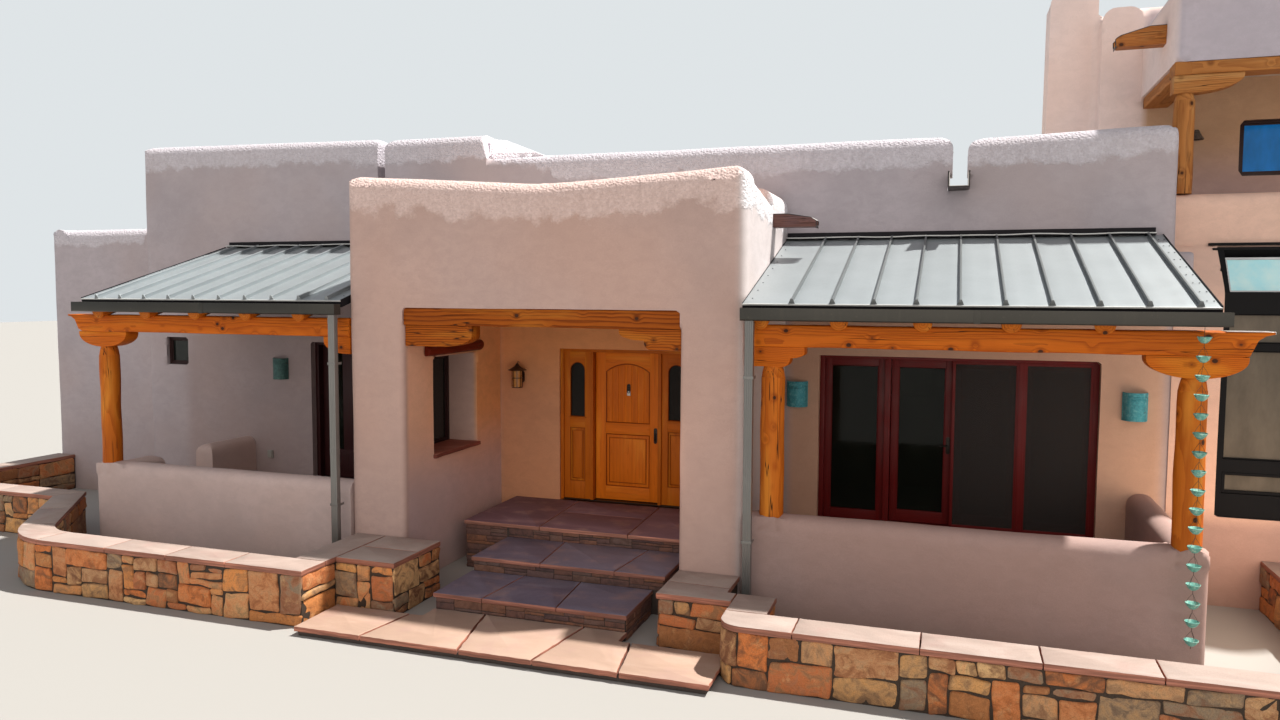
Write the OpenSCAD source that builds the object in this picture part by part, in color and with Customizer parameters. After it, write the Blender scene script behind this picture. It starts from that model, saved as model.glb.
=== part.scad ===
/* [Ground and floor] */
// Height of the house floor above the lowest ground
floor_h = 600; // [500:10:800]
// Thickness of the built floors
floor_t = 150; // [100:10:250]

/* [House walls] */
// Thickness of the outside walls
wall_t = 400; // [300:10:500]
// Rounding of the hand-shaped upright corners
edge_r = 110; // [60:10:140]
// Rounding of the tops of the parapets
top_r = 170; // [110:5:180]
// Length of the front wall at the left of the entry porch
left_run = 5580; // [5400:20:7000]
// Length of the front wall at the right of the entry porch
right_run = 4300; // [4200:20:5200]
// Depth of the house behind its front wall
house_d = 7000; // [6000:100:9000]
// Height of the main parapet
parapet_h = 5310; // [5100:10:5600]
// Height of the two taller lengths of parapet on the left
tall_parapet_h = 5650; // [5500:10:6000]
// Top of the flat roof of the main house
roof_h = 4600; // [4500:10:4800]
// Thickness of the flat roofs
roof_t = 250; // [150:10:350]

/* [Lower left room] */
// Width of the lower room at the left end
side_room_w = 2500; // [1800:50:3600]
// Depth of the lower room
side_room_d = 4600; // [3000:100:6000]
// Height of its parapet
side_room_h = 4480; // [4000:10:4800]

/* [Entry porch] */
// How far the entry porch stands in front of the house
entry_d = 2430; // [2200:2:3000]
// Clear width between the two piers
entry_opening_w = 3300; // [3000:10:4000]
// Thickness of the left side wall, which shows as the left pier
entry_pier_l = 740; // [600:10:900]
// Thickness of the right side wall, which shows as the right pier
entry_pier_r = 680; // [600:10:900]
// Left pier to the front door hinge line
entry_offset = 1380; // [1300:10:1500]
// Height of the underside of the entry beam
entry_beam_z = 3063; // [2950:10:3200]
// Height of the entry beam
entry_beam_h = 198; // [150:2:260]
// Top of the entry parapet at its lowest point
entry_dip_h = 4620; // [4500:10:4700]
// Top of the entry roof
entry_roof_h = 4150; // [4000:10:4300]

/* [Steps] */
// Height of each riser
riser_h = 165; // [150:1:180]
// How far the edge of the landing stands behind the face of the entry porch
landing_in = 960; // [700:10:1200]
// Depth of the middle and the lower step
tread_d = 860; // [600:10:950]
// Depth of the bottom slab in front of the piers
slab_d = 720; // [500:10:1000]
// Thickness of the stone treads
tread_t = 50; // [30:5:80]
// Overhang of a tread in front of its riser
nosing = 30; // [15:5:50]

/* [Planters] */
// Height of the planter walls with their coping
planter_h = 600; // [400:10:700]
// Thickness of the planter walls
planter_t = 340; // [250:10:450]
// Thickness of the sandstone coping
coping_t = 60; // [40:5:90]
// Overhang of the coping
coping_out = 25; // [10:5:50]

/* [Doors] */
// Height of the door frames
frame_h = 2080; // [2050:5:2200]
// Depth of the door frames from front to back
frame_d = 140; // [110:5:180]
// Clear width of the front door
door_w = 914; // [850:2:960]
// Thickness of every door leaf
leaf_t = 45; // [35:1:60]
// Width of each sidelight beside the front door
sidelight_w = 484; // [400:2:560]
// Width of the side door with its frame
side_door_w = 1000; // [950:10:1200]
// Width of the four-panel patio doors with their frame
patio_w = 3170; // [3000:10:3400]

/* [Porch roofs] */
// How far the eaves of the two porches stand in front of the entry porch
eave_out = 170; // [120:10:250]
// Height of the roof surface at the eave
eave_z = 3330; // [3250:10:3400]
// Rise of the roof for each unit of depth
roof_slope = 0.3; // [0.25:0.01:0.33]
// Spacing of the standing seams
seam_step = 390; // [300:5:450]
// Diameter of the log posts
post_dia = 270; // [220:5:300]
// Width and height of the porch beams
portal_beam = 220; // [180:5:250]
// Diameter of the log rafters
rafter_dia = 180; // [140:5:200]
// Height of the low walls
low_wall_h = 1200; // [1100:10:1300]
// Thickness of the low walls
low_wall_t = 300; // [250:10:350]
// Width of the way into the left porch, at its left end
side_gap_w = 850; // [700:10:1000]

/* [Two-storey wing] */
// Width of the wing at the right
wing_w = 3900; // [3600:10:5200]
// Thickness of the wall between the house and the wing
wing_wall_t = 500; // [400:10:600]
// Top of the upper floor
upper_floor_h = 3800; // [3700:10:3900]
// Height of the balcony wall
balcony_h = 4600; // [4500:10:4800]
// Height of the underside of the upper lintels
lintel_z = 5930; // [5850:10:6050]
// Height of the upper parapet
upper_parapet_h = 7300; // [7100:10:7600]
// Height of the chimney
chimney_h = 7800; // [7500:50:8200]

/* [Hidden] */

// Clearances
gap = 6;
seat = 0.3;
side_trim = 2;

// Plan: x = 0 is the front door hinge line, y = 0 is the face of the front wall, -y is the front
entry_x0 = -entry_offset - entry_pier_l;
entry_x1 = -entry_offset;
entry_x2 = entry_x1 + entry_opening_w;
entry_x3 = entry_x2 + entry_pier_r;
x_left = entry_x0 - left_run;
x_right = entry_x3 + right_run;
x_end_left = x_left - side_room_w;
x_end_right = x_right + wing_w;
head_z = floor_h + frame_h;
pier_block_l = 920;
pier_block_r = 770;
step_1_y = landing_in - entry_d;
step_2_y = step_1_y - tread_d - nosing;
step_3_y = step_2_y - tread_d + nosing;
slab_top = floor_h - 3 * riser_h - 5;
slab_back = min(-entry_d - pier_block_l - 50, step_3_y - nosing);
slab_y = slab_back - slab_d;
mid_x = (x_end_left + x_end_right) / 2;
mid_y = (slab_y + house_d) / 2;

// Tops of the parapets: heights at the corners, and slopes along x or y
tall_slope = -0.017;
slot_w = 120;
slot_x = entry_x0 - 1210;
shoulder_x = entry_x0 + 520;
shoulder_run = 880;
tall_top = tall_parapet_h + tall_slope * (x_left - slot_x);
corner_l = 4790;
corner_r = 4745;
dip_x = 320;
dip_slope_l = (entry_dip_h - corner_l) / (dip_x - entry_x0);
dip_slope_r = (corner_r - entry_dip_h) / (entry_x3 - dip_x);
rise_slope = 0.029;

// Door units
front_x0 = -sidelight_w;
front_x1 = door_w + sidelight_w;
side_x0 = entry_x0 - 2430;
side_x1 = side_x0 + side_door_w;
patio_x0 = entry_x3 + 425;
patio_x1 = patio_x0 + patio_w;
notch_x = patio_x0 + 1675;
notch_w = 160;
front_recess = 30;
patio_recess = 100;
jamb = 60;
mullion = 70;
head_t = 40;
sill_t = 20;
front_jamb = 45;
sidelight_stile = 85;
hinge_offset = 8;
hinge_h = 90;
hinge_heights = [230, 980, 1720];
leaf_z0 = floor_h + sill_t + gap;
leaf_z1 = head_z - head_t - gap;

// Canales: the middle of each across its run, its underside and its height at the wall
canale_w = 200;
canale_t = 20;
main_canale_x = notch_x - 90;
main_canale_z = 4660;
main_canale_h = 180;
entry_canale_y = -850;
entry_canale_z = entry_roof_h + 50;
entry_canale_h = 150;
wing_canale_y = 1130;
wing_canale_z = 6420;
wing_canale_h = 220;

// Windows
small_window = [[x_left + 390, x_left + 830], [floor_h + 1670, floor_h + 2110]];
upper_window = [[x_right + 1180, x_right + 2680], [floor_h + 4400, floor_h + 5120]];
niche_window = [[-1770, -680], [floor_h + 830, floor_h + 2040]];
niche_window_x = entry_x0 + 260;
back_window_w = 1000;
back_window_x = [for (i = [0:3]) x_left + 1900 + i * 3200];
wing_window_x = x_right + wing_w / 2;
back_window_z = [floor_h + 900, head_z];
wing_window_z = [upper_floor_h + 900, upper_floor_h + frame_h];

// Porch roofs
portal_d = entry_d + eave_out;
roof_edge_y = -portal_d + 50;
roof_pack_t = 90;
left_roof_x0 = entry_x0 - 3960;
right_roof_x1 = entry_x3 + 4160;
beam_y0 = 30 - entry_d;
beam_z1 = eave_z - 200;
beam_z0 = beam_z1 - portal_beam;
post_y = beam_y0 + portal_beam / 2;
right_post_x = entry_x3 + 4020;
near_post_x = entry_x3 + 270;
left_post_x = entry_x0 - 3810;
low_wall_y = -entry_d;
low_wall_x_left = left_post_x - 190;
low_wall_x_right = right_post_x + 180;
side_return_x = low_wall_x_left + 220;
side_return_d = 900;
rafter_step = 775;

// Wing
balcony_y = wall_t + 50;
upper_y = 2550;
upper_wall_t = 350;
rail_t = 300;

// Points of an arc, from angle a0 to a1 in n steps
function arc(cx, cy, r, a0, a1, n = 5) =
    [for (i = [0:n]) let (a = a0 + (a1 - a0) * i / n) [cx + r * cos(a), cy + r * sin(a)]];

// Height of the porch roof surface at a depth y
function roof_z(y) = eave_z + roof_slope * (y + portal_d);

// Section of a wall top of thickness t, whose two edges are rounded; its sides may stand out
// by a hair for the box of the wall to trim
function soft_section(t, depth, out) =
    let (r = min(top_r, t * 0.45))
    concat([[-out, -depth], [t + out, -depth]],
        arc(t + out - r, -r, r, 0, 90),
        arc(r - out, -r, r, 90, 180));

// A box between two limits on each axis
module block(x, y, z) {
    translate([x[0], y[0], z[0]])
        cube([x[1] - x[0], y[1] - y[0], z[1] - z[0]]);
}

// Puts the middle of the plan on the origin
module home() {
    translate([-mid_x, -mid_y, 0])
        children();
}

// Turns an outline drawn in x and z into a slab from y0 to y1
module slab_xz(y0, y1) {
    translate([0, y1, 0])
        rotate([90, 0, 0])
            linear_extrude(y1 - y0)
                children();
}

// Turns an outline drawn in y and z into a slab from x0 to x1
module slab_yz(x0, x1) {
    translate([x0, 0, 0])
        rotate([90, 0, 90])
            linear_extrude(x1 - x0)
                children();
}

// The waste outside a rounded edge, which runs along z from the corner at the origin
module edge_waste(r, length) {
    translate([0, 0, -1])
        linear_extrude(length + 2)
            polygon(concat([[-5, -5], [r, -5]], arc(r, r, r, 270, 180, 6), [[-5, r]]));
}

// Waste for a rounded upright corner at x and y; right or back choose the side of the wall
module corner_waste(x, y, r, h, right = false, back = false) {
    translate([x, y, 0])
        mirror([right ? 1 : 0, 0, 0])
            mirror([0, back ? 1 : 0, 0])
                edge_waste(r, h);
}

// Waste for a rounded top corner at the end of a wall that runs along x
module end_waste_x(x, y0, y1, z, r, right = false) {
    translate([x, y0, z])
        mirror([right ? 1 : 0, 0, 0])
            rotate([-90, 0, 0])
                edge_waste(r, y1 - y0);
}

// Waste for a rounded top corner at the end of a wall that runs along y
module end_waste_y(x0, x1, y, z, r, back = false) {
    translate([x0, y, z])
        mirror([0, back ? 1 : 0, 0])
            rotate([90, 0, 90])
                mirror([0, 1, 0])
                    edge_waste(r, x1 - x0);
}

// A wall along x with a rounded top, which starts at z[1] and rises by slope for each unit of x
module soft_x(x, y, z, slope = 0) {
    tilt = atan(slope);
    length = x[1] - x[0];
    depth = z[1] - z[0] + abs(slope) * length + edge_r;
    spare = depth * abs(sin(tilt)) + edge_r;
    out = slope == 0 ? 0 : side_trim;
    intersection() {
        translate([x[0], y[0], z[1]])
            rotate([0, -tilt, 0])
                slab_yz(-spare, length / cos(tilt) + spare)
                    polygon(soft_section(y[1] - y[0], depth, out));
        block(x, y, [z[0], z[1] + abs(slope) * length + edge_r]);
    }
}

// The same wall along y
module soft_y(y, x, z, slope = 0) {
    translate([x[1], 0, 0])
        rotate([0, 0, 90])
            soft_x(y, [0, x[1] - x[0]], z, slope);
}

// Sides of the landing and of the two steps
landing_x = entry_x1 + 230;
step_x0 = entry_x1 + 820;
middle_x1 = entry_x2 - 160;
lower_x1 = entry_x2 - 300;

// Three treads and the bottom slab
module step_treads() {
    color([0.55, 0.33, 0.30])
        home() {
            block([landing_x, entry_x2], [step_1_y, 0], [floor_h - tread_t, floor_h]);
            tread(1, step_2_y, step_1_y + nosing, middle_x1);
            tread(2, step_3_y, step_2_y + nosing, lower_x1);
            bottom_slab();
        }
}

// One tread, counted down from the landing
module tread(i, y0, y1, x1) {
    top = floor_h - i * riser_h;
    block([step_x0, x1], [y0, y1], [top - tread_t, top]);
}

// The slab on the ground, which fits between the two pier planters
module bottom_slab() {
    block([left_planter_x1 + 60, right_planter_x0], [slab_y, slab_back], [0, slab_top]);
    block([step_x0, lower_x1], [slab_back - 1, step_3_y + nosing], [0, slab_top]);
}

// Stone masonry under the treads
module step_risers() {
    color([0.45, 0.38, 0.33])
        home() {
            riser_block(0, landing_x + 25, entry_x2, step_1_y + nosing, 0);
            riser_block(1, step_x0 + 25, middle_x1 - 25, step_2_y + nosing, step_1_y + nosing);
            riser_block(2, step_x0 + 25, lower_x1 - 25, step_3_y + nosing, step_2_y + nosing);
        }
}

// One block of masonry; neighbours stay a hair apart
module riser_block(i, x0, x1, y0, y1) {
    block([x0, x1], [y0 + seat, y1], [0, floor_h - i * riser_h - tread_t]);
}

// Low stone planters beside the steps
module planter_walls() {
    color([0.72, 0.45, 0.25])
        home() {
            left_planter([0, planter_h - coping_t]);
            right_planter([0, planter_h - coping_t - right_drop]);
        }
}

// Left planter: its front runs to the left, bends back round an arc, then follows the house
left_planter_x1 = entry_x0 + 460;
left_planter_y = -entry_d - 1470;
bend_x = low_wall_x_left + 920;
bend_r = 1100;
bend_angle = 50;
terrace_y = low_wall_y + 280;

// One side of the left planter, at a distance r from the middle of the bend
function planter_side(r) =
    let (
        bend = arc(bend_x, left_planter_y + bend_r, r, 270, 270 - bend_angle, 8),
        end = bend[8],
        y = terrace_y + bend_r - r,
        x = end[0] - (y - end[1]) / tan(bend_angle)
    )
    concat(bend, [[x, y]]);

// Plan of the left planter and the block before the left pier, grown by out, between two heights
module left_planter(z, out = 0) {
    outer = planter_side(bend_r + out);
    inner = planter_side(bend_r - planter_t - out);
    left = x_end_left + coping_out - out;
    inside = planter_t + 2 * out;
    translate([0, 0, z[0]])
        linear_extrude(z[1] - z[0])
            polygon(concat(
                [[left_planter_x1 + out, low_wall_y], [left_planter_x1 + out, left_planter_y - out]],
                outer,
                [[left, terrace_y - out], [left, wall_t], [left + inside, wall_t],
                    [left + inside, terrace_y - out + inside]],
                [for (i = [len(inner) - 1:-1:0]) inner[i]],
                [[left_planter_x1 - planter_t - out, left_planter_y + planter_t + out],
                    [left_planter_x1 - planter_t - out, low_wall_y]]));
    block([left_planter_x1 - 1, entry_x1 + 450 + out], [-entry_d - pier_block_l - out, -entry_d], z);
}

// Right planter, whose coping lies a little lower
right_planter_x0 = entry_x3 + 100;
right_planter_x1 = x_right + 1300;
right_planter_y = -entry_d - 1400;
right_drop = 50;
nose_r = 200;

// Plan of the right planter and the block before the right pier, grown by out
module right_planter(z, out = 0) {
    x0 = right_planter_x0 - out;
    x1 = right_planter_x1 + out;
    y0 = right_planter_y - out;
    width = planter_t + 2 * out;
    block_y = [-entry_d - pier_block_r - out, -entry_d];
    block([entry_x2 + 30 - out, entry_x3 - 40 + out], block_y, z);
    block([entry_x3 - 41, x0 + width], [block_y[0], block_y[0] + 200 + 2 * out], z);
    difference() {
        block([x0, x1], [y0, y0 + width], z);
        corner_waste(x0, y0, nose_r, z[1] + 1);
    }
    block([x0, x0 + width], [y0 + nose_r, block_y[0] + 1], z);
    block([x1 - width, x1], [y0 + width - 1, 0], z);
}

// Sandstone coping on the planters
module planter_copings() {
    color([0.83, 0.66, 0.56])
        home() {
            left_planter([planter_h - coping_t, planter_h], coping_out);
            right_planter([planter_h - coping_t - right_drop, planter_h - right_drop], coping_out);
        }
}

// Built floors of the house, the lower room, the two porches and the upper storey
module floor_slabs() {
    z = [floor_h - floor_t, floor_h];
    color([0.58, 0.36, 0.28])
        home() {
            block([x_left + wall_t, x_right - wing_wall_t], [wall_t, house_d - wall_t], z);
            block([x_end_left + wall_t, x_left], [2 * wall_t, side_room_d], z);
            block([side_return_x + low_wall_t, entry_x0], [low_wall_y + low_wall_t, 0], z);
            block([entry_x3, low_wall_x_right - low_wall_t], [low_wall_y + low_wall_t, 0], z);
            block([x_right, x_end_right - wall_t], [balcony_y, house_d - wall_t], z);
            block([x_right, x_end_right - wall_t], [balcony_y, house_d - wall_t],
                [upper_floor_h - floor_t, upper_floor_h]);
        }
}

// Height of the left and the right slope of the entry parapet at x
function dip_left(x) = corner_l + dip_slope_l * (x - entry_x0);
function dip_right(x) = corner_r + dip_slope_r * (x - entry_x3);

// Left side wall of the entry, with a deep window niche
module entry_left_wall() {
    front = [-entry_d, wall_t - entry_d];
    side = [entry_x0, entry_x0 + wall_t];
    color([0.75, 0.60, 0.55])
        home()
            difference() {
                union() {
                    block([entry_x0, entry_x1], [-entry_d, 0], [0, entry_roof_h - roof_t]);
                    soft_x([entry_x0, entry_x1], front, [3800, corner_l], dip_slope_l);
                    soft_y([-entry_d, 0], side, [3800, corner_l - 20], -0.1);
                    soft_y([-entry_d, 0], side, [3800, entry_dip_h + 20]);
                }
                corner_waste(entry_x0, -entry_d, edge_r, 5000);
                end_waste_x(entry_x0, -entry_d - 1, 1, corner_l, top_r);
                corner_waste(entry_x1, -entry_d, edge_r / 2, entry_beam_z - 1, right = true);
                block([entry_x0 - 1, entry_x1 + 1], niche_window[0], niche_window[1]);
                niche_log(seat);
            }
}

// Right side wall of the entry, with a slot for the side canale
module entry_right_wall() {
    front = [-entry_d, wall_t - entry_d];
    side = [entry_x3 - wall_t, entry_x3];
    color([0.75, 0.60, 0.55])
        home()
            difference() {
                union() {
                    block([entry_x2, entry_x3], [-entry_d, 0], [0, entry_roof_h - roof_t]);
                    soft_x([entry_x2, entry_x3], front, [3800, dip_right(entry_x2)], dip_slope_r);
                    soft_y([-entry_d, 0], side, [3800, corner_r], -0.15);
                    soft_y([entry_canale_y - canale_w / 2, 0], side, [3800, entry_dip_h + 30]);
                }
                corner_waste(entry_x3, -entry_d, edge_r, 5000, right = true);
                end_waste_x(entry_x3, -entry_d - 1, 1, corner_r, top_r, right = true);
                corner_waste(entry_x2, -entry_d, edge_r / 2, entry_beam_z - 1);
                block([entry_x2 - 1, entry_x3 + 1],
                    [entry_canale_y - canale_w / 2, entry_canale_y + canale_w / 2],
                    [entry_canale_z, entry_canale_z + entry_canale_h]);
            }
}

// Wall over the entry beam, with its dipping parapet
module entry_header_wall() {
    x = [entry_x1, entry_x2];
    y = [-entry_d, wall_t - entry_d];
    z0 = entry_beam_z + entry_beam_h;
    color([0.75, 0.60, 0.55])
        home() {
            soft_x(x, y, [z0, dip_left(entry_x1)], dip_slope_l);
            soft_x(x, y, [z0, entry_dip_h + 15]);
            soft_x(x, y, [z0, dip_right(entry_x1)], dip_slope_r);
        }
}

// Round log over the niche, grown by out
module niche_log(out = 0) {
    ends = [niche_window[0][0] - 190 - out, niche_window[0][1] + 90 + out];
    translate([entry_x1, ends[0], niche_window[1][1] + 105])
        rotate([-90, 0, 0])
            cylinder(d = 150 + 2 * out, h = ends[1] - ends[0], $fn = 32);
}

// Dark red log lintel of the niche
module niche_lintel_log() {
    color([0.33, 0.10, 0.07])
        home()
            niche_log();
}

// A frame of jambs, head and sill in a wall, between x0 and x1
module door_frame(x0, x1, y0, side) {
    difference() {
        block([x0, x1], [y0, y0 + frame_d], [floor_h, head_z]);
        block([x0 + side, x1 - side], [y0 - 1, y0 + frame_d + 1], [floor_h + sill_t, head_z - head_t]);
    }
}

// Outline of a light with an arched top
module arched_outline(x0, x1, z0, z1, rise) {
    mid = (x0 + x1) / 2;
    half = (x1 - x0) / 2;
    r = (half * half + rise * rise) / (2 * rise);
    a = asin(half / r);
    polygon(concat([[x0, z0], [x1, z0]], arc(mid, z1 - r, r, 90 - a, 90 + a, 8)));
}

// Frame of the front door with its two sidelights
module front_door_frame() {
    color([0.72, 0.38, 0.12])
        home() {
            door_frame(front_x0, front_x1, front_recess, front_jamb);
            frame_upright(-front_jamb - gap, -gap, front_recess);
            frame_upright(door_w, door_w + front_jamb, front_recess);
            sidelight(front_x0 + front_jamb - 1, -front_jamb - gap + 1);
            sidelight(door_w + front_jamb - 1, front_x1 - front_jamb + 1);
            hinges(0, front_recess + frame_d);
        }
}

// An upright beside a door, as deep as the frame
module frame_upright(x0, x1, y0) {
    block([x0, x1], [y0, y0 + frame_d], [floor_h + 1, head_z - 1]);
}

// Three hinge knuckles on a frame; x is the hinge edge of the leaf and y its inside face
module hinges(x, y, right = false) {
    for (z = hinge_heights)
        translate([x, y, floor_h + z])
            mirror([right ? 1 : 0, 0, 0]) {
                translate([-gap / 2, hinge_offset, 0])
                    cylinder(r = hinge_offset - seat, h = hinge_h, $fn = 24);
                translate([-30, -1, 0])
                    cube([30 - gap / 2, hinge_offset, hinge_h]);
            }
}

// A fixed sidelight, with its arched light and a panel below
module sidelight(x0, x1) {
    y0 = front_recess + 30;
    light = [x0 + sidelight_stile, x1 - sidelight_stile];
    difference() {
        block([x0, x1], [y0, y0 + 60], [floor_h + sill_t - 1, head_z - head_t + 1]);
        slab_xz(y0 - 1, y0 + 61)
            arched_outline(light[0], light[1], floor_h + 1150, floor_h + 1900, 80);
        block([x0 + 70, x1 - 70], [y0 - 1, y0 + 12], [floor_h + 260, floor_h + 1030]);
    }
}

// Front door, hinged on the left, with an arched upper panel
module front_door() {
    y1 = front_recess + frame_d;
    y0 = y1 - leaf_t;
    color([0.74, 0.40, 0.12])
        home() {
            difference() {
                block([0, door_w - gap], [y0, y1], [leaf_z0, leaf_z1]);
                slab_xz(y0 - 1, y0 + 10)
                    arched_outline(145, 770, floor_h + 1080, floor_h + 1890, 110);
                block([145, 770], [y0 - 1, y0 + 10], [floor_h + 210, floor_h + 930]);
            }
            door_handle(door_w - 60, y0, y1, floor_h + 930);
        }
}

// Plates and pulls of a door handle, on both faces
module door_handle(x, y0, y1, z) {
    block([x - 28, x + 28], [y0 - 8, y1 + 8], [z - 110, z + 110]);
    block([x - 14, x + 14], [y0 - 45, y1 + 45], [z - 20, z + 20]);
}

// A glazed leaf with a kick rail; the light is one or more openings closed by a pane
module glazed_leaf(x0, x1, y1, stile, bottom, lights = 1) {
    y0 = y1 - leaf_t;
    step = (x1 - x0 - stile) / lights;
    difference() {
        block([x0, x1], [y0, y1], [leaf_z0, leaf_z1]);
        for (i = [0:lights - 1])
            for (side = [0, 1])
                translate([x0 + stile + i * step, side == 0 ? y0 - 1 : y1 - 15, leaf_z0 + bottom])
                    cube([step - stile, 16, leaf_z1 - leaf_z0 - bottom - 90]);
    }
}

// Frame of the side door on the left porch
module side_door_frame() {
    color([0.30, 0.08, 0.08])
        home() {
            door_frame(side_x0, side_x1, patio_recess, jamb);
            hinges(side_x0 + jamb + gap, patio_recess + frame_d);
        }
}

// Side door with two narrow lights, hinged on the left
module side_door() {
    y1 = patio_recess + frame_d;
    x0 = side_x0 + jamb + gap;
    x1 = side_x1 - jamb - gap;
    color([0.30, 0.08, 0.08])
        home() {
            glazed_leaf(x0, x1, y1, 150, 420, 2);
            door_handle(x1 - 60, y1 - leaf_t, y1, floor_h + 1000);
        }
}

// Inner limits of the patio doors: jamb, mullion, pair, mullion, jamb
patio_a = patio_x0 + jamb;
patio_d = patio_x1 - jamb;
patio_fixed_w = (patio_d - patio_a - 2 * mullion) / 4;
patio_b = patio_a + patio_fixed_w;
patio_c = patio_d - patio_fixed_w;

// Frame of the patio doors with a fixed panel at each end
module patio_door_frame() {
    color([0.33, 0.06, 0.07])
        home() {
            door_frame(patio_x0, patio_x1, patio_recess, jamb);
            frame_upright(patio_b, patio_b + mullion, patio_recess);
            frame_upright(patio_c - mullion, patio_c, patio_recess);
            fixed_panel(patio_a, patio_b);
            fixed_panel(patio_c, patio_d);
            hinges(patio_b + mullion + gap, patio_recess + frame_d);
            hinges(patio_c - mullion - gap, patio_recess + frame_d, right = true);
        }
}

// A fixed panel: stiles and rails around a light
module fixed_panel(x0, x1) {
    y0 = patio_recess + 50;
    difference() {
        block([x0 - 1, x1 + 1], [y0, y0 + 60], [floor_h + sill_t - 1, head_z - head_t + 1]);
        block([x0 + 80, x1 - 80], [y0 - 1, y0 + 61], [floor_h + 140, head_z - head_t - 90]);
    }
}

// Left leaf of the pair, hinged on the left mullion
module patio_door_left() {
    y1 = patio_recess + frame_d;
    middle = (patio_x0 + patio_x1) / 2;
    color([0.33, 0.06, 0.07])
        home() {
            glazed_leaf(patio_b + mullion + gap, middle - gap / 2, y1, 85, 140);
            door_handle(middle - 45, y1 - leaf_t, y1, floor_h + 1000);
        }
}

// Right leaf of the pair, hinged on the right mullion
module patio_door_right() {
    y1 = patio_recess + frame_d;
    middle = (patio_x0 + patio_x1) / 2;
    color([0.33, 0.06, 0.07])
        home()
            glazed_leaf(middle + gap / 2, patio_c - mullion - gap, y1, 85, 140);
}

// Front wall left of the side door, with a small window
module main_wall_left() {
    color([0.68, 0.60, 0.60])
        home()
            difference() {
                soft_x([x_left, side_x0], [0, wall_t], [0, tall_top], tall_slope);
                corner_waste(x_left, 0, edge_r, 6000);
                end_waste_x(x_left, -1, wall_t + 1, tall_top, top_r);
                block(small_window[0], [-1, wall_t + 1], small_window[1]);
            }
}

// Wall over the side door
module wall_over_side_door() {
    color([0.68, 0.60, 0.60])
        home()
            soft_x([side_x0, side_x1], [0, wall_t],
                [head_z, tall_top + tall_slope * (side_x0 - x_left)], tall_slope);
}

// Front wall between the side door and the front door, with a drainage slot and a shoulder
module main_wall_mid_left() {
    y = [0, wall_t];
    side = [-1, wall_t + 1];
    second_h = tall_parapet_h - 20;
    color([0.68, 0.60, 0.60])
        home() {
            block([side_x1, front_x0], y, [0, 4650]);
            difference() {
                soft_x([side_x1, slot_x], y,
                    [4600, tall_top + tall_slope * (side_x1 - x_left)], tall_slope);
                end_waste_x(slot_x, side[0], side[1], tall_parapet_h, edge_r, right = true);
            }
            difference() {
                soft_x([slot_x + slot_w, shoulder_x + 20], y, [4600, second_h]);
                end_waste_x(slot_x + slot_w, side[0], side[1], second_h, top_r);
            }
            soft_x([shoulder_x, front_x0], y, [4600, parapet_h]);
            slab_xz(wall_t * 0.3, wall_t)
                polygon([[shoulder_x, parapet_h - top_r], [shoulder_x, second_h - 30],
                    [shoulder_x + 150, second_h - 50], [shoulder_x + shoulder_run, parapet_h - 20],
                    [shoulder_x + shoulder_run, parapet_h - top_r]]);
        }
}

// Wall over the front door
module wall_over_front_door() {
    color([0.68, 0.60, 0.60])
        home()
            soft_x([front_x0, front_x1], [0, wall_t], [head_z, parapet_h]);
}

// Front wall between the front door and the patio doors
module main_wall_mid_right() {
    color([0.68, 0.60, 0.60])
        home()
            soft_x([front_x1, patio_x0], [0, wall_t], [0, parapet_h]);
}

// Wall over the patio doors, with a notch that runs down into the canale
module wall_over_patio_doors() {
    hole_top = main_canale_z + main_canale_h;
    color([0.68, 0.60, 0.60])
        home() {
            difference() {
                block([patio_x0, patio_x1], [0, wall_t], [head_z, 4940]);
                block([main_canale_x - 120, main_canale_x + 120], [-1, wall_t + 1],
                    [main_canale_z, hole_top]);
                block([notch_x - notch_w, notch_x], [-1, wall_t + 1], [hole_top - 1, 4941]);
            }
            difference() {
                soft_x([patio_x0, notch_x - notch_w], [0, wall_t], [4900, parapet_h]);
                end_waste_x(notch_x - notch_w, -1, wall_t + 1, parapet_h, top_r, right = true);
            }
            difference() {
                soft_x([notch_x, patio_x1], [0, wall_t], [4900, parapet_h - 40], rise_slope);
                end_waste_x(notch_x, -1, wall_t + 1, parapet_h - 40, top_r);
            }
        }
}

// Right end of the front wall
module main_wall_right() {
    color([0.68, 0.60, 0.60])
        home()
            difference() {
                soft_x([patio_x1, x_right], [0, wall_t],
                    [0, parapet_h - 40 + rise_slope * (patio_x1 - notch_x)], rise_slope);
                corner_waste(x_right, 0, edge_r, 6000, right = true);
                end_waste_x(x_right, -1, wall_t + 1, parapet_h + 22, top_r, right = true);
            }
}

// Left wall and back wall of the house, and the walls of the lower room
module outer_walls() {
    color([0.75, 0.60, 0.55])
        home()
            difference() {
                union() {
                    soft_y([wall_t, house_d], [x_left, x_left + wall_t], [0, parapet_h]);
                    soft_x([x_left, x_right], [house_d - wall_t, house_d], [0, parapet_h]);
                    for (y = [wall_t, side_room_d])
                        soft_x([x_end_left, x_left + 1], [y, y + wall_t], [0, side_room_h]);
                    soft_y([wall_t, side_room_d + wall_t], [x_end_left, x_end_left + wall_t],
                        [0, side_room_h]);
                }
                corner_waste(x_end_left, wall_t, edge_r, 5000);
                corner_waste(x_end_left, side_room_d + wall_t, edge_r, 5000, back = true);
                corner_waste(x_left, house_d, edge_r, 6000, back = true);
                for (x = back_window_x)
                    back_window_hole(x, back_window_z);
            }
}

// Hole of a window in the back wall, around the middle x
module back_window_hole(x, z) {
    block([x - back_window_w / 2, x + back_window_w / 2], [house_d - wall_t - 1, house_d + 1], z);
}

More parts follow.
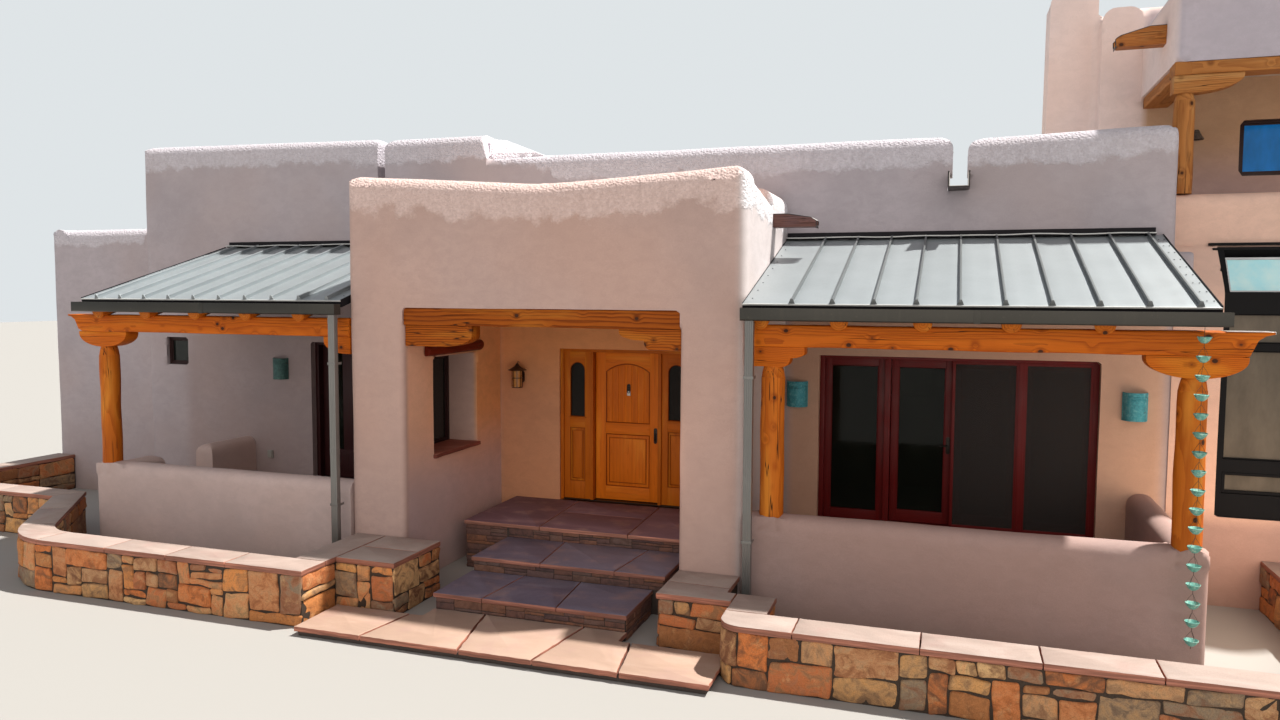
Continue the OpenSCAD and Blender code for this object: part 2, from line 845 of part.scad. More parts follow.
// Low walls of the two porches
module portal_low_walls() {
    y = [low_wall_y, low_wall_y + low_wall_t];
    z = [0, low_wall_h];
    color([0.75, 0.62, 0.58])
        home() {
            difference() {
                union() {
                    soft_x([low_wall_x_left, entry_x0], y, z);
                    block(side_return, [low_wall_y + 1, 0], [0, floor_h]);
                    left_return([low_wall_y + 1, -side_return_d - side_gap_w], back = true);
                    left_return([-side_return_d, 0]);
                }
                corner_waste(low_wall_x_left, low_wall_y, edge_r, low_wall_h);
                end_waste_x(low_wall_x_left, low_wall_y - 1, y[1] + 1, low_wall_h, edge_r);
                porch_posts(seat);
            }
            difference() {
                union() {
                    soft_x([entry_x3, low_wall_x_right], y, z);
                    soft_y([low_wall_y, 0], [low_wall_x_right - low_wall_t, low_wall_x_right], z);
                }
                corner_waste(low_wall_x_right, low_wall_y, edge_r, low_wall_h, right = true);
                end_waste_x(low_wall_x_right, low_wall_y - 1, 1, low_wall_h, edge_r, right = true);
                porch_posts(seat);
            }
        }
}

side_return = [side_return_x, side_return_x + low_wall_t];

// A length of the return of the left low wall, whose end at the gap is rounded
module left_return(y, back = false) {
    difference() {
        soft_y(y, side_return, [0, low_wall_h]);
        end_waste_y(side_return[0] - 1, side_return[1] + 1, back ? y[1] : y[0], low_wall_h,
            edge_r, back);
    }
}

corbel_h = 200;
lintel_h = 140;
upper_post_dia = 200;
post_socket = 150;

// The three porch posts, let into the low walls and grown by out
module porch_posts(out = 0) {
    for (x = [left_post_x, near_post_x, right_post_x])
        translate([x, post_y, low_wall_h - post_socket - out])
            cylinder(d = post_dia + 2 * out, h = beam_z0 - corbel_h - low_wall_h + post_socket + out,
                $fn = 40);
}

// Log posts of the porches and the balcony
module timber_posts() {
    color([0.72, 0.38, 0.10])
        home() {
            porch_posts();
            for (x = [x_right + 130, x_end_right - 130])
                translate([x, balcony_y + 150, balcony_h])
                    cylinder(d = upper_post_dia, h = lintel_z - corbel_h - balcony_h, $fn = 40);
        }
}

// Outline of half a corbel: a flat stretch, then a curve up to the tip at x = length
module corbel_outline(length, h, flat) {
    run = length - flat;
    polygon(concat([[0, 0]], [[0, -h]],
        [for (i = [0:8]) let (a = i * 90 / 8) [flat + run * sin(a), -h * cos(a)]]));
}

// A corbel that grows from x to one side
module corbel(x, y0, y1, z, length, flat, h = corbel_h, left = false) {
    translate([x, 0, z])
        mirror([left ? 1 : 0, 0, 0])
            slab_xz(y0, y1)
                corbel_outline(length, h, flat);
}

// Carved corbels under the beams
module timber_corbels() {
    y0 = beam_y0 + 10;
    y1 = beam_y0 + portal_beam - 10;
    color([0.70, 0.36, 0.09])
        home() {
            corbel(entry_x1, -entry_d + 60, -entry_d + 260, entry_beam_z, 860, 480, 240);
            corbel(entry_x2, -entry_d + 60, -entry_d + 260, entry_beam_z, 690, 300, 220, left = true);
            corbel(entry_x0, y0, y1, beam_z0, 370, 60, left = true);
            for (side = [true, false])
                corbel(left_post_x, y0, y1, beam_z0, 400, 0, left = side);
            corbel(entry_x3, y0, y1, beam_z0, 600, 400);
            for (side = [true, false])
                corbel(right_post_x, y0, y1, beam_z0, 400, 0, left = side);
            corbel(x_right, balcony_y + 50, balcony_y + 250, lintel_z, 700, 300);
            corbel(x_end_right, balcony_y + 50, balcony_y + 250, lintel_z, 700, 300, left = true);
        }
}

// Outline of a porch beam whose free end is cut to a curve
module beam_outline(length) {
    polygon(concat([[0, 0], [0, portal_beam], [length, portal_beam], [length, portal_beam - 20]],
        [for (i = [1:6]) let (a = i * 15) [length - 180 * sin(a), (portal_beam - 20) * cos(a)]]));
}

// Beams of the entry, the porches and the balcony
module timber_beams() {
    y1 = beam_y0 + portal_beam;
    color([0.70, 0.36, 0.09])
        home() {
            block([entry_x1, entry_x2], [-entry_d + 30, -entry_d + 330],
                [entry_beam_z, entry_beam_z + entry_beam_h]);
            translate([entry_x3, 0, beam_z0])
                slab_xz(beam_y0, y1)
                    beam_outline(right_post_x - entry_x3 + 580);
            translate([entry_x0, 0, beam_z0])
                mirror([1, 0, 0])
                    slab_xz(beam_y0, y1)
                        beam_outline(entry_x0 - left_post_x + 580);
            upper_lintels();
        }
}

// Lintels around three sides of the balcony opening
module upper_lintels() {
    z = [lintel_z, lintel_z + lintel_h];
    front = [balcony_y + 20, balcony_y + 320];
    block([x_right, x_end_right], front, z);
    for (x = [x_right + 30, x_end_right - 330])
        block([x, x + 300], [front[1] + seat, upper_y], z);
}

// Log rafters under the two porch roofs
module log_rafters() {
    color([0.68, 0.35, 0.10])
        home()
            difference() {
                for (i = [0:4]) {
                    rafter(entry_x3 + 170 + i * rafter_step);
                    rafter(entry_x0 - 630 - i * rafter_step);
                }
                block([left_post_x - 700, right_post_x + 700],
                    [beam_y0 - seat, beam_y0 + portal_beam + seat], [beam_z0, beam_z1]);
            }
}

// One sloping log, from behind the gutter to the wall
module rafter(x) {
    tilt = atan(roof_slope);
    drop = roof_pack_t + rafter_dia / 2 / cos(tilt) + seat;
    intersection() {
        translate([x, -portal_d - 200, roof_z(-portal_d - 200) - drop])
            rotate([-90 + tilt, 0, 0])
                cylinder(d = rafter_dia, h = portal_d + 600, $fn = 24);
        block([x - rafter_dia, x + rafter_dia], [roof_edge_y + 20, 0], [2000, 5000]);
    }
}

// Outline of a porch roof in y and z, with its surface lifted and its underside at depth t
module roof_outline(t, lift = 0) {
    y0 = roof_edge_y;
    polygon([[y0, roof_z(y0) - t], [0, roof_z(0) - t], [0, roof_z(0) + lift], [y0, roof_z(y0) + lift]]);
}

// Standing-seam metal roofs of the two porches
module portal_roofs() {
    color([0.66, 0.71, 0.71])
        home() {
            metal_roof(left_roof_x0, entry_x0, entry_x0 - 196 - 9 * seam_step, 10);
            metal_roof(entry_x3, right_roof_x1, entry_x3 + 490, 10);
        }
}

// One metal roof with its seams, and the flashing against the wall
module metal_roof(x0, x1, first_seam, seams) {
    slab_yz(x0, x1)
        roof_outline(roof_pack_t);
    for (i = [0:seams - 1])
        slab_yz(first_seam + i * seam_step - 12, first_seam + i * seam_step + 12)
            roof_outline(10, 38);
    block([x0, x1], [-25, 0], [roof_z(0) - 20, roof_z(0) + 75]);
}

gutter_w = 120;
gutter_h = 124;
gutter_z = eave_z - 154;

// Box gutters on the eaves, each with its downspout
module gutters() {
    color([0.30, 0.30, 0.29])
        home() {
            gutter(left_roof_x0 - 40, entry_x0 - seat);
            downspout(entry_x0 - 70);
            gutter(entry_x3 + seat, right_roof_x1 + 60);
            downspout(entry_x3 + 90);
        }
}

// One gutter, open at the top
module gutter(x0, x1) {
    y = [roof_edge_y - gutter_w, roof_edge_y];
    difference() {
        block([x0, x1], y, [gutter_z, gutter_z + gutter_h]);
        block([x0 + 8, x1 - 8], [y[0] + 8, y[1] - 8], [gutter_z + 8, gutter_z + gutter_h + 1]);
    }
}

// One downspout, from the gutter to the ground
module downspout(x) {
    block([x - 45, x + 45], [roof_edge_y - 100, roof_edge_y - 20], [0, gutter_z + 1]);
}

cup_step = 165;
cup_count = 17;

// Rain chain of small cups on a rod
module rain_chain() {
    color([0.48, 0.68, 0.62])
        home()
            translate([right_post_x, roof_edge_y - gutter_w / 2, 0]) {
                translate([0, 0, gutter_z - cup_count * cup_step])
                    cylinder(d = 10, h = cup_count * cup_step, $fn = 12);
                for (i = [1:cup_count])
                    translate([0, 0, gutter_z - i * cup_step + 20])
                        cylinder(d1 = 24, d2 = 120, h = 60, $fn = 20);
            }
}

// Spouts that drain the flat roofs
module canales() {
    color([0.25, 0.20, 0.18])
        home() {
            difference() {
                block([main_canale_x - 120 + seat, main_canale_x + 120 - seat], [-350, wall_t - 50],
                    [main_canale_z + seat, main_canale_z + main_canale_h - seat]);
                block([main_canale_x - 120 + canale_t, main_canale_x + 120 - canale_t],
                    [-351, wall_t], [main_canale_z + canale_t, main_canale_z + main_canale_h]);
            }
            translate([entry_x3, entry_canale_y, entry_canale_z])
                side_canale(entry_pier_r - 50, 490, entry_canale_h);
            translate([x_right, wing_canale_y, wing_canale_z])
                mirror([1, 0, 0])
                    side_canale(wall_t - 20, 540, wing_canale_h);
        }
}

// A trough along x: it starts inside the wall, whose face is at 0, and its sides taper to the tip
module side_canale(inside, length, h) {
    side = canale_w / 2 - seat;
    tip = 0.35 * h;
    difference() {
        slab_xz(-side, side)
            polygon(concat(
                [[-inside, seat], [length - 20, seat], [length, 20]],
                arc(length - tip / 2, tip, tip / 2, 0, 60, 4),
                [[0.3 * length, h - seat], [-inside, h - seat]]));
        block([-inside - 1, length + 1], [canale_t - side, side - canale_t], [canale_t, h]);
    }
}

// Flat roofs of the house, the lower room, the entry and the wing
module flat_roofs() {
    color([0.62, 0.60, 0.57])
        home() {
            block([x_left + wall_t, x_right - wing_wall_t], [wall_t, house_d - wall_t],
                [roof_h - roof_t, roof_h]);
            block([x_end_left + wall_t, x_left], [2 * wall_t, side_room_d],
                [side_room_h - 700, side_room_h - 500]);
            block([entry_x0 + wall_t, entry_x3 - wall_t], [-entry_d + wall_t, 0],
                [entry_roof_h - roof_t, entry_roof_h]);
            block([x_right, x_end_right - wall_t], [upper_y + upper_wall_t, house_d - wall_t],
                [upper_parapet_h - 650, upper_parapet_h - 400]);
            block([x_right + wall_t, x_end_right - wall_t], [balcony_y + wall_t, upper_y],
                [wing_canale_z - 150, wing_canale_z + canale_t]);
        }
}

// Battered chimney on the roof beside the wing
module chimney() {
    x = [x_right - 1140, x_right - wing_wall_t];
    y = [2900, 3650];
    color([0.78, 0.66, 0.60])
        home()
            difference() {
                intersection() {
                    slab_xz(y[0], y[1])
                        polygon([[x[0], roof_h], [x[1], roof_h], [x[1], chimney_h],
                            [x[0] + 130, chimney_h], [x[0] + 20, chimney_h - 240]]);
                    slab_yz(x[0], x[1])
                        polygon([[y[0], roof_h], [y[1], roof_h], [y[1] - 60, chimney_h],
                            [y[0] + 60, chimney_h]]);
                }
                block([x[0] + 270, x[1] - 130], [y[0] + 200, y[1] - 200],
                    [chimney_h - 800, chimney_h + 1]);
            }
}

wing_sill_z = floor_h + 480;
slope_low_z = floor_h + 2890;
slope_high_z = floor_h + 3400;
buttress_w = 480;

// Base wall and sloped buttresses of the sunspace
module sunspace_wall() {
    color([0.78, 0.60, 0.53])
        home() {
            block([x_right, x_end_right], [0, balcony_y], [0, wing_sill_z - 80]);
            buttress(x_right);
            buttress(x_end_right - buttress_w);
        }
}

// One buttress: upright in front, sloping back above
module buttress(x) {
    slab_yz(x, x + buttress_w)
        polygon([[0, 0], [balcony_y, 0], [balcony_y, slope_high_z], [balcony_y - 40, slope_high_z],
            [30, slope_low_z + 40], [0, slope_low_z - 30]]);
}

// The two bays of the sunspace, and the lights in each, measured up from the sill
sunspace_x = [x_right + buttress_w, x_end_right - buttress_w];
bay_w = (sunspace_x[1] - sunspace_x[0] - 3 * jamb) / 2;
sunspace_lights = [[180, 420], [560, 1760], [1840, 2160]];
function sunspace_bay(i) =
    let (x = sunspace_x[0] + jamb + i * (bay_w + jamb)) [x, x + bay_w];

// Bronze frame of the sunspace: two bays of upright lights under a sloped light
module sunspace_frame() {
    color([0.12, 0.12, 0.13])
        home()
            difference() {
                slab_yz(sunspace_x[0], sunspace_x[1])
                    sunspace_outline();
                for (i = [0, 1]) {
                    x = sunspace_bay(i);
                    for (z = sunspace_lights)
                        block(x, [-1, 200], [wing_sill_z + z[0], wing_sill_z + z[1]]);
                    slab_yz(x[0], x[1])
                        sloped_light();
                }
            }
}

// Section of the sunspace frame: upright in front, then sloping back
module sunspace_outline() {
    z0 = wing_sill_z - 80;
    polygon([[40, z0], [140, z0], [140, slope_low_z - 100], [balcony_y, slope_high_z - 220],
        [balcony_y, slope_high_z - 20], [balcony_y - 60, slope_high_z - 20], [40, slope_low_z - 20]]);
}

// Section of the opening of a sloped light
module sloped_light() {
    polygon([[10, slope_low_z + 20], [200, slope_low_z - 140],
        [balcony_y + 60, slope_high_z - 260], [balcony_y - 120, slope_high_z + 40]]);
}

// Balcony wall over the sunspace
module balcony_wall() {
    color([0.80, 0.62, 0.55])
        home()
            soft_x([x_right, x_end_right - wall_t], [balcony_y, balcony_y + rail_t],
                [upper_floor_h, balcony_h]);
}

// Wall between the house and the wing, which carries on up past the roof
module wing_left_wall() {
    x = [x_right - wing_wall_t, x_right];
    color([0.78, 0.64, 0.58])
        home() {
            block(x, [wall_t, house_d - wall_t], [0, 5000]);
            soft_y([wall_t, upper_y], x, [4900, parapet_h + 10]);
            soft_y([upper_y, house_d - wall_t], x, [4900, upper_parapet_h]);
        }
}

// Right wall of the wing, and the back wall of its two storeys
module wing_right_wall() {
    x = [x_end_right - wall_t, x_end_right];
    color([0.78, 0.64, 0.58])
        home() {
            block(x, [balcony_y, house_d], [0, 4400]);
            soft_y([balcony_y, upper_y], x, [4300, balcony_h]);
            soft_y([upper_y, house_d], x, [4300, upper_parapet_h]);
            difference() {
                soft_x([x_right, x_end_right], [house_d - wall_t, house_d], [0, upper_parapet_h]);
                for (z = [back_window_z, wing_window_z])
                    back_window_hole(wing_window_x, z);
            }
        }
}

// Front wall of the upper room, behind the balcony
module upper_front_wall() {
    color([0.72, 0.56, 0.45])
        home()
            difference() {
                soft_x([x_right, x_end_right - wall_t], [upper_y, upper_y + upper_wall_t],
                    [upper_floor_h, upper_parapet_h]);
                block(upper_window[0], [upper_y - 1, upper_y + upper_wall_t + 1], upper_window[1]);
            }
}

// Wall over the balcony lintels, on three sides
module upper_header_wall() {
    z0 = lintel_z + lintel_h;
    top = upper_parapet_h - 250;
    color([0.72, 0.62, 0.60])
        home()
            difference() {
                union() {
                    soft_x([x_right, x_end_right], [balcony_y, balcony_y + wall_t], [z0, top]);
                    for (x = [x_right, x_end_right - wall_t])
                        soft_y([balcony_y, upper_y], [x, x + wall_t], [z0, top]);
                }
                corner_waste(x_right, balcony_y, edge_r, 8000);
                corner_waste(x_end_right, balcony_y, edge_r, 8000, right = true);
                block([x_right - 1, x_right + wall_t + 1],
                    [wing_canale_y - canale_w / 2, wing_canale_y + canale_w / 2],
                    [wing_canale_z, wing_canale_z + wing_canale_h]);
            }
}

// Wooden frames of the windows
module window_frames() {
    color([0.24, 0.08, 0.07])
        home() {
            window_frame_x(small_window[0], window_in, small_window[1]);
            window_frame_x(upper_window[0], upper_y + window_in + 20, upper_window[1]);
            for (x = back_window_x)
                back_window_frame(x, back_window_z);
            for (z = [back_window_z, wing_window_z])
                back_window_frame(wing_window_x, z);
            difference() {
                block([niche_window_x, niche_window_x + 60], niche_window[0], niche_window[1]);
                block([niche_window_x - 1, niche_window_x + 61], inset(niche_window[0], 60),
                    inset(niche_window[1], 60));
            }
        }
}

window_in = 60;
window_bar = 55;
window_frame_d = 70;
pane_t = 8;

// A range drawn in by d at both ends
function inset(range, d) = [range[0] + d, range[1] - d];

// A rectangular frame in a wall that runs along x
module window_frame_x(x, y, z) {
    difference() {
        block(x, [y, y + window_frame_d], z);
        block(inset(x, window_bar), [y - 1, y + window_frame_d + 1], inset(z, window_bar));
    }
}

// A frame in the back wall, around the middle x
module back_window_frame(x, z) {
    window_frame_x([x - back_window_w / 2, x + back_window_w / 2],
        house_d - window_in - window_frame_d - 10, z);
}

// Fixed panes of the house
module window_glass() {
    color([0.35, 0.42, 0.42])
        home() {
            pane(small_window[0], window_in, small_window[1]);
            pane(upper_window[0], upper_y + window_in + 20, upper_window[1]);
            for (x = back_window_x)
                back_pane(x, back_window_z);
            for (z = [back_window_z, wing_window_z])
                back_pane(wing_window_x, z);
            block([niche_window_x + 26, niche_window_x + 26 + pane_t], inset(niche_window[0], 60),
                inset(niche_window[1], 60));
            for (x = [patio_a, patio_c])
                block([x + 80, x + patio_fixed_w - 80], [patio_recess + 76, patio_recess + 84],
                    [floor_h + 140, head_z - head_t - 90]);
            for (x = [[front_x0 + front_jamb - 1, -front_jamb - gap + 1],
                [door_w + front_jamb - 1, front_x1 - front_jamb + 1]])
                slab_xz(front_recess + 56, front_recess + 64)
                    arched_outline(x[0] + sidelight_stile, x[1] - sidelight_stile,
                        floor_h + 1150, floor_h + 1900, 80);
            sunspace_panes();
        }
}

// A pane in the middle of a window frame
module pane(x, y, z) {
    block(inset(x, window_bar), [y + 31, y + 31 + pane_t], inset(z, window_bar));
}

// A pane in the back wall
module back_pane(x, z) {
    pane([x - back_window_w / 2, x + back_window_w / 2], house_d - window_in - window_frame_d - 10, z);
}

// Upright and sloped panes of the sunspace, which fill its frame
module sunspace_panes() {
    for (i = [0, 1]) {
        x = sunspace_bay(i);
        for (z = sunspace_lights)
            block(x, [86, 86 + pane_t], [wing_sill_z + z[0], wing_sill_z + z[1]]);
        slab_yz(x[0], x[1])
            intersection() {
                sloped_light();
                sloped_pane_line();
            }
    }
}

// Section of the sloped pane, longer than its light
module sloped_pane_line() {
    tilt = atan2(slope_high_z - slope_low_z, balcony_y - 100);
    translate([90, slope_low_z - 55])
        rotate(tilt)
            translate([-200, 0])
                square([1100, pane_t]);
}

// Wall lamps: three half-round sconces, the entry lantern and the balcony lamp
module wall_lamps() {
    color([0.20, 0.50, 0.52])
        home() {
            sconce(side_x0 - 540, floor_h + 1510);
            sconce(entry_x3 + 160, floor_h + 1430);
            sconce(patio_x1 + 355, floor_h + 1430);
            lantern(entry_x1 + 325, floor_h + 1540);
            balcony_lamp(x_right + 660, floor_h + 4880);
        }
}

// A half cylinder on the wall
module sconce(x, z) {
    intersection() {
        translate([x, 0, z])
            cylinder(r = 130, h = 320, $fn = 32);
        block([x - 150, x + 150], [-150, 0], [z, z + 320]);
    }
}

// A lantern on a short arm
module lantern(x, z) {
    translate([x, -140, z]) {
        cylinder(r = 75, h = 250, $fn = 6);
        translate([0, 0, 249])
            cylinder(r1 = 120, r2 = 20, h = 100, $fn = 6);
    }
    block([x - 12, x + 12], [-160, 0], [z + 120, z + 150]);
    block([x - 50, x + 50], [-15, 0], [z + 50, z + 220]);
}

// A small bell lamp under the balcony roof
module balcony_lamp(x, z) {
    translate([x, upper_y - 90, z])
        cylinder(r1 = 90, r2 = 30, h = 130, $fn = 24);
    block([x - 15, x + 15], [upper_y - 100, upper_y], [z + 70, z + 100]);
}

step_treads();
step_risers();
planter_walls();
planter_copings();
floor_slabs();
entry_left_wall();
entry_right_wall();
entry_header_wall();
niche_lintel_log();
front_door_frame();
front_door();
side_door_frame();
side_door();
patio_door_frame();
patio_door_left();
patio_door_right();
main_wall_left();
wall_over_side_door();
main_wall_mid_left();
wall_over_front_door();
main_wall_mid_right();
wall_over_patio_doors();
main_wall_right();
outer_walls();
portal_low_walls();
timber_posts();
timber_corbels();
timber_beams();
log_rafters();
portal_roofs();
gutters();
rain_chain();
canales();
flat_roofs();
chimney();
sunspace_wall();
sunspace_frame();
balcony_wall();
wing_left_wall();
wing_right_wall();
upper_front_wall();
upper_header_wall();
window_frames();
window_glass();
wall_lamps();
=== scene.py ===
"""Looks of the adobe house, built in Blender around its packed frame.

Lengths are metres. Pieces are drawn on the plan of the house, where the front door's hinge line
is at x 0, the face of the front wall at y 0 and the lowest ground at z 0, and each piece is moved
to the row frame when it is made.
"""

import logging
import math
import random
from collections.abc import Callable, Iterable, Sequence
from dataclasses import dataclass, field
from enum import Enum

import bmesh
import bpy
from mathutils import Matrix, Vector, noise
from mathutils.bvhtree import BVHTree
from mathutils.kdtree import KDTree


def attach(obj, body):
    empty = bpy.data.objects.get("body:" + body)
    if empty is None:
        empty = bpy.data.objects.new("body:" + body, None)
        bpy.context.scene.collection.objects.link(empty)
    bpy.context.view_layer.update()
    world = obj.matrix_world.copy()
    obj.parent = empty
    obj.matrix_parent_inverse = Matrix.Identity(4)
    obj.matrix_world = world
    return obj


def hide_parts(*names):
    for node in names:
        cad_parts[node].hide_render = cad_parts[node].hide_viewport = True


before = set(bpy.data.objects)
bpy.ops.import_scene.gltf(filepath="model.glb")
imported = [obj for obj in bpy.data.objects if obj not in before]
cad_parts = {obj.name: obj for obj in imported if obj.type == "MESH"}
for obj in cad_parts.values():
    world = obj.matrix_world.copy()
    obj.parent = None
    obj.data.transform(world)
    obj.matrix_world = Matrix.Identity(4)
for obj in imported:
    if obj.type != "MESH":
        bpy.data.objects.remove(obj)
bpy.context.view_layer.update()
NOISE_SEED = 5
NO_LIMIT = 99.0
PLAN_ORIGIN = Vector((-0.3, -1.44, 0.0))

Colour = tuple[float, float, float]
Point = tuple[float, float, float]
Flat = tuple[float, float]
Span = tuple[float, float]
Socket = bpy.types.NodeSocket
ALONG, DEEP, UP = Vector((1, 0, 0)), Vector((0, 1, 0)), Vector((0, 0, 1))
log = logging.getLogger("adobe_house")


# Shapes


class Body(Enum):
    """CAD bodies: the house, and the four leaves that swing."""

    HOUSE = "house"
    FRONT = "front_door"
    SIDE = "side_door"
    PATIO_LEFT = "patio_door_left"
    PATIO_RIGHT = "patio_door_right"


class Axis(Enum):
    """Direction in which an outline is drawn out."""

    X = 0
    Y = 1
    Z = 2

    def place(self, u: float, v: float, along: float) -> Vector:
        """Point of an outline at u and v, drawn out to a distance along this axis.

        Args:
            u: First of the two other coordinates.
            v: Second of them.
            along: Distance along this axis.

        Returns:
            The point.
        """
        if self is Axis.X:
            return Vector((along, u, v))
        if self is Axis.Y:
            return Vector((u, along, v))
        return Vector((u, v, along))

    def vector(self) -> Vector:
        """Unit vector of this axis."""
        return Vector([1.0 if i == self.value else 0.0 for i in range(3)])


def arc(cx: float, cy: float, r: float, a0: float, a1: float, n: int = 8) -> list[Flat]:
    """Points of an arc.

    Args:
        cx: Middle of the arc across.
        cy: Middle of the arc up.
        r: Radius.
        a0: First angle in degrees.
        a1: Last angle in degrees.
        n: Number of steps.

    Returns:
        The points, both ends among them.
    """
    angles = [math.radians(a0 + (a1 - a0) * i / n) for i in range(n + 1)]
    return [(cx + r * math.cos(a), cy + r * math.sin(a)) for a in angles]


def arched(x: Span, z: Span, rise: float, n: int = 10) -> list[Flat]:
    """Outline of a light whose top is an arc, its bottom edge first.

    Args:
        x: Left and right side.
        z: Bottom, and top of the arc.
        rise: Height of the arc.
        n: Steps of the arc.

    Returns:
        Points of the outline, anticlockwise.
    """
    half = (x[1] - x[0]) / 2
    r = (half * half + rise * rise) / (2 * rise)
    spread = math.degrees(math.asin(min(1.0, half / r)))
    top = arc((x[0] + x[1]) / 2, z[1] - r, r, 90 - spread, 90 + spread, n)
    return [(x[0], z[0]), (x[1], z[0]), *top]


def inset(span: Span, by: float) -> Span:
    """A span drawn in by the same length at both ends, or drawn out if that is negative."""
    return (span[0] + by, span[1] - by)


def ramped(value: float, low: float, high: float) -> float:
    """How far a value is from low to high, held between 0 and 1 and eased at both ends."""
    t = min(1.0, max(0.0, (value - low) / (high - low)))
    return t * t * (3 - 2 * t)


@dataclass
class Shape:
    """Closed solids gathered into one piece, each with its own grain and tone."""

    seed: int = 1
    verts: list[Vector] = field(default_factory=list)
    faces: list[list[int]] = field(default_factory=list)
    grain: list[Vector] = field(default_factory=list)
    tone: list[float] = field(default_factory=list)

    def __post_init__(self) -> None:
        """Seeds the piece's own random numbers."""
        self.rng = random.Random(self.seed)

    def solid(self, verts: Sequence[Vector], faces: Iterable[Sequence[int]], along: Vector | None = None,
              pith: Vector | None = None, tone: float | None = None) -> None:
        """Adds one solid.

        Args:
            verts: Its points.
            faces: Its faces, as indices of those points.
            along: Direction of its grain; x if left out.
            pith: A point on the line that its growth rings run round; its middle if left out.
            tone: Where it stands between the darkest and the lightest of its finish.
        """
        along = (along or ALONG).normalized()
        side = along.orthogonal().normalized()
        other = along.cross(side)
        middle = sum(verts, Vector()) / len(verts) if pith is None else pith
        shift = self.rng.uniform(-40, 40)
        tone = self.rng.random() if tone is None else tone
        start = len(self.verts)
        for v in verts:
            d = v - middle
            self.verts.append(Vector(v))
            self.grain.append(Vector((d.dot(along) + shift, d.dot(side), d.dot(other))))
            self.tone.append(tone)
        self.faces.extend([start + i for i in f] for f in faces)

    def box(self, lo: Point | Vector, hi: Point | Vector, r: float = 0.004, step: float = 9.0,
            rough: float = 0.0, pitch: float = 5.0, turn: Matrix | None = None,
            bend: Callable[[Vector], Vector] | None = None, **grain: object) -> None:
        """Adds a box with rounded edges, which may be uneven, turned or bent.

        Args:
            lo: Lowest corner.
            hi: Highest corner.
            r: Radius of its edges.
            step: Longest stretch between two rows of points.
            rough: How far its points may stray.
            pitch: How quickly that unevenness changes, in waves a metre.
            turn: Placement of the box, whose corners are then its own.
            bend: Moves each point, after it was turned.
            **grain: The grain's along, pith and tone.
        """
        rows = []
        for a, b in zip(lo, hi):
            rr = min(r, (b - a) * 0.49)
            inner = max(1, math.ceil((b - a - 2 * rr) / step))
            rows.append([
                (a, a + rr), (a + 0.586 * rr, a + rr),
                *[(t, t) for t in (a + rr + (b - a - 2 * rr) * i / inner for i in range(inner + 1))],
                (b - 0.586 * rr, b - rr), (b, b - rr),
            ])
        index: dict[tuple[int, int, int], int] = {}
        verts: list[Vector] = []
        faces: list[list[int]] = []
        offset = Vector((self.rng.uniform(-50, 50), self.rng.uniform(-50, 50), 0))

        def point(key: tuple[int, int, int]) -> int:
            """Index of the point at a place of the lattice, made when it is first asked for."""
            if key not in index:
                outer = Vector([rows[n][key[n]][0] for n in range(3)])
                inner = Vector([rows[n][key[n]][1] for n in range(3)])
                d = outer - inner
                p = inner + d.normalized() * max(abs(c) for c in d) if d.length > 1e-9 else outer
                if rough:
                    p = p + noise.noise_vector(p * pitch + offset) * rough
                p = turn @ p if turn else p
                index[key] = len(verts)
                verts.append(bend(p) if bend else p)
            return index[key]

        for n in range(3):
            a, b = [m for m in range(3) if m != n]
            for end in (0, len(rows[n]) - 1):
                for i in range(len(rows[a]) - 1):
                    for j in range(len(rows[b]) - 1):
                        ring = []
                        for di, dj in ((0, 0), (1, 0), (1, 1), (0, 1)):
                            key = [0, 0, 0]
                            key[n], key[a], key[b] = end, i + di, j + dj
                            ring.append(point((key[0], key[1], key[2])))
                        faces.append(ring if (end > 0) == (n != 1) else ring[::-1])
        if turn and "along" not in grain:
            grain["along"] = turn.to_3x3() @ ALONG
        self.solid(verts, faces, **grain)

    def prism(self, outline: Sequence[Flat], axis: Axis, span: Span, r: float = 0.0,
              turn: Matrix | None = None, **grain: object) -> None:
        """Draws an outline out along an axis, with its edges eased.

        Args:
            outline: Points in the two other directions, in the order of the axes.
            axis: Direction of the drawing out.
            span: Where it starts and ends.
            r: Width of the eased edges.
            turn: Placement of the finished prism.
            **grain: The grain's along, pith and tone.
        """
        bm = bmesh.new()
        ends = [[bm.verts.new(axis.place(u, v, t)) for u, v in outline] for t in span]
        bm.faces.new(ends[0])
        bm.faces.new(ends[1][::-1])
        count = len(outline)
        for i in range(count):
            j = (i + 1) % count
            bm.faces.new((ends[0][j], ends[0][i], ends[1][i], ends[1][j]))
        bmesh.ops.recalc_face_normals(bm, faces=bm.faces)
        if r:
            sharp = [e for e in bm.edges if e.calc_face_angle(0) > math.radians(25)]
            bmesh.ops.bevel(bm, geom=sharp, offset=r, segments=2, profile=0.6, affect="EDGES",
                            clamp_overlap=True)
        if turn:
            bmesh.ops.transform(bm, matrix=turn, verts=bm.verts)
        bm.verts.index_update()
        grain.setdefault("along", axis.vector())
        self.solid([v.co.copy() for v in bm.verts], [[v.index for v in f.verts] for f in bm.faces],
                   **grain)
        bm.free()

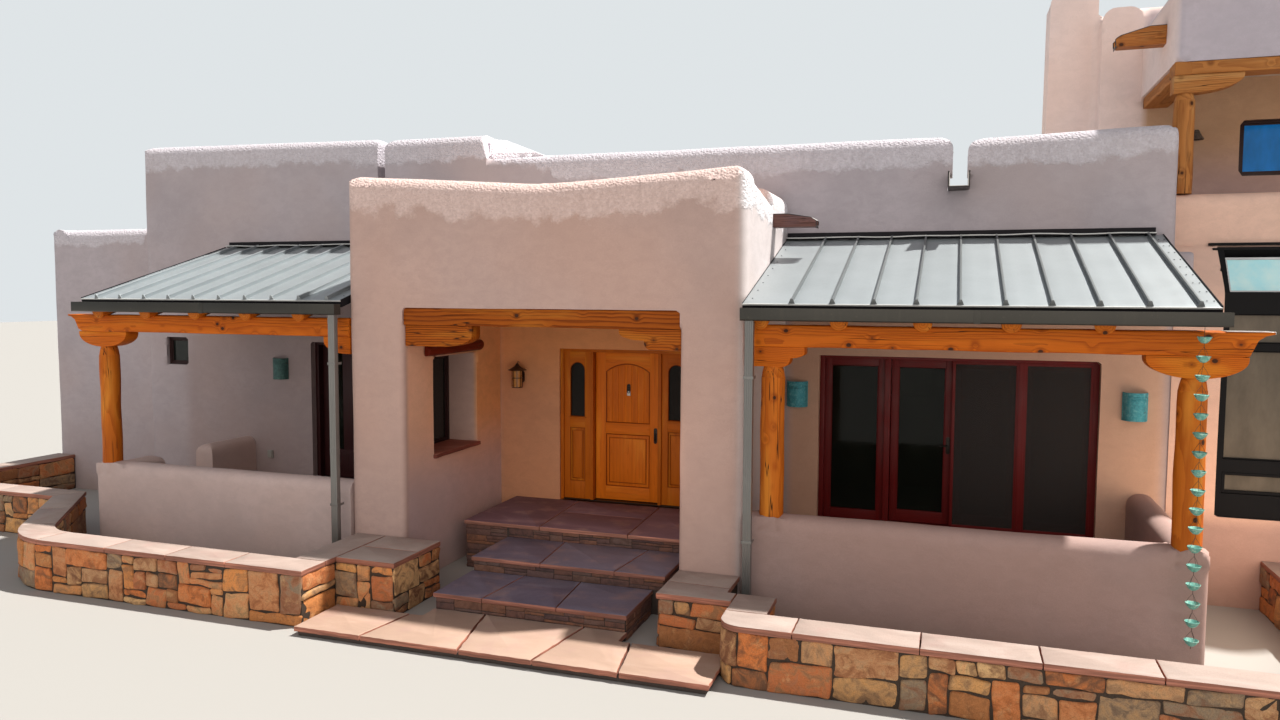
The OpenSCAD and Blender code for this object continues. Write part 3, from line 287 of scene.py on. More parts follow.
    def tube(self, path: Sequence[Vector | Point], radius: float | Sequence[float], sides: int = 12,
             ease: float = 0.0, rough: float = 0.0, pitch: float = 3.0, **grain: object) -> None:
        """Adds a round bar along a path, closed at both ends.

        Args:
            path: Points of its middle line.
            radius: One radius, or one for each point.
            sides: Sides around it.
            ease: How far its ends are rounded off.
            rough: How far its surface may stray.
            pitch: How quickly that unevenness changes, in waves a metre.
            **grain: The grain's along, pith and tone.
        """
        points = [Vector(p) for p in path]
        radii = [radius] * len(points) if isinstance(radius, (int, float)) else list(radius)
        if ease:
            first = (points[1] - points[0]).normalized() * ease
            last = (points[-1] - points[-2]).normalized() * ease
            points = [points[0], points[0] + first, *points[1:-1], points[-1] - last, points[-1]]
            radii = [radii[0] - ease, radii[0], *radii[1:-1], radii[-1], radii[-1] - ease]
        normal = (points[1] - points[0]).orthogonal().normalized()
        offset = Vector((self.rng.uniform(-50, 50), self.rng.uniform(-50, 50), 0))
        rings: list[list[Vector]] = []
        for i, p in enumerate(points):
            before, after = points[max(0, i - 1)], points[min(len(points) - 1, i + 1)]
            way = (after - before).normalized()
            normal = (normal - way * normal.dot(way)).normalized()
            side = way.cross(normal)
            ring = []
            for k in range(sides):
                a = 2 * math.pi * k / sides
                out = normal * math.cos(a) + side * math.sin(a)
                reach = radii[i] + (noise.noise((p + out * 0.2) * pitch + offset) * rough if rough else 0)
                ring.append(p + out * reach)
            rings.append(ring)
        self.loft(rings, along=grain.pop("along", points[-1] - points[0]),
                  pith=grain.pop("pith", points[len(points) // 2]), **grain)

    def loft(self, rings: Sequence[Sequence[Vector]], closed: bool = False, **grain: object) -> None:
        """Joins rings of points into a solid.

        Args:
            rings: The rings, each of the same number of points.
            closed: Whether the last ring joins the first; the ends are filled otherwise.
            **grain: The grain's along, pith and tone.
        """
        n = len(rings[0])
        verts = [v for ring in rings for v in ring]
        faces = []
        for i in range(len(rings) if closed else len(rings) - 1):
            j = (i + 1) % len(rings)
            faces += [[i * n + k, i * n + (k + 1) % n, j * n + (k + 1) % n, j * n + k]
                      for k in range(n)]
        if not closed:
            faces.append(list(range(n))[::-1])
            faces.append([(len(rings) - 1) * n + k for k in range(n)])
        self.solid(verts, faces, **grain)

    def lathe(self, profile: Sequence[Flat], centre: Point, sides: int = 24, sweep: Span = (0.0, 360.0),
              **grain: object) -> None:
        """Turns a closed profile of radius and height around an upright line.

        Args:
            profile: Points of the profile, the last joined to the first.
            centre: Foot of the line.
            sides: Steps around it.
            sweep: First and last angle; the ends are closed if it isn't a full turn.
            **grain: The grain's along, pith and tone.
        """
        whole = sweep[1] - sweep[0] >= 360
        rings = []
        for k in range(sides if whole else sides + 1):
            a = math.radians(sweep[0] + (sweep[1] - sweep[0]) * k / sides)
            rings.append([Vector((centre[0] + r * math.cos(a), centre[1] + r * math.sin(a),
                                  centre[2] + z)) for r, z in profile])
        grain.setdefault("along", UP)
        self.loft(rings, closed=whole, **grain)

    def make(self, name: str, finish: "Finish", node: str = "", body: Body = Body.HOUSE,
             crease: float = 38.0) -> None:
        """Makes the Blender piece.

        Args:
            name: Name of the piece.
            finish: Its material.
            node: CAD node that it is shown in place of, if any.
            body: CAD body that it rides on.
            crease: Angle in degrees above which an edge stays sharp.
        """
        mesh = bpy.data.meshes.new(name)
        mesh.from_pydata([v + PLAN_ORIGIN for v in self.verts], [], self.faces)
        for title, kind, values in (("grain", "FLOAT_VECTOR", [c for g in self.grain for c in g]),
                                    ("tone", "FLOAT", self.tone)):
            layer = mesh.attributes.new(title, kind, "POINT")
            layer.data.foreach_set("vector" if kind == "FLOAT_VECTOR" else "value", values)
        bm = bmesh.new()
        bm.from_mesh(mesh)
        bmesh.ops.recalc_face_normals(bm, faces=bm.faces)
        bm.to_mesh(mesh)
        bm.free()
        dress(mesh, name, finish, (node,) if node else (), body, crease)


def dress(mesh: bpy.types.Mesh, name: str, finish: "Finish", nodes: Sequence[str] = (),
          body: Body = Body.HOUSE, crease: float = 38.0) -> None:
    """Turns a mesh in the row frame into a finished piece that rides on its body.

    Args:
        mesh: The mesh.
        name: Name of the piece.
        finish: Its material.
        nodes: CAD nodes that it is shown in place of.
        body: CAD body that it rides on.
        crease: Angle in degrees above which an edge stays sharp.
    """
    mesh.polygons.foreach_set("use_smooth", [True] * len(mesh.polygons))
    mesh.set_sharp_from_angle(angle=math.radians(crease))
    mesh.materials.clear()
    mesh.materials.append(finish.material())
    piece = bpy.data.objects.new(name, mesh)
    bpy.context.scene.collection.objects.link(piece)
    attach(piece, body.value)
    if nodes:
        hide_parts(*nodes)
    log.info("%s: %d faces", name, len(mesh.polygons))


def finish_node(node: str, finish: "Finish", edge: float = 0.0) -> None:
    """Gives a CAD node its finish, and eased edges.

    Args:
        node: Name of the node.
        finish: Its material.
        edge: Width of the eased edges, or 0.
    """
    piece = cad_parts[node]
    piece.data.materials.clear()
    piece.data.materials.append(finish.material())
    if edge:
        bevel = piece.modifiers.new("eased_edges", "BEVEL")
        bevel.width = edge
        bevel.segments = 2
        bevel.limit_method = "ANGLE"
        bevel.angle_limit = math.radians(40)
        bevel.harden_normals = True
    log.info("%s: CAD node in %s", node, finish.title)


# Materials


class Graph:
    """Writes the nodes of one material."""

    def __init__(self, title: str) -> None:
        """Starts a material with a shader.

        Args:
            title: Name of the material.
        """
        self.material = bpy.data.materials.new(title)
        self.material.use_nodes = True
        self.tree = self.material.node_tree
        self.tree.nodes.clear()
        self.shader = self.tree.nodes.new("ShaderNodeBsdfPrincipled")
        out = self.tree.nodes.new("ShaderNodeOutputMaterial")
        self.tree.links.new(self.shader.outputs[0], out.inputs["Surface"])

    def node(self, kind: str, inputs: dict | None = None, **settings: object) -> bpy.types.Node:
        """Adds a node.

        Args:
            kind: Blender's name of the node, without its prefix.
            inputs: A value or a socket for each input.
            **settings: Values of its settings.

        Returns:
            The node.
        """
        made = self.tree.nodes.new("ShaderNode" + kind)
        for key, value in settings.items():
            setattr(made, key, value)
        for key, value in (inputs or {}).items():
            self.plug(made.inputs[key], value)
        return made

    def plug(self, socket: Socket, value: object) -> None:
        """Links a socket to an input, or sets its value.

        Args:
            socket: The socket.
            value: A socket to link, or a value to set.
        """
        if isinstance(value, Socket):
            self.tree.links.new(value, socket)
        elif socket.type == "RGBA" and len(value) == 3:
            socket.default_value = (*value, 1.0)
        else:
            socket.default_value = value

    def set(self, **inputs: object) -> None:
        """Fills inputs of the shader, with underscores in place of the spaces in their names."""
        for key, value in inputs.items():
            self.plug(self.shader.inputs[key.replace("_", " ")], value)

    def place(self, scale: Sequence[float] | None = None) -> Socket:
        """Coordinates of the house, scaled.

        Args:
            scale: Factor for each axis.

        Returns:
            A vector socket.
        """
        return self.scaled(self.node("TexCoord").outputs["Object"], scale)

    def along(self, scale: Sequence[float] | None = None) -> Socket:
        """Coordinates along and across the grain of each board, scaled.

        Args:
            scale: Factor for each direction.

        Returns:
            A vector socket.
        """
        return self.scaled(self.node("Attribute", attribute_name="grain").outputs["Vector"], scale)

    def scaled(self, vector: Socket, scale: Sequence[float] | None) -> Socket:
        """A vector with each of its parts scaled.

        Args:
            vector: The vector.
            scale: Factor for each part, or None.

        Returns:
            A vector socket.
        """
        if scale is None:
            return vector
        return self.node("Mapping", {"Vector": vector, "Scale": scale}).outputs[0]

    def value(self, attribute: str) -> Socket:
        """Value of an attribute of the mesh."""
        return self.node("Attribute", attribute_name=attribute).outputs["Fac"]

    def noise(self, vector: Socket, scale: float, detail: float = 4, rough: float = 0.55,
              warp: float = 0.0) -> Socket:
        """Cloudy values around a half."""
        made = self.node("TexNoise", {"Vector": vector, "Scale": scale, "Detail": detail,
                                      "Roughness": rough, "Distortion": warp})
        return made.outputs[0]

    def cells(self, vector: Socket, scale: float, output: str = "Distance",
              feature: str = "F1") -> Socket:
        """Distance, or another output, of scattered cells."""
        made = self.node("TexVoronoi", {"Vector": vector, "Scale": scale}, feature=feature)
        return made.outputs[output]

    def math(self, operation: str, a: object, b: object = 0.0, c: object = 0.0) -> Socket:
        """One sum, held between its natural limits.

        Args:
            operation: Blender's name of the sum.
            a: First value.
            b: Second value.
            c: Third value.

        Returns:
            A value socket.
        """
        made = self.node("Math", operation=operation)
        for socket, value in zip(made.inputs, (a, b, c)):
            self.plug(socket, value)
        return made.outputs[0]

    def times(self, a: object, b: object) -> Socket:
        """Two values multiplied."""
        return self.math("MULTIPLY", a, b)

    def add(self, a: object, b: object) -> Socket:
        """Two values added."""
        return self.math("ADD", a, b)

    def rest(self, value: object) -> Socket:
        """What a value leaves of 1."""
        return self.math("SUBTRACT", 1.0, value)

    def span(self, value: object, low: float, high: float, to_low: float = 0.0,
             to_high: float = 1.0) -> Socket:
        """A value stretched from one range to another and held there."""
        made = self.node("MapRange", {"Value": value, "From Min": low, "From Max": high,
                                      "To Min": to_low, "To Max": to_high},
                         interpolation_type="SMOOTHSTEP")
        return made.outputs[0]

    def mix(self, factor: object, a: object, b: object, mode: str = "MIX") -> Socket:
        """Two colours mixed.

        Args:
            factor: Share of the second colour.
            a: First colour.
            b: Second colour.
            mode: How they are mixed.

        Returns:
            A colour socket.
        """
        made = self.node("Mix", data_type="RGBA", blend_type=mode)
        self.plug(made.inputs["Factor"], factor)
        self.plug(made.inputs[6], a)
        self.plug(made.inputs[7], b)
        return made.outputs[2]

    def over(self, base: object, colour: object, value: object, low: float, high: float,
             most: float = 1.0) -> Socket:
        """A colour laid over a base where a value goes from low to high, to a share of most."""
        return self.mix(self.span(value, low, high, 0.0, most), base, colour)

    def ramp(self, factor: object, *stops: tuple[float, Colour]) -> Socket:
        """Colours along a value.

        Args:
            factor: The value.
            *stops: Places between 0 and 1, with their colours.

        Returns:
            A colour socket.
        """
        made = self.node("ValToRGB", {"Fac": factor})
        points = made.color_ramp.elements
        while len(points) < len(stops):
            points.new(1.0)
        for point, (place, colour) in zip(points, stops):
            point.position = place
            point.color = (*colour, 1.0)
        return made.outputs[0]

    def bump(self, height: Socket, distance: float, strength: float = 1.0,
             under: Socket | None = None) -> Socket:
        """Relief of a height in metres.

        Args:
            height: Value from 0 to 1.
            distance: Height of 1 in metres.
            strength: How strongly it shows.
            under: Relief that it lies on.

        Returns:
            A normal socket.
        """
        inputs = {"Height": height, "Distance": distance, "Strength": strength}
        if under:
            inputs["Normal"] = under
        return self.node("Bump", inputs).outputs[0]


@dataclass(frozen=True)
class Finish:
    """A material that is made once, when it is first used."""

    title: str
    slot: str

    def shade(self, factor: float) -> Colour:
        """The finish's own colour, made lighter or darker."""
        return tint(self.colour, factor)

    def material(self) -> bpy.types.Material:
        """The material, made if it isn't there yet.

        Returns:
            The material.
        """
        name = self.title + "_finish"
        found = bpy.data.materials.get(name)
        if not found:
            graph = Graph(name)
            self.write(graph)
            found = graph.material
        return found

    def write(self, g: Graph) -> None:
        """Writes the nodes."""
        raise NotImplementedError


def tint(colour: Colour, factor: float) -> Colour:
    """A colour made lighter or darker."""
    return (min(1.0, colour[0] * factor), min(1.0, colour[1] * factor), min(1.0, colour[2] * factor))


@dataclass(frozen=True)
class Stucco(Finish):
    """Hand-trowelled earth stucco, with a pebbly band along the tops."""

    colour: Colour

    def write(self, g: Graph) -> None:
        """Writes clouds of colour, trowel marks, sand and a little dirt.

        Args:
            g: Nodes of the material.
        """
        here = g.place()
        clouds = g.noise(here, 0.9, 5, 0.6)
        trowel = g.noise(g.place((1.0, 1.0, 1.6)), 6.0, 4, 0.6, 0.6)
        sand = g.noise(here, 170.0, 3, 0.7)
        pebbles = g.cells(here, 42.0, feature="SMOOTH_F1")
        rim = g.value("rim")
        height = g.node("SeparateXYZ", {"Vector": here}).outputs["Z"]
        streaks = g.noise(g.place((5.0, 5.0, 0.35)), 1.6, 4, 0.6)
        base = g.ramp(clouds, (0.3, self.shade(0.86)), (0.52, self.colour),
                      (0.72, self.shade(1.08)))
        base = g.over(base, self.shade(0.82), trowel, 0.35, 0.7, 0.5)
        warm = (self.colour[0] * 1.02, self.colour[1] * 0.9, self.colour[2] * 0.8)
        base = g.over(base, warm, g.noise(here, 0.35, 3), 0.4, 0.66, 0.5)
        base = g.over(base, self.shade(0.6), sand, 0.38, 0.62, 0.26)
        # The band along the tops: its pebbly relief is real, while its pale colour and specks are a painted
        # highlight of the sunlit rounded tops.
        ragged = g.math("MULTIPLY_ADD", g.noise(here, 2.6, 5, 0.7), 1.5, g.math("SUBTRACT", rim, 0.75))
        band = g.times(g.span(ragged, 0.36, 0.62), g.span(rim, 0.02, 0.2))
        speck = g.span(g.noise(here, 24.0, 4, 0.7), 0.4, 0.66, 0.0, 0.42)
        red, green, blue = self.colour
        painted_top_highlight: Colour = (red * 1.14 + 0.08, green * 1.16 + 0.1, blue * 1.16 + 0.115)
        base = g.mix(g.times(band, 0.55), base, painted_top_highlight)
        base = g.mix(g.times(band, speck), base, tint(painted_top_highlight, 1.18))
        stain = g.times(g.span(streaks, 0.52, 0.75), rim)
        base = g.mix(g.times(stain, 0.2), base, self.shade(0.6))
        splash = g.times(g.span(height, 0.42, 0.02), g.span(clouds, 0.3, 0.62))
        base = g.mix(g.times(splash, 0.45), base, (0.33, 0.24, 0.19))
        # Multiplies in the painted light and shade that each skin stores for each point.
        base = g.mix(1.0, base, g.node("Attribute", attribute_name="painted_light").outputs["Color"], "MULTIPLY")
        relief = g.math("MULTIPLY_ADD", trowel, 0.75, g.times(sand, 0.22))
        coarse = g.times(g.rest(pebbles), band)
        under = g.bump(relief, 0.0045)
        g.set(Base_Color=base, Roughness=g.span(sand, 0.3, 0.7, 0.8, 0.96),
              Normal=g.bump(coarse, 0.015, 1.0, under))


@dataclass(frozen=True)
class Timber(Finish):
    """Stained pine with rings, fibres, knots and checks."""

    light: Colour
    dark: Colour
    knot: Colour = (0.06, 0.022, 0.01)
    rings: float = 55.0
    knots: float = 1.0
    checks: float = 1.0
    rough: float = 0.42
    figure: float = 1.0

    def write(self, g: Graph) -> None:
        """Writes growth rings round the pith, with fibres along the grain.

        Args:
            g: Nodes of the material.
        """
        tone = g.value("tone")
        slow = g.noise(g.along((0.9, 5.0, 5.0)), 1.0, 3, 0.5)
        fibre = g.noise(g.along((4.0, 210.0, 210.0)), 1.0, 4, 0.6)
        parts = g.node("SeparateXYZ", {"Vector": g.along()})
        across = g.node("CombineXYZ", {"X": parts.outputs["Y"], "Y": parts.outputs["Z"]}).outputs[0]
        out = g.node("VectorMath", {0: across}, operation="LENGTH").outputs["Value"]
        spots = g.cells(g.along((4.2, 5.2, 5.2)), 1.0)
        pull = g.span(spots, 0.0, 0.4, 0.022, 0.0)
        turns = g.add(g.add(out, g.times(slow, 0.055)), pull)
        ring = g.math("FRACT", g.times(turns, self.rings))
        late = g.span(ring, 0.3, 0.97, 0.0, 1.0)
        mixed = g.add(g.times(late, 0.34 * self.figure), g.times(fibre, 0.74))
        base = g.ramp(mixed, (0.18, self.light), (0.5, tint(self.light, 0.8)), (0.88, self.dark))
        base = g.mix(g.times(tone, 0.45), base, g.mix(0.5, base, self.dark))
        base = g.over(base, g.mix(0.6, base, self.dark), slow, 0.45, 0.75, 0.5)
        pale = (self.light[0] * 1.15, self.light[1] * 1.75, self.light[2] * 2.6)
        base = g.over(base, pale, slow, 0.47, 0.28, 0.45)
        heart = g.span(spots, 0.125, 0.08, 0.0, self.knots)
        halo = g.span(spots, 0.24, 0.12, 0.0, 0.55 * self.knots)
        base = g.mix(halo, base, tint(self.dark, 0.7))
        base = g.mix(heart, base, self.knot)
        lines = g.noise(g.along((0.45, 17.0, 17.0)), 1.0, 2, 0.4)
        ridge = g.math("ABSOLUTE", g.math("SUBTRACT", lines, 0.5))
        where = g.span(g.noise(g.along((0.8, 3.0, 3.0)), 1.0, 2), 0.5, 0.58)
        check = g.times(g.span(ridge, 0.01, 0.002, 0.0, self.checks), where)
        base = g.mix(check, base, tint(self.knot, 0.7))
        relief = g.bump(g.add(g.times(fibre, 0.5), g.times(late, 0.5)), 0.0012)
        relief = g.bump(g.rest(check), 0.006, 0.9, relief)
        g.set(Base_Color=base, Specular_IOR_Level=0.12,
              Roughness=g.span(fibre, 0.3, 0.7, self.rough - 0.06, self.rough + 0.16),
              Normal=g.bump(g.rest(heart), 0.003, 0.6, relief))


@dataclass(frozen=True)
class Painted(Finish):
    """Painted or stained joinery, with the grain just showing."""

    colour: Colour
    rough: float = 0.36

    def write(self, g: Graph) -> None:
        """Writes a coat with faint grain and worn, dusty places.

        Args:
            g: Nodes of the material.
        """
        fibre = g.noise(g.along((3.0, 120.0, 120.0)), 1.0, 4, 0.6)
        patch = g.noise(g.place(), 3.0, 4, 0.6)
        tone = g.value("tone")
        base = g.ramp(fibre, (0.32, self.shade(0.74)), (0.66, self.shade(1.2)))
        base = g.mix(g.times(tone, 0.3), base, self.shade(0.68))
        base = g.over(base, self.shade(2.4), patch, 0.52, 0.8, 0.14)
        g.set(Base_Color=base, Specular_IOR_Level=0.25,
              Roughness=g.span(patch, 0.3, 0.7, self.rough - 0.06, self.rough + 0.18),
              Normal=g.bump(fibre, 0.0008, 0.8))


@dataclass(frozen=True)
class SheetMetal(Finish):
    """Coated sheet metal, a little uneven and dusty."""

    colour: Colour
    dust: Colour = (0.42, 0.4, 0.37)
    metal: float = 0.55
    rough: float = 0.34
    waves: float = 0.0025
    shine: float = 0.5

    def write(self, g: Graph) -> None:
        """Writes weak clouds, dust, runs and the waves of thin sheet.

        Args:
            g: Nodes of the material.
        """
        here = g.place()
        clouds = g.noise(here, 2.2, 4, 0.6)
        specks = g.noise(here, 60.0, 3, 0.6)
        runs = g.noise(g.place((11.0, 0.9, 0.9)), 1.2, 5, 0.65)
        tone = g.value("tone")
        base = g.ramp(clouds, (0.32, self.shade(0.95)), (0.68, self.shade(1.05)))
        base = g.mix(g.times(tone, 0.25), base, self.shade(0.72))
        base = g.over(base, self.dust, runs, 0.54, 0.84, 0.12)
        base = g.over(base, self.dust, specks, 0.64, 0.76, 0.35)
        g.set(Base_Color=base, Metallic=self.metal, Specular_IOR_Level=self.shine,
              Roughness=g.span(specks, 0.35, 0.7, self.rough - 0.02, self.rough + 0.06),
              Normal=g.bump(g.noise(here, 1.7, 2, 0.5), self.waves * 2, 0.6))


@dataclass(frozen=True)
class Patina(Finish):
    """Copper gone green and blue, with bare brown and pale runs."""

    colour: Colour
    pale: Colour
    bare: Colour = (0.16, 0.085, 0.045)

    def write(self, g: Graph) -> None:
        """Writes blotches and upright runs.

        Args:
            g: Nodes of the material.
        """
        here = g.place()
        blotch = g.noise(here, 26.0, 5, 0.65, 0.8)
        runs = g.noise(g.place((40.0, 40.0, 5.0)), 1.0, 4, 0.6)
        base = g.ramp(blotch, (0.3, self.shade(0.62)), (0.5, self.colour), (0.7, self.pale))
        base = g.over(base, self.pale, runs, 0.55, 0.74, 0.65)
        base = g.over(base, self.bare, blotch, 0.4, 0.28, 0.7)
        g.set(Base_Color=base, Metallic=0.25, Roughness=g.span(blotch, 0.3, 0.7, 0.42, 0.75),
              Normal=g.bump(blotch, 0.0015))


@dataclass(frozen=True)
class Flagstone(Finish):
    """Red-pink sandstone slabs: sawn tops, broken edges."""

    top: Colour
    pale: Colour
    edge: Colour

    def write(self, g: Graph) -> None:
        """Writes soft beds of colour on top and rough layers on the edges.

        Args:
            g: Nodes of the material.
        """
        here = g.place()
        tone = g.value("tone")
        beds = g.noise(g.place((1.0, 2.2, 9.0)), 1.4, 5, 0.6, 0.8)
        grit = g.noise(here, 150.0, 3, 0.6)
        layers = g.noise(g.place((1.5, 1.5, 42.0)), 1.0, 4, 0.6, 0.3)
        up = g.node("SeparateXYZ", {"Vector": g.node("NewGeometry").outputs["True Normal"]}).outputs["Z"]
        surface = g.ramp(beds, (0.3, tint(self.top, 0.78)), (0.5, self.top), (0.7, self.pale))
        surface = g.mix(g.times(tone, 0.55), surface, self.pale)
        surface = g.over(surface, (0.4, 0.25, 0.22), g.noise(here, 3.2, 4), 0.5, 0.72, 0.42)
        surface = g.over(surface, tint(self.top, 0.55), grit, 0.42, 0.62, 0.14)
        side = g.ramp(layers, (0.32, tint(self.edge, 0.6)), (0.52, self.edge), (0.7, tint(self.edge, 1.75)))
        base = g.over(side, surface, up, 0.55, 0.8)
        under = g.bump(g.add(g.times(beds, 0.8), g.times(grit, 0.25)), 0.004)
        g.set(Base_Color=base, Roughness=g.span(grit, 0.3, 0.7, 0.66, 0.88),
              Normal=g.bump(layers, 0.004, 0.5, under))


@dataclass(frozen=True)
class Masonry(Finish):
    """Rough split stones of many browns; a stone's tone picks its colour."""

    stops: tuple[tuple[float, Colour], ...] = (
        (0.0, (0.2, 0.1, 0.05)), (0.13, (0.7, 0.205, 0.048)), (0.27, (0.52, 0.3, 0.15)),
        (0.4, (0.78, 0.3, 0.08)), (0.52, (0.3, 0.12, 0.05)), (0.63, (0.8, 0.5, 0.23)),
        (0.74, (0.6, 0.18, 0.055)), (0.85, (0.27, 0.2, 0.13)), (1.0, (0.72, 0.36, 0.12)),
    )
    stain: Colour = (0.105, 0.042, 0.022)
    pale: Colour = (0.74, 0.44, 0.2)

    def write(self, g: Graph) -> None:
        """Writes each stone's colour with bands, stains and grit.

        Args:
            g: Nodes of the material.
        """
        here = g.place()
        tone = g.value("tone")
        bands = g.noise(g.along((1.2, 1.2, 1.2)), 5.0, 5, 0.62, 1.2)
        blotch = g.noise(here, 9.0, 5, 0.65)
        grit = g.noise(here, 130.0, 3, 0.65)
        base = g.ramp(g.add(tone, g.span(bands, 0.25, 0.75, -0.05, 0.05)), *self.stops)
        base = g.mix(g.span(bands, 0.34, 0.56, 0.55, 0.0), base, self.stain)
        base = g.over(base, self.pale, blotch, 0.54, 0.72, 0.45)
        base = g.over(base, self.stain, grit, 0.42, 0.66, 0.32)
        cracks = g.cells(g.along(), 11.0, feature="DISTANCE_TO_EDGE")
        crack = g.times(g.span(cracks, 0.035, 0.006), g.span(blotch, 0.42, 0.56))
        base = g.mix(g.times(crack, 0.22), base, tint(self.stain, 0.6))
        under = g.bump(g.add(bands, g.times(grit, 0.3)), 0.016)
        g.set(Base_Color=base, Roughness=g.span(grit, 0.3, 0.7, 0.72, 0.92),
              Normal=g.bump(g.rest(crack), 0.003, 0.4, under))


@dataclass(frozen=True)
class Plain(Finish):
    """A mineral surface such as mortar, roofing felt or tile, with clouds and grit."""

    colour: Colour
    rough: float = 0.85
    grit: float = 90.0

    def write(self, g: Graph) -> None:
        """Writes clouds and grit.

        Args:
            g: Nodes of the material.
        """
        here = g.place()
        clouds = g.noise(here, 3.0, 5, 0.6)
        grit = g.noise(here, self.grit, 3, 0.65)
        base = g.ramp(clouds, (0.3, self.shade(0.84)), (0.7, self.shade(1.16)))
        base = g.over(base, self.shade(0.6), grit, 0.42, 0.64, 0.3)
        g.set(Base_Color=base, Roughness=g.span(grit, 0.3, 0.7, self.rough - 0.12, self.rough + 0.08),
              Normal=g.bump(grit, 0.003, 0.8))


@dataclass(frozen=True)
class Glass(Finish):
    """Window glass over a dim room."""

    colour: Colour
    see: float
    shine: float = 0.35

    def write(self, g: Graph) -> None:
        """Writes a dark clear sheet with faint smears.

        Args:
            g: Nodes of the material.
        """
        smear = g.noise(g.place((1.0, 1.0, 0.4)), 5.0, 4, 0.6)
        base = g.ramp(smear, (0.35, self.colour), (0.75, self.shade(1.5)))
        g.set(Base_Color=base, Roughness=g.span(smear, 0.35, 0.75, 0.03, 0.12), Alpha=1.0 - self.see,
              Specular_IOR_Level=self.shine, Normal=g.bump(g.noise(g.place(), 1.5, 1), 0.004, 0.25))


# Walls


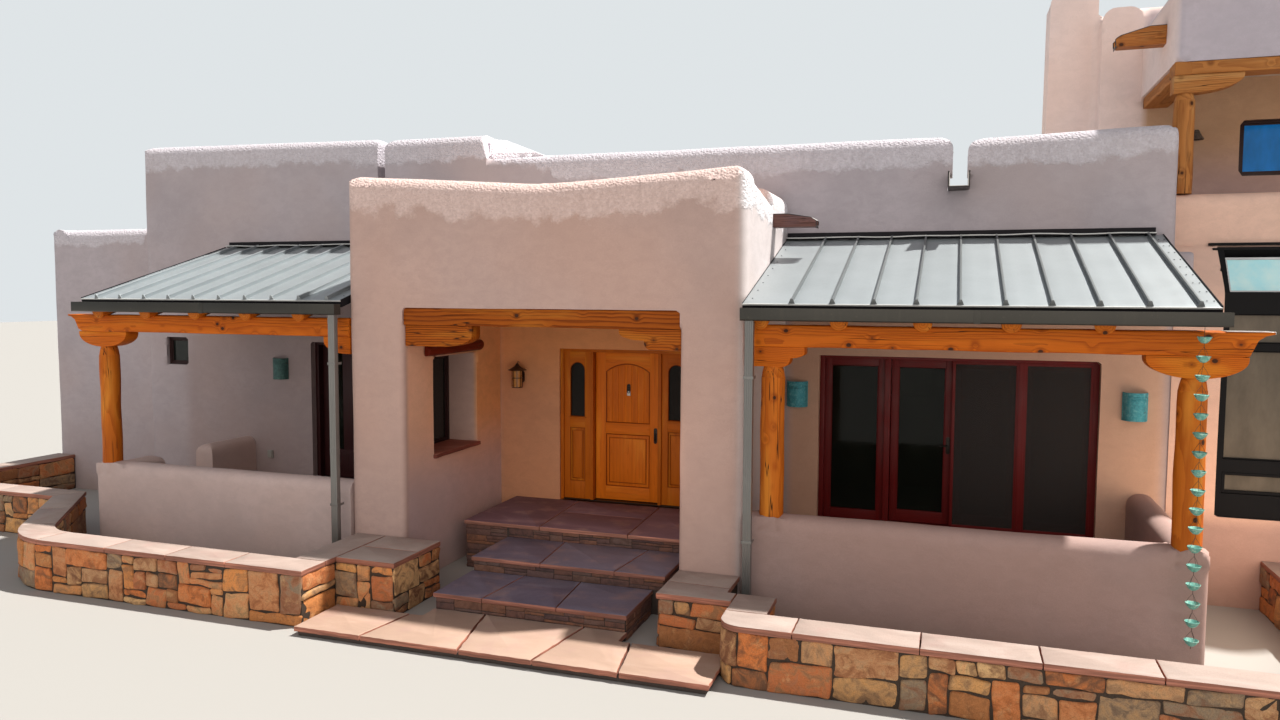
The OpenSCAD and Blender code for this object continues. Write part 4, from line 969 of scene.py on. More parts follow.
@dataclass
class Skin:
    """Stucco drawn in one soft surface over a group of CAD walls."""

    name: str
    nodes: tuple[str, ...]
    finish: Finish
    voxel: float = 0.05
    relax: int = 1
    wave: float = 0.007
    rim_depth: float = 0.46
    rim_from: float = 3.9
    sharp: float = 60.0
    snap: float = 0.72
    reach: float = 1.2
    cell: float = 0.25
    pads: tuple[tuple[Point, Point], ...] = ()
    crest: Callable[[Vector], float] | None = None
    # Tint of each point: painted light and shade multiplied into the stucco's colour.
    painted_light: Callable[[Vector], Colour] = lambda p: (1.0, 1.0, 1.0)

    def build(self) -> None:
        """Builds the surface, which stands for the walls."""
        mesh = self._melted(self._joined())
        self._weathered(mesh)
        dress(mesh, self.name, self.finish, self.nodes, crease=75.0)

    def _joined(self) -> bpy.types.Object:
        """The CAD walls as one loose object.

        Returns:
            The object.
        """
        verts: list[Vector] = []
        faces: list[list[int]] = []
        for node in self.nodes:
            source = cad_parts[node].data
            start = len(verts)
            verts.extend(v.co.copy() for v in source.vertices)
            faces.extend([start + i for i in p.vertices] for p in source.polygons)
        lump = Shape(1)
        for lo, hi in self.pads:
            lump.box(lo, hi, 0.03)
        start = len(verts)
        verts.extend(v + PLAN_ORIGIN for v in lump.verts)
        faces.extend([start + i for i in f] for f in lump.faces)
        mesh = bpy.data.meshes.new(self.name + "_core")
        mesh.from_pydata(verts, [], faces)
        bm = bmesh.new()
        bm.from_mesh(mesh)
        bmesh.ops.remove_doubles(bm, verts=bm.verts, dist=1e-5)
        bm.to_mesh(mesh)
        bm.free()
        core = bpy.data.objects.new(self.name + "_core", mesh)
        bpy.context.scene.collection.objects.link(core)
        return core

    def _melted(self, core: bpy.types.Object) -> bpy.types.Mesh:
        """Melts the walls together and rounds their edges by hand.

        Args:
            core: The walls as one object.

        Returns:
            The soft mesh.
        """
        remesh = core.modifiers.new("melt", "REMESH")
        remesh.mode = "VOXEL"
        remesh.voxel_size = self.voxel * 1.0
        true = bpy.data.objects.new(self.name + "_true", core.data.copy())
        bpy.context.scene.collection.objects.link(true)
        wrap = core.modifiers.new("true", "SHRINKWRAP")
        wrap.wrap_method = "NEAREST_SURFACEPOINT"
        wrap.target = true
        smooth = core.modifiers.new("rub", "SMOOTH")
        smooth.factor = 0.5
        smooth.iterations = self.relax
        ready = core.evaluated_get(bpy.context.evaluated_depsgraph_get())
        mesh = bpy.data.meshes.new_from_object(ready)
        mesh.name = self.name
        self._sharpened(mesh, core.data)
        bpy.data.objects.remove(core)
        bpy.data.objects.remove(true)
        return mesh

    def _sharpened(self, mesh: bpy.types.Mesh, core: bpy.types.Mesh) -> None:
        """Draws the soft surface back to the sharp edges of the walls, such as those of the openings.

        Args:
            mesh: The soft surface.
            core: Mesh of the walls.
        """
        bm = bmesh.new()
        bm.from_mesh(core)
        corners, strips = [], []
        for edge in bm.edges:
            if edge.calc_face_angle(0.0) > math.radians(self.sharp):
                a, b = (v.co.copy() for v in edge.verts)
                strips.append([len(corners) + i for i in range(3)])
                corners += [a, b, b + Vector((1e-4, 1e-4, 1e-4))]
        bm.free()
        edges = BVHTree.FromPolygons(corners, strips)
        for v in mesh.vertices:
            spot = edges.find_nearest(v.co, self.voxel * self.snap)[0]
            if spot is not None:
                v.co = spot
        nearby = KDTree(len(mesh.vertices))
        for v in mesh.vertices:
            nearby.insert(v.co, v.index)
        nearby.balance()
        for corner in {tuple(c) for i, c in enumerate(corners) if i % 3 < 2}:
            _, index, gap = nearby.find(corner)
            if gap < self.voxel * self.reach:
                mesh.vertices[index].co = corner
        bm = bmesh.new()
        bm.from_mesh(mesh)
        bmesh.ops.dissolve_degenerate(bm, edges=bm.edges, dist=2e-4)
        bm.to_mesh(mesh)
        bm.free()

    def _weathered(self, mesh: bpy.types.Mesh) -> None:
        """Moves the surface in and out a little, and marks how near each point is to the top.

        Args:
            mesh: The surface.
        """
        tops: dict[tuple[int, int], float] = {}
        for v in mesh.vertices:
            key = (round(v.co.x / self.cell), round(v.co.y / self.cell))
            tops[key] = max(tops.get(key, 0.0), v.co.z)
        rim, painted_lights, moved = [], [], []
        for v in mesh.vertices:
            p = v.co
            key = (round(p.x / self.cell), round(p.y / self.cell))
            top = max(tops.get((key[0] + i, key[1] + j), 0.0) for i in (-1, 0, 1) for j in (-1, 0, 1))
            rim.append(ramped(top - p.z, self.rim_depth, 0.1) if top > self.rim_from else 0.0)
            push = noise.noise(p * 0.75) * self.wave + noise.noise(p * 2.6) * self.wave * 0.4
            q = p + v.normal * (push - 0.0015)
            q.z = min(q.z, self.crest(q - PLAN_ORIGIN)) if self.crest else q.z
            painted_lights.extend((*self.painted_light(p - PLAN_ORIGIN), 1.0))
            moved.extend(q)
        mesh.vertices.foreach_set("co", moved)
        layer = mesh.attributes.new("rim", "FLOAT", "POINT")
        layer.data.foreach_set("value", rim)
        layer = mesh.attributes.new("painted_light", "FLOAT_COLOR", "POINT")
        layer.data.foreach_set("color", painted_lights)
        mesh.update()


@dataclass
class StuccoWork:
    """All the stucco of the house."""

    # One earth stucco in five copies, tinted apart as painted light and shade: the house's lavender grey is
    # painted sky shade, and the sunny walls' lighter peach is painted sunlight.
    entry: Stucco = Stucco("entry_stucco", "entry_stucco", (0.555, 0.395, 0.355))
    low: Stucco = Stucco("low_wall_stucco", "low_wall_stucco", (0.49, 0.355, 0.33))
    house: Stucco = Stucco("house_stucco", "main_stucco", (0.445, 0.4, 0.435))
    wing: Stucco = Stucco("wing_stucco", "wing_stucco", (0.59, 0.465, 0.445))
    sunny: Stucco = Stucco("sunny_stucco", "wing_stucco", (0.69, 0.485, 0.42))
    top_round: float = 0.17
    entry_front: float = -2.43
    crest_from: float = 4.0
    crest_dip: float = 0.32
    crest_left: Flat = (-2.12, 4.79)
    crest_right: Flat = (2.6, 4.745)
    crest_falls: Flat = (0.0697, 0.0548)

    def crest(self, p: Vector) -> float:
        """How high the front edge of the entry's parapet may stand, so that it is round from end to end.

        Args:
            p: A point on the plan.

        Returns:
            The greatest height there.
        """
        front = p.y - self.entry_front
        if p.z < self.crest_from or front > self.top_round:
            return NO_LIMIT
        if p.x < self.crest_dip:
            top = self.crest_left[1] - self.crest_falls[0] * (p.x - self.crest_left[0])
        else:
            top = self.crest_right[1] + self.crest_falls[1] * (p.x - self.crest_right[0])
        inside = min(self.top_round, max(0.0, self.top_round - front))
        return top - self.top_round + math.sqrt(self.top_round ** 2 - inside ** 2)

    @staticmethod
    def painted_light(p: Vector) -> Colour:
        """Tint of the stucco: warmer where a roof keeps the sun from bleaching it.

        Args:
            p: A point on the plan.

        Returns:
            The tint there.
        """
        low = ramped(p.z, 3.45, 3.2) * (1.0 if -0.1 < p.y < 0.45 else 0.0)
        high = ramped(p.z, 1.8, 2.9)
        # Warm painted bounce light on the entry's back wall and in the right porch, and painted shade in the
        # left porch.
        shares = (((1.38 + 0.4 * high, 0.77 + 0.12 * high, 0.4 - 0.06 * high),
                   ramped(abs(p.x - 0.27), 1.72, 1.62)),
                  ((1.4, 1.04, 0.72), ramped(abs(p.x - 4.75), 2.18, 2.02)),
                  ((0.9, 0.84, 0.8), ramped(abs(p.x + 4.55), 2.5, 2.2)))
        colour = [1.0, 1.0, 1.0]
        for tinge, share in shares:
            colour = [c + (t - c) * share * low for c, t in zip(colour, tinge)]
        # Painted sunlight on the top of the parapet's shoulder.
        if -1.66 < p.x < -0.66 and p.y > 0.02:
            painted_sun = ramped(p.z, 5.24, 5.32)
            colour = [c + 0.6 * painted_sun for c in colour]
        return (colour[0], colour[1], colour[2])

    @staticmethod
    def shoulder(p: Vector) -> float:
        """How high the long parapet may stand where it falls away in front of its higher part.

        Args:
            p: A point on the plan.

        Returns:
            The greatest height there.
        """
        if p.z < 5.24 or not -1.585 < p.x < -0.6:
            return NO_LIMIT
        return 5.285 + 0.345 * min(1.0, max(0.0, (p.y - 0.05) / 0.33))

    @staticmethod
    def entry_painted_light(p: Vector) -> Colour:
        """Tint of the entry's stucco, bleached on the side that takes the sun all day.

        Args:
            p: A point on the plan.

        Returns:
            The tint there.
        """
        # Painted sunlight on the right side, and painted light inside the entry.
        painted_sun = ramped(p.x, 2.5, 2.58)
        inside = ramped(abs(p.x - 0.27), 1.72, 1.66) * ramped(p.y, -2.38, -2.3) * ramped(p.z, 3.2, 3.1)
        high, deep = ramped(p.z, 0.9, 2.0), ramped(p.y, -2.2, -0.6)
        painted_inner_light = (1.1 + 0.45 * high, 1.16 + (0.14 - 0.24 * deep) * high, 1.3 - (0.3 + 0.5 * deep) * high)
        return tuple(1.0 + a * painted_sun + (b - 1.0) * inside for a, b in zip((0.26, 0.58, 0.75), painted_inner_light))

    @staticmethod
    def wing_painted_light(p: Vector) -> Colour:
        """Tint of the upper walls, pale beside the balcony and warm under its header.

        Args:
            p: A point on the plan.

        Returns:
            The tint there.
        """
        # Masks of the painted light: the left wall and chimney, the balcony under the header, and the header.
        side = ramped(p.x, 6.95, 6.89)
        under = ramped(p.y, 2.3, 2.5) * ramped(p.y, 3.0, 2.8) * ramped(p.z, 6.92, 6.72) * (1.0 - side)
        under *= ramped(p.x, 10.7, 10.45)
        high, header = ramped(p.z, 4.8, 5.6), ramped(p.z, 5.96, 6.06) * ramped(p.y, 2.62, 2.5)
        front = tuple(1.14 + (h - 1.14) * header for h in (0.87, 1.01, 1.2))
        return tuple(f + (s - f) * side + (w - f) * under
                     for f, s, w in zip(front, (1.46, 1.56, 1.58),
                                           (0.86 + 0.14 * high, 0.8 + 0.02 * high, 0.8 - 0.26 * high)))

    @staticmethod
    def low_painted_light(p: Vector) -> Colour:
        """Tint of the low walls, paler round the left porch."""
        return (1.24, 1.36, 1.4) if p.x < 0.0 else (0.87, 0.85, 0.85)

    @staticmethod
    def sunny_painted_light(p: Vector) -> Colour:
        """Tint of the sunny walls, deeper near the ground."""
        low = ramped(p.z, 1.1, 0.85)
        return (1.16 - 0.46 * low, 1.13 - 0.46 * low, 1.06 - 0.38 * low)

    def build(self) -> None:
        """Builds every skin."""
        for skin in (
            Skin("stucco_entry", ("entry_left_wall", "entry_right_wall", "entry_header_wall"),
                 self.entry, 0.04, rim_depth=0.72, crest=self.crest, painted_light=self.entry_painted_light),
            Skin("stucco_front", ("main_wall_left", "wall_over_side_door", "main_wall_mid_left",
                                  "wall_over_front_door", "main_wall_mid_right",
                                  "wall_over_patio_doors", "main_wall_right"),
                 self.house, 0.047, rim_depth=0.6,
                 pads=(((6.72, 0.014, 0.02), (7.08, 0.3, 3.92)),), crest=self.shoulder, painted_light=self.painted_light),
            Skin("stucco_outer", ("outer_walls",), self.house, 0.1),
            Skin("stucco_low_walls", ("portal_low_walls",), self.low, 0.04, painted_light=self.low_painted_light,
                 pads=tuple(((x - 0.175, -2.428, 1.0), (x + 0.175, -2.134, 1.196))
                            for x in (-5.93, 2.87, 6.62))),
            Skin("stucco_wing_top", ("wing_left_wall", "wing_right_wall", "chimney", "upper_header_wall",
                                     "upper_front_wall"),
                 self.wing, 0.074, rim_from=NO_LIMIT, painted_light=self.wing_painted_light),
            Skin("stucco_wing_front", ("balcony_wall", "sunspace_wall"), self.sunny, 0.046, rim_from=NO_LIMIT,
                 painted_light=self.sunny_painted_light),
        ):
            skin.build()


# Timber


class Side(Enum):
    """Left or right end of a piece."""

    LEFT = -1.0
    RIGHT = 1.0


@dataclass(frozen=True)
class Corbel:
    """A carved bracket that grows from x to one side under a beam."""

    x: float
    y: Span
    z: float
    length: float
    flat: float
    side: Side
    height: float = 0.2
    nose: float = 0.035
    stepped: bool = False

    def outline(self) -> list[Flat]:
        """Side view, from its root round the underside to the nose.

        Returns:
            Its points, across and up.
        """
        reach, drop = self.length - self.flat, self.height - self.nose
        if self.stepped:
            cut = self.flat + reach * 0.28
            points = [(0.0, 0.0), (0.0, -self.height), (cut - 0.07, -self.height)]
            points += [(cut - 0.07 + 0.07 * math.sin(a), -self.height * 0.6 - self.height * 0.4 * math.cos(a))
                       for a in (math.radians(15 * i) for i in range(1, 7))]
            points += [(cut + (self.length - cut) * math.sin(a),
                        -self.nose - (self.height * 0.56 - self.nose) * math.cos(a))
                       for a in (math.radians(11.25 * i) for i in range(9))]
        else:
            points = [(0.0, 0.0), (0.0, -self.height)]
            points += [(self.flat + reach * math.sin(a), -self.nose - drop * math.cos(a))
                       for a in (math.radians(9 * i) for i in range(11))]
        points.append((self.length, 0.0))
        return [(self.x + self.side.value * u, self.z + v) for u, v in points]


@dataclass
class Carpentry:
    """Beams, corbels, posts, rafters and the log over the niche."""

    beam: Timber = Timber("beam_pine", "beam_wood", (0.7, 0.165, 0.01), (0.34, 0.058, 0.004))
    aged: Timber = Timber("aged_pine", "beam_wood", (0.52, 0.215, 0.06), (0.24, 0.08, 0.02), rough=0.55)
    entry: Timber = Timber("entry_pine", "beam_wood", (0.46, 0.112, 0.009), (0.16, 0.031, 0.002), rings=38.0,
                           rough=0.55, figure=1.5)
    log: Timber = Timber("log_pine", "log_wood", (0.7, 0.195, 0.018), (0.4, 0.08, 0.006), rings=40.0)
    red_log: Timber = Timber("red_log", "red_wood", (0.19, 0.018, 0.006), (0.075, 0.008, 0.004), knots=0.4)
    cap: SheetMetal = SheetMetal("beam_cap", "gutter_metal", (0.5, 0.45, 0.43))
    porch_y: Span = (-2.4, -2.18)
    porch_z: Span = (2.91, 3.13)
    curve: float = 0.18
    posts: tuple[float, ...] = (-5.93, 2.87, 6.62)
    post_y: float = -2.29
    rafter_x: tuple[float, ...] = tuple(
        x for i in range(5) for x in (2.77 + 0.775 * i, -2.75 - 0.775 * i))
    slope: float = 0.3

    def build(self) -> None:
        """Builds all the timber."""
        self._beams()
        self._corbels()
        self._posts()
        self._rafters()
        self._niche_log()

    def _beams(self) -> None:
        """The entry beam, the two porch beams with their curved ends, and the balcony lintels."""
        wood = Shape(11)
        wood.box((-1.38, -2.4, 3.063), (1.92, -2.1, 3.261), 0.008, 0.09, 0.006, 2.5, tone=1.0,
                 pith=Vector((0, -2.2, 3.02)))
        wood.make("entry_beam", self.entry, "timber_beams")
        wood = Shape(20)
        for x0, x1, end in ((2.6, 7.2, Side.RIGHT), (-6.51, -2.12, Side.LEFT)):
            tip = x1 if end is Side.RIGHT else x0
            wood.box((x0, self.porch_y[0], self.porch_z[0]), (x1, self.porch_y[1], self.porch_z[1]),
                     0.016, 0.055, 0.007, 2.2, bend=lambda p, t=tip: self._cut_end(p, t), tone=0.22,
                     pith=Vector((x0, -2.26, 2.97)))
        wood.make("pine_beams", self.beam, "timber_beams")
        wood = Shape(17)
        for lo, hi in (((6.9, 0.47, 5.93), (10.8, 0.77, 6.07)),
                       ((6.93, 0.771, 5.93), (7.23, 2.548, 6.07)),
                       ((10.47, 0.771, 5.93), (10.77, 2.548, 6.07))):
            way = ALONG if hi[0] - lo[0] > 1 else DEEP
            wood.box(lo, hi, 0.01, 0.09, 0.005, 2.5, along=way, tone=0.5)
        wood.box((6.896, 0.466, 5.926), (7.066, 0.64, 6.074), 0.01, 0.09, 0.004,
                 along=DEEP, tone=1.0)
        wood.make("balcony_lintels", self.aged, "timber_beams")
        cap = Shape(12)
        cap.box((6.83, self.porch_y[0] - 0.006, 3.129), (7.202, self.porch_y[1] + 0.006, 3.134), 0.002, 0.08,
                0.001)
        cap.box((7.196, self.porch_y[0] - 0.006, 3.112), (7.202, self.porch_y[1] + 0.006, 3.134), 0.002, 0.08)
        cap.make("beam_end_cap", self.cap)

    def _cut_end(self, p: Vector, tip: float) -> Vector:
        """Cuts the free end of a porch beam to a curve from below.

        Args:
            p: A point of the beam.
            tip: Where the beam ends.

        Returns:
            The point, moved up if it is within the curve.
        """
        share = abs(tip - p.x) / self.curve
        if share >= 1:
            return p
        height = self.porch_z[1] - self.porch_z[0]
        rise = (height - 0.02) * math.cos(math.asin(max(0.0, share)))
        return Vector((p.x, p.y, self.porch_z[1] - (self.porch_z[1] - p.z) * (height - rise) / height))

    def _corbels(self) -> None:
        """The carved corbels of the entry, the porches and the balcony."""
        near, far = (-2.39, -2.19), (0.5, 0.7)
        entry = (-2.37, -2.17)
        wood, upper, door = Shape(13), Shape(18), Shape(29)
        for corbel in (
            Corbel(-1.38, entry, 3.063, 0.86, 0.48, Side.RIGHT, 0.24, 0.11),
            Corbel(1.92, entry, 3.063, 0.69, 0.3, Side.LEFT, 0.22, 0.04, True),
            Corbel(-2.12, near, 2.91, 0.37, 0.06, Side.LEFT, 0.2, 0.05),
            Corbel(2.6, near, 2.91, 0.6, 0.4, Side.RIGHT, 0.2, 0.06, True),
            Corbel(6.9, far, 5.93, 0.7, 0.18, Side.RIGHT, 0.2, 0.03),
            Corbel(10.8, far, 5.93, 0.7, 0.18, Side.LEFT, 0.2, 0.03),
        ):
            (upper if corbel.y is far else door if corbel.y is entry else wood).prism(
                corbel.outline(), Axis.Y, corbel.y, 0.007, along=ALONG,
                pith=Vector((corbel.x, corbel.y[0] - 0.05, corbel.z - 0.33)))
        door.make("entry_corbels", self.entry, "timber_corbels")
        upper.make("balcony_corbels", self.aged, "timber_corbels")
        for x in (self.posts[0], self.posts[2]):
            half = Corbel(x, near, 2.91, 0.4, 0.0, Side.RIGHT, nose=0.03)
            right = half.outline()[2:]
            left = [(2 * x - u, v) for u, v in right]
            wood.prism([*right, *left[::-1]], Axis.Y, near, 0.008, along=ALONG, tone=0.35,
                       pith=Vector((x, near[0] - 0.04, 2.6)))
        wood.make("carved_corbels", self.beam, "timber_corbels")

    def _posts(self) -> None:
        """The log posts, a little crooked and drawn in below the corbels."""
        wood = Shape(14)
        for x in self.posts:
            self._post(wood, Vector((x, self.post_y, 1.055)), 2.711, 0.124)
        wood.make("log_posts", self.log, "timber_posts")
        wood = Shape(19)
        for x in (7.03, 10.67):
            self._post(wood, Vector((x, 0.6, 4.601)), 5.731, 0.116)
        wood.make("balcony_posts", self.aged, "timber_posts")

    @staticmethod
    def _post(wood: Shape, foot: Vector, top: float, r: float) -> None:
        """Adds a post.

        Args:
            wood: Shape that it is added to.
            foot: Middle of its foot.
            top: Height of its top.
            r: Radius.
        """
        rows = 15
        lift = (top - foot.z) / rows
        path = [foot + Vector((0, 0, lift * i)) for i in range(rows)]
        path += [Vector((foot.x, foot.y, top - d)) for d in (0.11, 0.055, 0.015, 0.0)]
        radii = [r * (0.985 - 0.02 * i / rows) for i in range(rows)] + [r * 0.94, r * 0.88, r * 0.8, r * 0.77]
        wood.tube(path, radii, 30, rough=0.01 * r / 0.124, pitch=2.4, pith=foot + Vector((0.02, 0.015, 0)),
                  along=UP)

    def _rafters(self) -> None:
        """The sloping log rafters, which end just behind the gutters."""
        wood = Shape(15)
        for x in self.rafter_x:
            path = [Vector((x, y, 3.33 + self.slope * (y + 2.6) - 0.185)) for y in
                    (-2.528, -2.1, -1.6, -1.05, -0.5, -0.002)]
            wood.tube(path, 0.088, 18, 0.012, 0.006, 2.0)
        wood.make("log_rafters_round", self.log, "log_rafters")

    def _niche_log(self) -> None:
        """The dark log over the deep window niche."""
        wood = Shape(16)
        path = [Vector((-1.38, y, 2.745 + 0.004 * math.sin(y * 5))) for y in
                (-1.958, -1.75, -1.5, -1.25, -1.0, -0.75, -0.592)]
        wood.tube(path, (0.07, 0.073, 0.074, 0.073, 0.072, 0.071, 0.068), 22, 0.012, 0.007, 4.0, tone=0.4)
        wood.make("niche_log", self.red_log, "niche_lintel_log")


# Porch roofs and rainwater goods


@dataclass
class PorchRoof:
    """Standing-seam roof of one porch, seen from the eave up to the wall flashing."""

    name: str
    x: Span
    seams: tuple[float, ...]
    rake: Side
    pan: SheetMetal = SheetMetal("roof_sheet", "roof_metal", (0.345, 0.38, 0.4), (0.46, 0.47, 0.47),
                                 0.45, 0.44)
    # Seams drawn darker than the pans, a painted shade of their shaded sides.
    seam: SheetMetal = SheetMetal("painted_shade_seam", "roof_metal", (0.18, 0.194, 0.2), (0.3, 0.3, 0.3), 0.45, 0.42)
    trim: SheetMetal = SheetMetal("dark_flashing", "roof_metal", (0.014, 0.013, 0.016),
                                  (0.03, 0.028, 0.028), 0.0, 0.6, 0.0025, 0.12)
    # A pale copy of the flashing metal for the apron's lip and the eave's hem: a painted highlight.
    pale: SheetMetal = SheetMetal("painted_highlight_metal", "roof_metal", (0.6, 0.61, 0.6), (0.52, 0.49, 0.45), 0.3, 0.42)
    boards: Timber = Timber("deck_boards", "beam_wood", (0.36, 0.16, 0.055), (0.17, 0.06, 0.018))
    eave_y: float = -2.55
    slope: float = 0.3
    wall_z: float = 4.11
    pack: float = 0.09

    def surface(self, y: float) -> float:
        """Height of the sheets at a depth y."""
        return self.wall_z + self.slope * y

    @property
    def eave(self) -> Matrix:
        """Placement of a piece whose own y runs up the slope from the eave."""
        tilt = Matrix.Rotation(math.atan(self.slope), 4, "X")
        return Matrix.Translation((0, self.eave_y, self.surface(self.eave_y))) @ tilt

    @property
    def run(self) -> float:
        """Length of the slope, from the eave to the wall."""
        return -self.eave_y * math.hypot(1, self.slope)

    def build(self) -> None:
        """Builds the roof."""
        for part, draw, finish in (("_pans", self._pans, self.pan), ("_seams", self._seams, self.seam),
                                   ("_flashing", self._flashing, self.trim),
                                   ("_painted_highlight_trim", self._painted_highlight_edges, self.pale),
                                   ("_deck", self._deck, self.boards)):
            draw().make(self.name + part, finish, "portal_roofs")

    def _pans(self) -> Shape:
        """Sheets between the seams, each a little dished and sprung.

        Returns:
            The shape.
        """
        sheets = Shape(21)
        edges = [self.x[0], *self.seams, self.x[1]]
        for a, b in zip(edges, edges[1:]):
            dish = lambda p, a=a, b=b: Vector((p.x, p.y, p.z - 0.004 * math.sin(
                math.pi * min(1.0, max(0.0, (p.x - a) / (b - a))))))
            sheets.box((a + 0.001, 0.002, -0.012), (b - 0.001, self.run - 0.004, -0.001), 0.002, 0.13, 0.0035,
                       1.6, self.eave, dish)
        return sheets

    def _seams(self) -> Shape:
        """Upright seams with a rolled top and a folded end at the eave.

        Returns:
            The shape.
        """
        folds = Shape(22)
        for x in self.seams:
            section = [(x - 0.009, -0.008), (x + 0.009, -0.008), (x + 0.006, 0.032), (x + 0.012, 0.035),
                       (x + 0.009, 0.044), (x - 0.009, 0.044), (x - 0.012, 0.035), (x - 0.006, 0.032)]
            folds.prism(section, Axis.Y, (0.012, self.run - 0.03), 0.0012, self.eave)
            # Each folded end gets tone 1.0, which draws it a little darker, a painted shade.
            flap = [(x - 0.032, -0.004), (x + 0.032, -0.004), (x + 0.011, 0.05), (x - 0.011, 0.05)]
            folds.prism(flap, Axis.Y, (0.004, 0.016), 0.0015, self.eave, tone=1.0)
        return folds

    def _flashing(self) -> Shape:
        """Strip on the wall, its apron over the seams, and the rivets of the edges.

        Returns:
            The shape.
        """
        metal = Shape(23)
        x0, x1 = self.x[0] + (0.0 if self.rake is Side.LEFT else 0.01), self.x[1]
        if self.rake is Side.RIGHT:
            x1 -= 0.075
        else:
            x0 += 0.075
        metal.box((x0, -0.016, self.wall_z + 0.02), (x1, 0.001, self.wall_z + 0.078), 0.003, 0.25, 0.001)
        metal.box((x0, -0.06, self.wall_z - 0.004), (x1, -0.006, self.wall_z + 0.01), 0.003, 0.25, 0.001)
        for x in (self.x[1] - 0.085, self.x[1] - 0.03) if self.rake is Side.RIGHT else (
                self.x[0] + 0.03, self.x[0] + 0.085):
            self._rivets(metal, x)
        wall_side = self.x[0] + 0.07 if self.rake is Side.RIGHT else self.x[1] - 0.07
        self._rivets(metal, wall_side)
        edge = self.x[1] if self.rake is Side.RIGHT else self.x[0]
        metal.box((edge - 0.006, 0.0, -self.pack + 0.004), (edge + 0.006, 2.655, 0.01), 0.003, 0.3,
                  0.001, 2.0, self.eave)
        near = self.x[1] - 0.003 if self.rake is Side.LEFT else self.x[0] + 0.003
        metal.box((near - 0.003, 0.0, -self.pack + 0.004), (near + 0.003, 2.655, 0.004), 0.001, 0.3,
                  turn=self.eave)
        metal.box((self.x[0], 0.0004, -self.pack * 0.96), (self.x[1], 0.005, -0.014), 0.001, 0.3,
                  turn=self.eave)
        return metal

    def _rivets(self, metal: Shape, x: float) -> None:
        """Adds a row of rivets up the slope at x.

        Args:
            metal: Shape that they are added to.
            x: Place of the row.
        """
        for i in range(9):
            y = self.eave_y + 0.16 + i * 0.27
            metal.lathe([(0.0004, 0.0), (0.0075, 0.0), (0.006, 0.004), (0.0004, 0.0055)],
                        (x, y, self.surface(y) + 0.0005), 7)

    def _painted_highlight_edges(self) -> Shape:
        """Wavy lip of the apron, and the hem that drips into the gutter.

        Returns:
            The shape.
        """
        metal = Shape(24)
        x0 = self.x[0] + (0.0 if self.rake is Side.RIGHT else 0.075)
        x1 = self.x[1] - (0.075 if self.rake is Side.RIGHT else 0.0)
        wave = lambda p: p + Vector((0, 0.01 * noise.noise(Vector((p.x * 1.9, 3.1, 0))),
                                     0.012 * noise.noise(Vector((p.x * 2.3, 0, 7.7)))))
        metal.box((x0, -0.094, self.wall_z + 0.009), (x1, -0.01, self.wall_z + 0.024), 0.005, 0.06, bend=wave)
        metal.box((self.x[0] + 0.001, -0.012, -0.018), (self.x[1] - 0.001, 0.008, -0.002), 0.002, 0.2, 0.001,
                  3.0, self.eave)
        return metal

    def _deck(self) -> Shape:
        """Boards across the rafters under the sheets.

        Returns:
            The shape.
        """
        wood = Shape(25)
        count = 18
        for i in range(count):
            y0, y1 = self.run * i / count + 0.0015, self.run * (i + 1) / count - 0.0015
            wood.box((self.x[0] + 0.008, y0 + 0.004, -self.pack * 0.955),
                     (self.x[1] - 0.008, y1 - 0.004, -0.016), 0.005, 2.2, turn=self.eave)
        return wood


